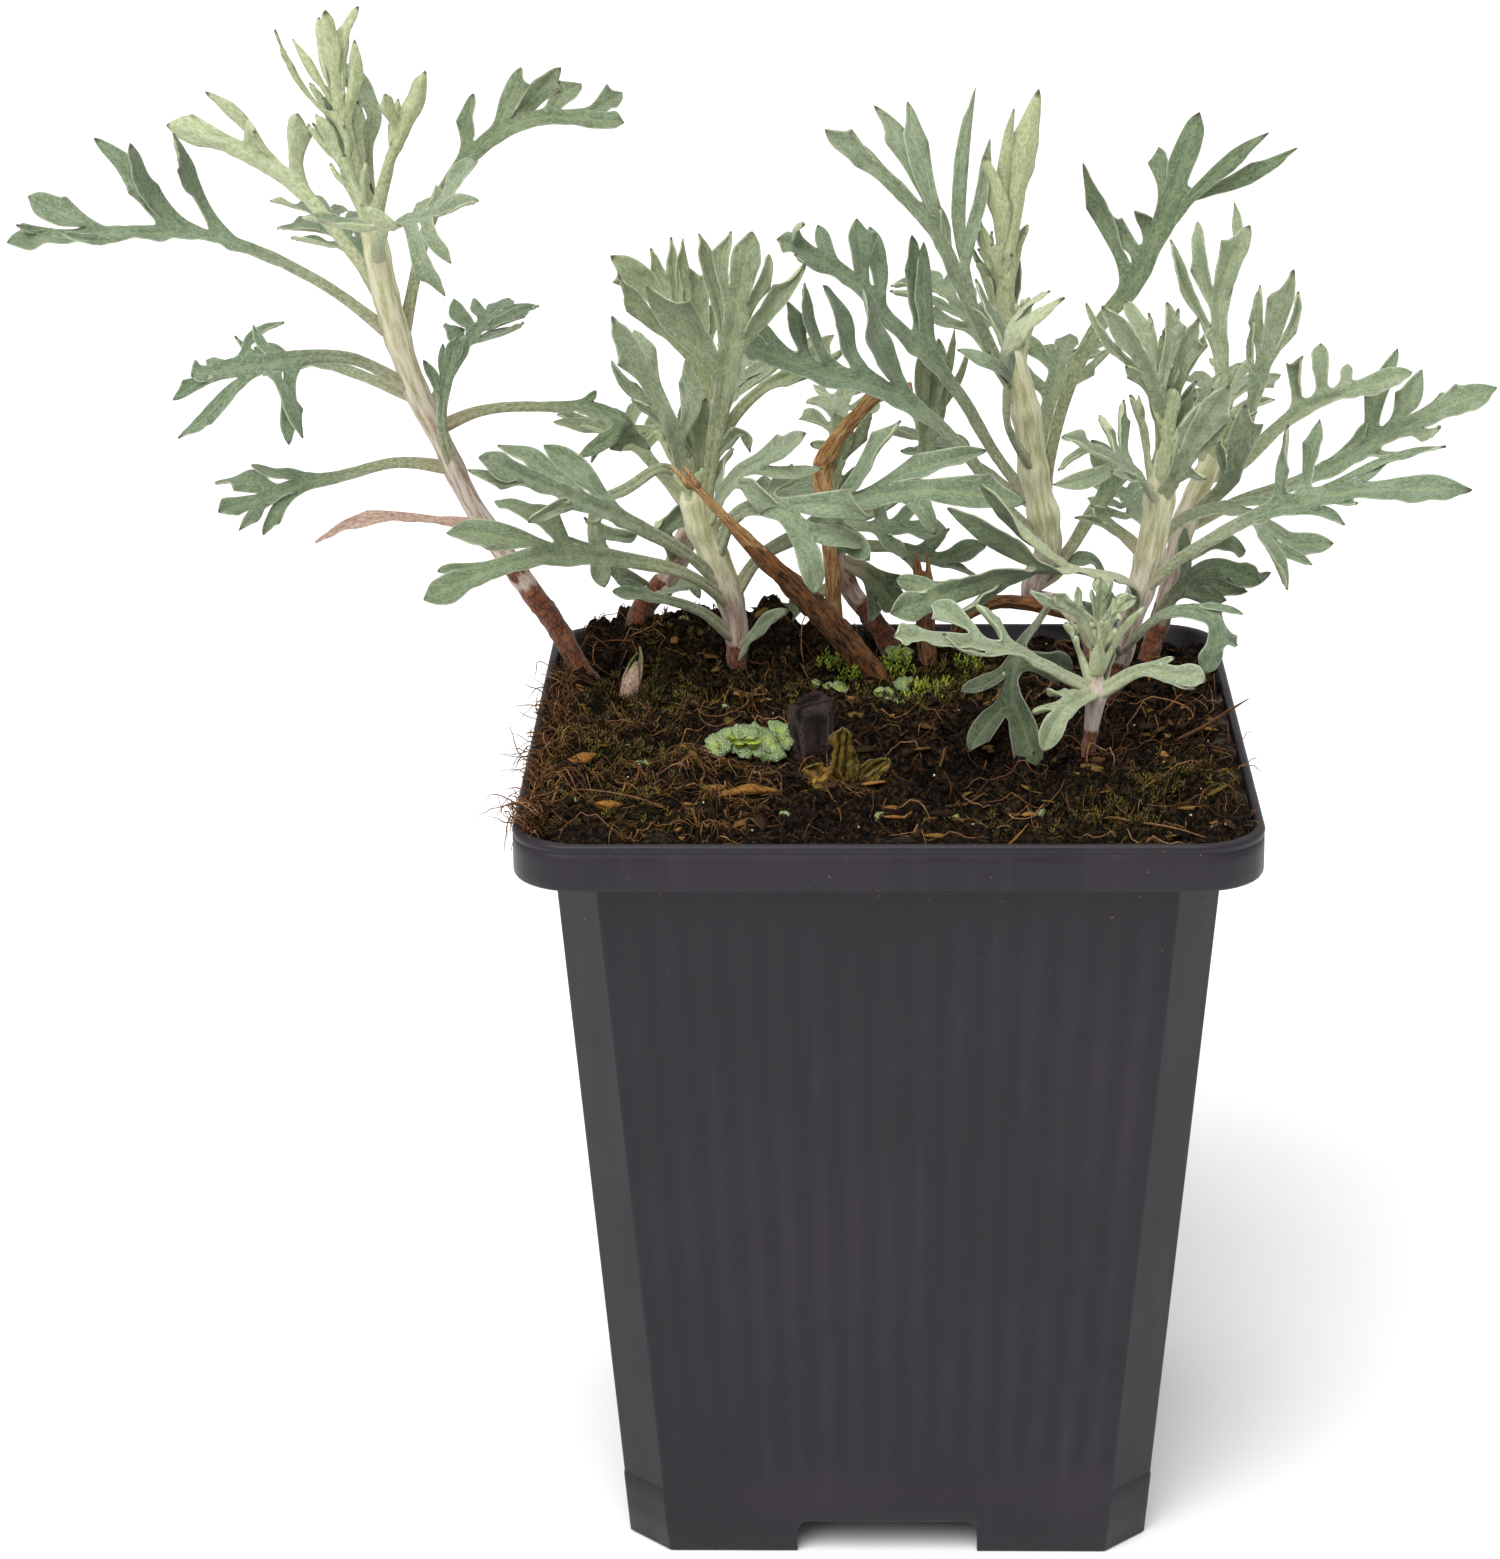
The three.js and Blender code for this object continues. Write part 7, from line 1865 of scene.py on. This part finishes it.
def add_thallus(body, rng, place, facing, reach, lobes=3, rings=7, spokes=40):
    """A notched wavy plate of liverwort that faces a direction."""
    facing = unit(facing)
    side = unit(np.cross(facing, (0.13, 1, 0.21)))
    other = np.cross(facing, side)
    angle = np.arange(spokes) / spokes * 2 * np.pi
    phase = rng.uniform(0, 6)
    outline = 0.62 + 0.38 * np.abs(np.cos(angle * lobes / 2 + phase)) ** 0.55
    outline = outline + 0.08 * np.cos(2 * angle + phase) + 0.05 * np.cos((3 * lobes + 1) * angle)
    share = np.linspace(0.05, 1, rings)[:, None]
    out = reach * share * outline
    waves = 0.12 * share ** 2 * np.sin(angle * (lobes + 1) + 2 * phase)
    height = reach * (0.16 * np.sin(share * 2.6) + waves)
    flat = (out * np.cos(angle))[..., None] * side + (out * np.sin(angle))[..., None] * other
    top = flat + height[..., None] * facing
    under = top[::-1] - 0.32 * facing
    points = np.concatenate([top, under]).reshape(-1, 3)
    faces = closed_faces(2 * rings, spokes)
    form = np.zeros((len(points), 4))
    form[:, 0] = 0.5 * (1 - smoothstep(np.linalg.norm(points, axis=1) / reach, 0.2, 0.7))
    body.add(points + place, faces, form=form)


def make_liverwort(node, reach, plates, cups, seed):
    """A low dome of overlapping lobed liverwort plates, with cups in the middle."""
    rng = random.Random(seed)
    origin = on_soil(*middle_of(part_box(node))[:2])
    body = Body()
    for i in range(plates):
        around, out = i * SPIRAL + 4.2, 0.8 * math.sqrt((i + 0.2) / plates) * rng.uniform(0.8, 1.15)
        spot = np.array([math.cos(around), 0.75 * math.sin(around), 0]) * out * reach
        spot[2] = reach * (0.5 - 0.5 * out ** 2) + 0.15 * (i % 3)
        facing = np.array([1.1 * out * math.cos(around), 1.1 * out * math.sin(around) - 0.55, 1])
        add_thallus(body, rng, origin + spot, facing, reach * rng.uniform(0.32, 0.6), 3)
    for i in range(cups):
        around, away = i * SPIRAL + 3.7, 0.42 * reach * math.sqrt((i + 0.5) / cups)
        lift = reach * 0.44 - 0.2 * away
        add_cup(body, origin + (away * math.cos(around), away * math.sin(around) - 0.1 * reach, lift),
                rng.uniform(0.6, 1.0) * min(1, reach / 4))
    if reach > 3:
        side = origin + (0.86 * reach, 0.7 * reach, 0.35 * reach)
        add_thallus(body, rng, side, (0.3, -0.6, 1), 0.4 * reach, 3)
        add_thallus(body, rng, side + (0.5, -1.2, -0.5), (0.5, -0.8, 1), 0.26 * reach, 3)
    return body.make(node + "_thallus", [LIVERWORT], "liverwort", [node])


def add_cup(body, spot, size):
    """A little cup with a frilled rim and green buds in it."""
    spokes = 18
    angle = np.arange(spokes) / spokes * 2 * np.pi
    frill = 1 + 0.12 * np.cos(6 * angle)
    profile = [(0.5, 0), (0.75, 0.5), (1.1, 1.0), (1.18, 1.08), (1.0, 1.0), (0.6, 0.55), (0.15, 0.5)]
    flat = np.stack([frill * np.cos(angle), frill * np.sin(angle), np.ones(spokes)], axis=1)
    points = np.vstack([flat * (size * wide, size * wide, size * z) for wide, z in profile])
    faces = closed_faces(len(profile), spokes)
    body.add(points + spot, faces, form=(0.7, 0, 0, 0))
    for i in range(4):
        place = size * np.array([0.35 * math.cos(i * 1.6), 0.35 * math.sin(i * 1.6), 0.7])
        body.add(BALL_POINTS * 0.3 * size + place + spot, BALL_FACES, form=(1, 0, 0, 0))


# The bark's slab: half width, height, how far its foot stands in front, and how far its face leans back
BARK_HALF = 2.1
BARK_HEIGHT = 7.0
BARK_FORWARD = 5.6
BARK_SLOPE = 7.0


def make_bark_lump():
    """A dark slab of bark that stands on its end and leans back, with a cracked face."""
    low, high = corners_of(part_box("bark_lump"))
    points, faces = ball(5)
    boxy = squared(points)
    boxy /= np.abs(boxy).max(axis=0)
    rise = (boxy[:, 2] + 1) / 2
    steps = np.round(4 * layered_noise(points * (2.2, 2.2, 1.2), 2, 31)) / 4
    front = low[1] - BARK_FORWARD + BARK_SLOPE * rise
    back = high[1] - 0.6 * rise
    shape = np.stack([
        (low[0] + high[0]) / 2 + 0.6 - 0.5 * rise + boxy[:, 0] * (BARK_HALF + 1.2 * rise),
        between(front, back, (boxy[:, 1] + 1) / 2),
        low[2] - 0.5 + (BARK_HEIGHT + 0.5) * rise + 0.9 * (boxy[:, 0] - boxy[:, 0] ** 2) * rise,
    ], axis=1)
    cracks = layered_noise(points * (4, 4, 1.5), 4, 33)
    shape += points * (0.45 * steps + 0.25 * cracks)[:, None]
    shade = np.clip(0.5 + 0.7 * cracks, 0, 1)[:, None]
    dark, light = np.array(shades((20, 16, 16), (60, 50, 47)))
    body = Body()
    body.add(shape, faces, tint=between(dark, light, shade))
    return body.make("bark_lump_cracked", [LITTER], "bark", ["bark_lump"])


# The old clump's blades: azimuth, rise, length, half width, how far they curl across and droop along
OLD_BLADES = [
    (-1.2, 1.42, 9.0, 1.7, 0.35, 0.0), (3.3, 0.6, 5.4, 1.9, 0.5, 0.2), (4.0, 0.35, 4.6, 1.6, -0.5, 0.15),
    (-0.05, 0.62, 7.4, 1.25, 0.8, 0.08), (4.9, 0.3, 4.2, 1.5, 0.4, 0.2), (-0.9, 0.2, 6.2, 0.8, 0.6, 0.06),
    (1.7, 0.8, 4.6, 1.5, 0.5, 0.2), (2.5, 0.4, 4.4, 1.2, 0.5, 0.2),
]


# Half the thickness of an old leaf and of a scale of the bud
OLD_LEAF_HALF = 0.13
SCALE_HALF = 0.12

# An old leaf's width along it
OLD_LEAF_SHARES = [0, 0.2, 0.5, 0.85, 0.95, 1]
OLD_LEAF_WIDTHS = [0.5, 0.85, 1, 0.95, 0.75, 0.4]


def make_old_leaves():
    """Old olive leaves, creased along and ragged at their edges, that stand up from one point."""
    root = on_soil(*middle_of(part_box("old_leaf_clump"))[:2], -0.4)
    rows, columns = 30, 21
    share = np.linspace(0, 1, rows)[:, None]
    across = np.linspace(-1, 1, columns)[None, :]
    faces = np.array(grid_faces(rows, columns))
    brown, ochre, olive = np.array(shades((58, 38, 16), (146, 108, 34), (104, 98, 30)))
    body = Body()
    for i, (angle, rise, size, wide, curl, droop) in enumerate(OLD_BLADES):
        out = np.array([math.cos(angle) * math.cos(rise), math.sin(angle) * math.cos(rise), math.sin(rise)])
        side = unit(np.cross(out, (0.1, -1, 0.4)))
        up = np.cross(side, out)
        profile = np.interp(share, OLD_LEAF_SHARES, OLD_LEAF_WIDTHS)
        torn = layered_noise(stacked(share * 7, np.sign(across) * 3, i * 5.0), 3, 44)
        half = wide * profile * (1 + 0.34 * torn.reshape(rows, columns))
        crease = np.cos(9.5 * across + 1.6 * np.sin(4 * share + i))
        depth = curl * wide * (across ** 2 - 0.3) + 0.2 * crease - droop * size * share ** 2
        along = size * (share - 0.06 * across ** 2 * share)
        points = root + along[..., None] * out + (half * across)[..., None] * side + depth[..., None] * up
        points = points.reshape(-1, 3)
        points = points + 0.35 * layered_noise(points * 0.7, 2, 45 + i)[:, None] * up
        thick = np.full(len(points), OLD_LEAF_HALF)
        both, all_faces = thickened(points, faces, thick, thick)
        ridge = np.clip(0.45 + 0.4 * crease + 0.35 * np.abs(across) ** 3, 0, 1).reshape(-1, 1)
        ridge = np.vstack([ridge, ridge])
        blotch = np.clip(0.5 + 0.9 * layered_noise(both * 0.8, 3, 46), 0, 1)[:, None]
        body.add(both, all_faces, tint=between(brown, between(ochre, olive, blotch), ridge))
    return body.make("old_leaf_blades", [GREENERY], "old_leaf", ["old_leaf_clump"])


def make_chip(node, seed, turn):
    """A chip of wood: a split flat splinter with a grain."""
    rng = random.Random(seed)
    low, high = corners_of(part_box(node))
    middle, size = (low + high) / 2, high - low
    length = size[0] / math.cos(turn) * 0.46
    rows, columns = 22, 14
    along = np.linspace(-1, 1, rows)[:, None]
    angle = np.arange(columns) / columns * 2 * np.pi
    wide = (1 - 0.55 * np.abs(along) ** 3) * (1 + 0.2 * np.sin(5 * along + seed))
    points = stacked(length * along, wide * squared(np.cos(angle)), 0.42 * wide * squared(np.sin(angle)))
    points[:, 1:] *= 1 + 0.22 * layered_noise(points * (0.25, 1.6, 1.6) + seed, 3, seed)[:, None]
    points[:, 2] += 0.3 * np.sin(points[:, 0] * 0.5 + seed)
    faces = closed_faces(rows, columns)
    body = Body()
    shade = np.clip(0.5 + 0.5 * layered_noise(points * (0.4, 2.6, 2.6), 3, seed), 0, 1)[:, None]
    dark, light = np.array(shades((92, 62, 30), (160, 114, 54)))
    lying = turned(points, turn, 0.05, rng.uniform(-0.2, 0.2)) + middle + (0, 0, 0.7)
    body.add(lying, faces, tint=between(dark, light, shade))
    return body.make(node + "_split", [LITTER], "dry_wood", [node])


def make_stick(stem, slot, bare_from, splinters, thin):
    """A piece of old wood: bark at the foot, bare torn wood from a height on, splinters at its end."""
    rng = random.Random(stem.seed)
    points, faces, flow, form = stem.shape(rough=0.2, step=0.4, sides=32, thin=thin, cracks=0.22)
    ragged = points[:, 2] + 1.5 * layered_noise(points * 0.5, 2, 3)
    form[:, 0] = smoothstep(ragged, bare_from - 1, bare_from + 1)
    body = Body()
    body.add(points, faces, flow=flow, form=form)
    tip, below = stem.points[-1], stem.points[-2]
    rise = unit(tip - below)
    side = unit(np.cross(rise, (0.2, 1, 0)))
    lines = []
    for _ in range(splinters):
        root = tip - rise * rng.uniform(0.5, 2) + side * rng.uniform(-0.8, 0.8) * stem.radii[-2]
        end = root + rise * rng.uniform(2, 4.6) + side * rng.uniform(-0.7, 0.7)
        lines.append([root, (root * 2 + end) / 3 + side * 0.1, (root + end * 2) / 3, end])
    if lines:
        splinter_points, splinter_faces = tubes(lines, [0.5, 0.42, 0.26, 0.06], 5)
        place = np.zeros((len(splinter_points), 4))
        place[:, :3] = splinter_points
        body.add(splinter_points, splinter_faces, flow=place, form=(1, 0, 0.3, 0))
    return body.make(stem.name + "_wood", [WOOD], slot, [stem.name] if stem.name in frame["nodes"] else [])


# The bud's scales: which way each one faces, its height and its width
BUD_SCALES = [(0.4, 7.4, 1.0), (2.6, 6.6, 1.12), (4.6, 5.4, 1.22), (1.4, 4.2, 1.3)]


def make_bud():
    """The young bud beside the left shoot: closed scales, pink at the foot and green at the tip."""
    foot = on_soil(*middle_of(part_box("bud"))[:2], -0.8)
    body = Body()
    pink, green = np.array(shades((188, 160, 142), (96, 118, 52)))
    rows, columns = 16, 12
    faces = np.array(grid_faces(rows, columns))
    share = np.linspace(0, 1, rows)[:, None]
    profile = np.interp(share, [0, 0.2, 0.5, 0.8, 1], [0.7, 1.1, 1.15, 0.72, 0.08])
    for i, (around, tall, wide) in enumerate(BUD_SCALES):
        angle = around + np.linspace(-1.25, 1.25, columns) * (1 - 0.45 * share)
        reach = profile * wide
        height = tall * share
        points = stacked(reach * np.cos(angle) + 0.22 * height, reach * np.sin(angle), height)
        thick = np.full(len(points), SCALE_HALF)
        both, all_faces = thickened(points, faces, thick, thick)
        streak = 0.12 * layered_noise(both * (3, 3, 0.4) + i, 2, 51)[:, None]
        mix = smoothstep(both[:, 2], 2.4, 6.4)[:, None] * (1.0 if i == 1 else 0.55)
        body.add(both + foot, all_faces, tint=between(pink, green, mix) * (1 + streak))
    return body.make("bud_scales", [GREENERY], "silver_leaf", ["bud"])


# Young liverworts: x, y, lift over the soil, reach
YOUNG_LIVERWORTS = [
    (-27, 36.5, 0.7, 0.9), (1.4, 35.5, 1.0, 1.5), (2.4, 29, 0.8, 1.4), (0.6, 21.5, 0.6, 1.6),
    (-6.3, 24.5, 0.5, 1.5), (-9.5, 26, 0.5, 0.9), (3.6, 20, 0.4, 0.8), (13.4, -15.2, 0.5, 0.7),
    (17.9, -14.8, 0.5, 0.7), (-12.6, -30, 0.4, 0.8), (-0.9, -28.2, 0.4, 0.8), (-38.2, -27.3, 0.4, 0.8),
    (-21, 12, 0.4, 0.7), (19, -26, 0.4, 0.7), (-6, 17, 0.4, 0.6),
]


def make_small_liverworts():
    """Young liverworts and seedlings here and there on the soil."""
    rng = random.Random(91)
    body = Body()
    for x, y, lift, reach in YOUNG_LIVERWORTS:
        place = on_soil(x, y, lift)
        add_thallus(body, rng, place, (rng.uniform(-0.3, 0.3), -0.7, 1), reach, 2, 5, 24)
        if reach > 1:
            side = rng.choice((-1, 1))
            beside = place + (side * reach, 0.3, 0.2)
            add_thallus(body, rng, beside, (0.4 * side, -0.5, 1), 0.7 * reach, 2, 5, 24)
    return body.make("young_liverworts", [LIVERWORT], "liverwort")


# Half the floor's width in metres
FLOOR_HALF = 8

# The lights: a name, where each comes from, its strength and how soft it is
LIGHTS = [("key", (-0.35, -0.72, 1.0), 3.0, 0.9), ("top", (0.25, 0.15, 1.0), 0.6, 1.2)]
LIGHT_ALL_ROUND = 0.6


def make_floor():
    """A plain pale floor."""
    mesh = bpy.data.meshes.new("floor")
    spots = [(x * FLOOR_HALF, y * FLOOR_HALF, 0) for x, y in ((-1, -1), (1, -1), (1, 1), (-1, 1))]
    mesh.from_pydata(spots, [], [(0, 1, 2, 3)])
    mesh.materials.append(Look("pale_floor", 0.9, Specular_IOR_Level=0.1).finish(colour(246, 246, 246)))
    floor = bpy.data.objects.new("floor", mesh)
    bpy.context.scene.collection.objects.link(floor)


def add_light(name, source, strength, softness):
    """A soft light that shines evenly on everything, from a direction."""
    light = bpy.data.lights.new(name, "SUN")
    light.energy, light.angle = strength, softness
    made = bpy.data.objects.new(name, light)
    made.rotation_euler = (-Vector(source)).to_track_quat("-Z", "Y").to_euler()
    bpy.context.scene.collection.objects.link(made)


def light_scene():
    """A white studio: light from all round, and a wide soft key from the upper left in front."""
    scene = bpy.context.scene
    scene.view_settings.view_transform = "Standard"
    world = bpy.data.worlds.new("studio")
    scene.world = world
    world.use_nodes = True
    background = world.node_tree.nodes["Background"]
    background.inputs["Color"].default_value = (1, 1, 1, 1)
    background.inputs["Strength"].default_value = LIGHT_ALL_ROUND
    for light in LIGHTS:
        add_light(*light)


# The photograph's camera, in millimetres in the pot's frame and in radians
CAMERA_YAW, CAMERA_PITCH, CAMERA_ROLL = -0.0269, -0.3303, -0.0099
CAMERA_FOCAL_PIXELS = 4461.7
PHOTO_LONG_SIDE = 1559
SENSOR = 36.0


def place_camera():
    """The camera stands where the photograph's did, with the same angle and the same lens."""
    yaw, pitch = CAMERA_YAW, CAMERA_PITCH
    ahead = np.array([math.sin(yaw) * math.cos(pitch), math.cos(yaw) * math.cos(pitch), math.sin(pitch)])
    right = np.array([math.cos(yaw), -math.sin(yaw), 0.0])
    up = np.cross(right, ahead)
    cos, sin = math.cos(CAMERA_ROLL), math.sin(CAMERA_ROLL)
    right, up = right * cos + up * sin, up * cos - right * sin
    camera = bpy.data.cameras.new("camera")
    camera.sensor_width = SENSOR
    camera.lens = SENSOR * CAMERA_FOCAL_PIXELS / PHOTO_LONG_SIDE
    made = bpy.data.objects.new("camera", camera)
    turn = Matrix([[right[i], up[i], -ahead[i]] for i in range(3)]).to_4x4()
    made.matrix_world = Matrix.Translation(Vector(EYE * MM + POT_MIDDLE)) @ turn
    bpy.context.scene.collection.objects.link(made)
    bpy.context.scene.camera = made


# Liverworts: node, reach, plates, cups and seed
LIVERWORTS = [
    ("liverwort_large", 5.6, 8, 8, 71), ("liverwort_left", 1.7, 2, 0, 72),
    ("liverwort_back", 1.9, 2, 1, 73), ("liverwort_front", 1.7, 2, 1, 74),
]

place_camera()
light_scene()
make_floor()
make_pot()
make_soil()
make_fibres()
make_edge_roots()
make_crumbs()
make_moss()
make_moss_tuft()
make_small_liverworts()
for liverwort in LIVERWORTS:
    make_liverwort(*liverwort)
make_bark_lump()
make_old_leaves()
make_chip("wood_chip_1", 81, turn=0.7)
make_chip("wood_chip_2", 82, turn=-0.3)
make_chip("wood_chip_3", 83, turn=0.25)
make_stick(Stem("leaning_stick", LEANING_STICK), "old_wood", bare_from=118, splinters=3, thin=0.9)
make_stick(Stem("dry_stem", DRY_STEM), "dry_wood", bare_from=90, splinters=0, thin=0.8)
make_stick(Stem("split_stub", SPLIT_STUB), "old_wood", bare_from=108, splinters=7, thin=0.8)
make_stick(Stem("dead_runner", RUNNER), "old_wood", bare_from=200, splinters=0, thin=0.9)
make_bud()
for grow in (shoot_left, shoot_front_left, shoot_back_left, shoot_centre_back,
             shoot_centre, shoot_right, shoot_front_right, shoot_back_right):
    grow().make()

bpy.context.view_layer.update()
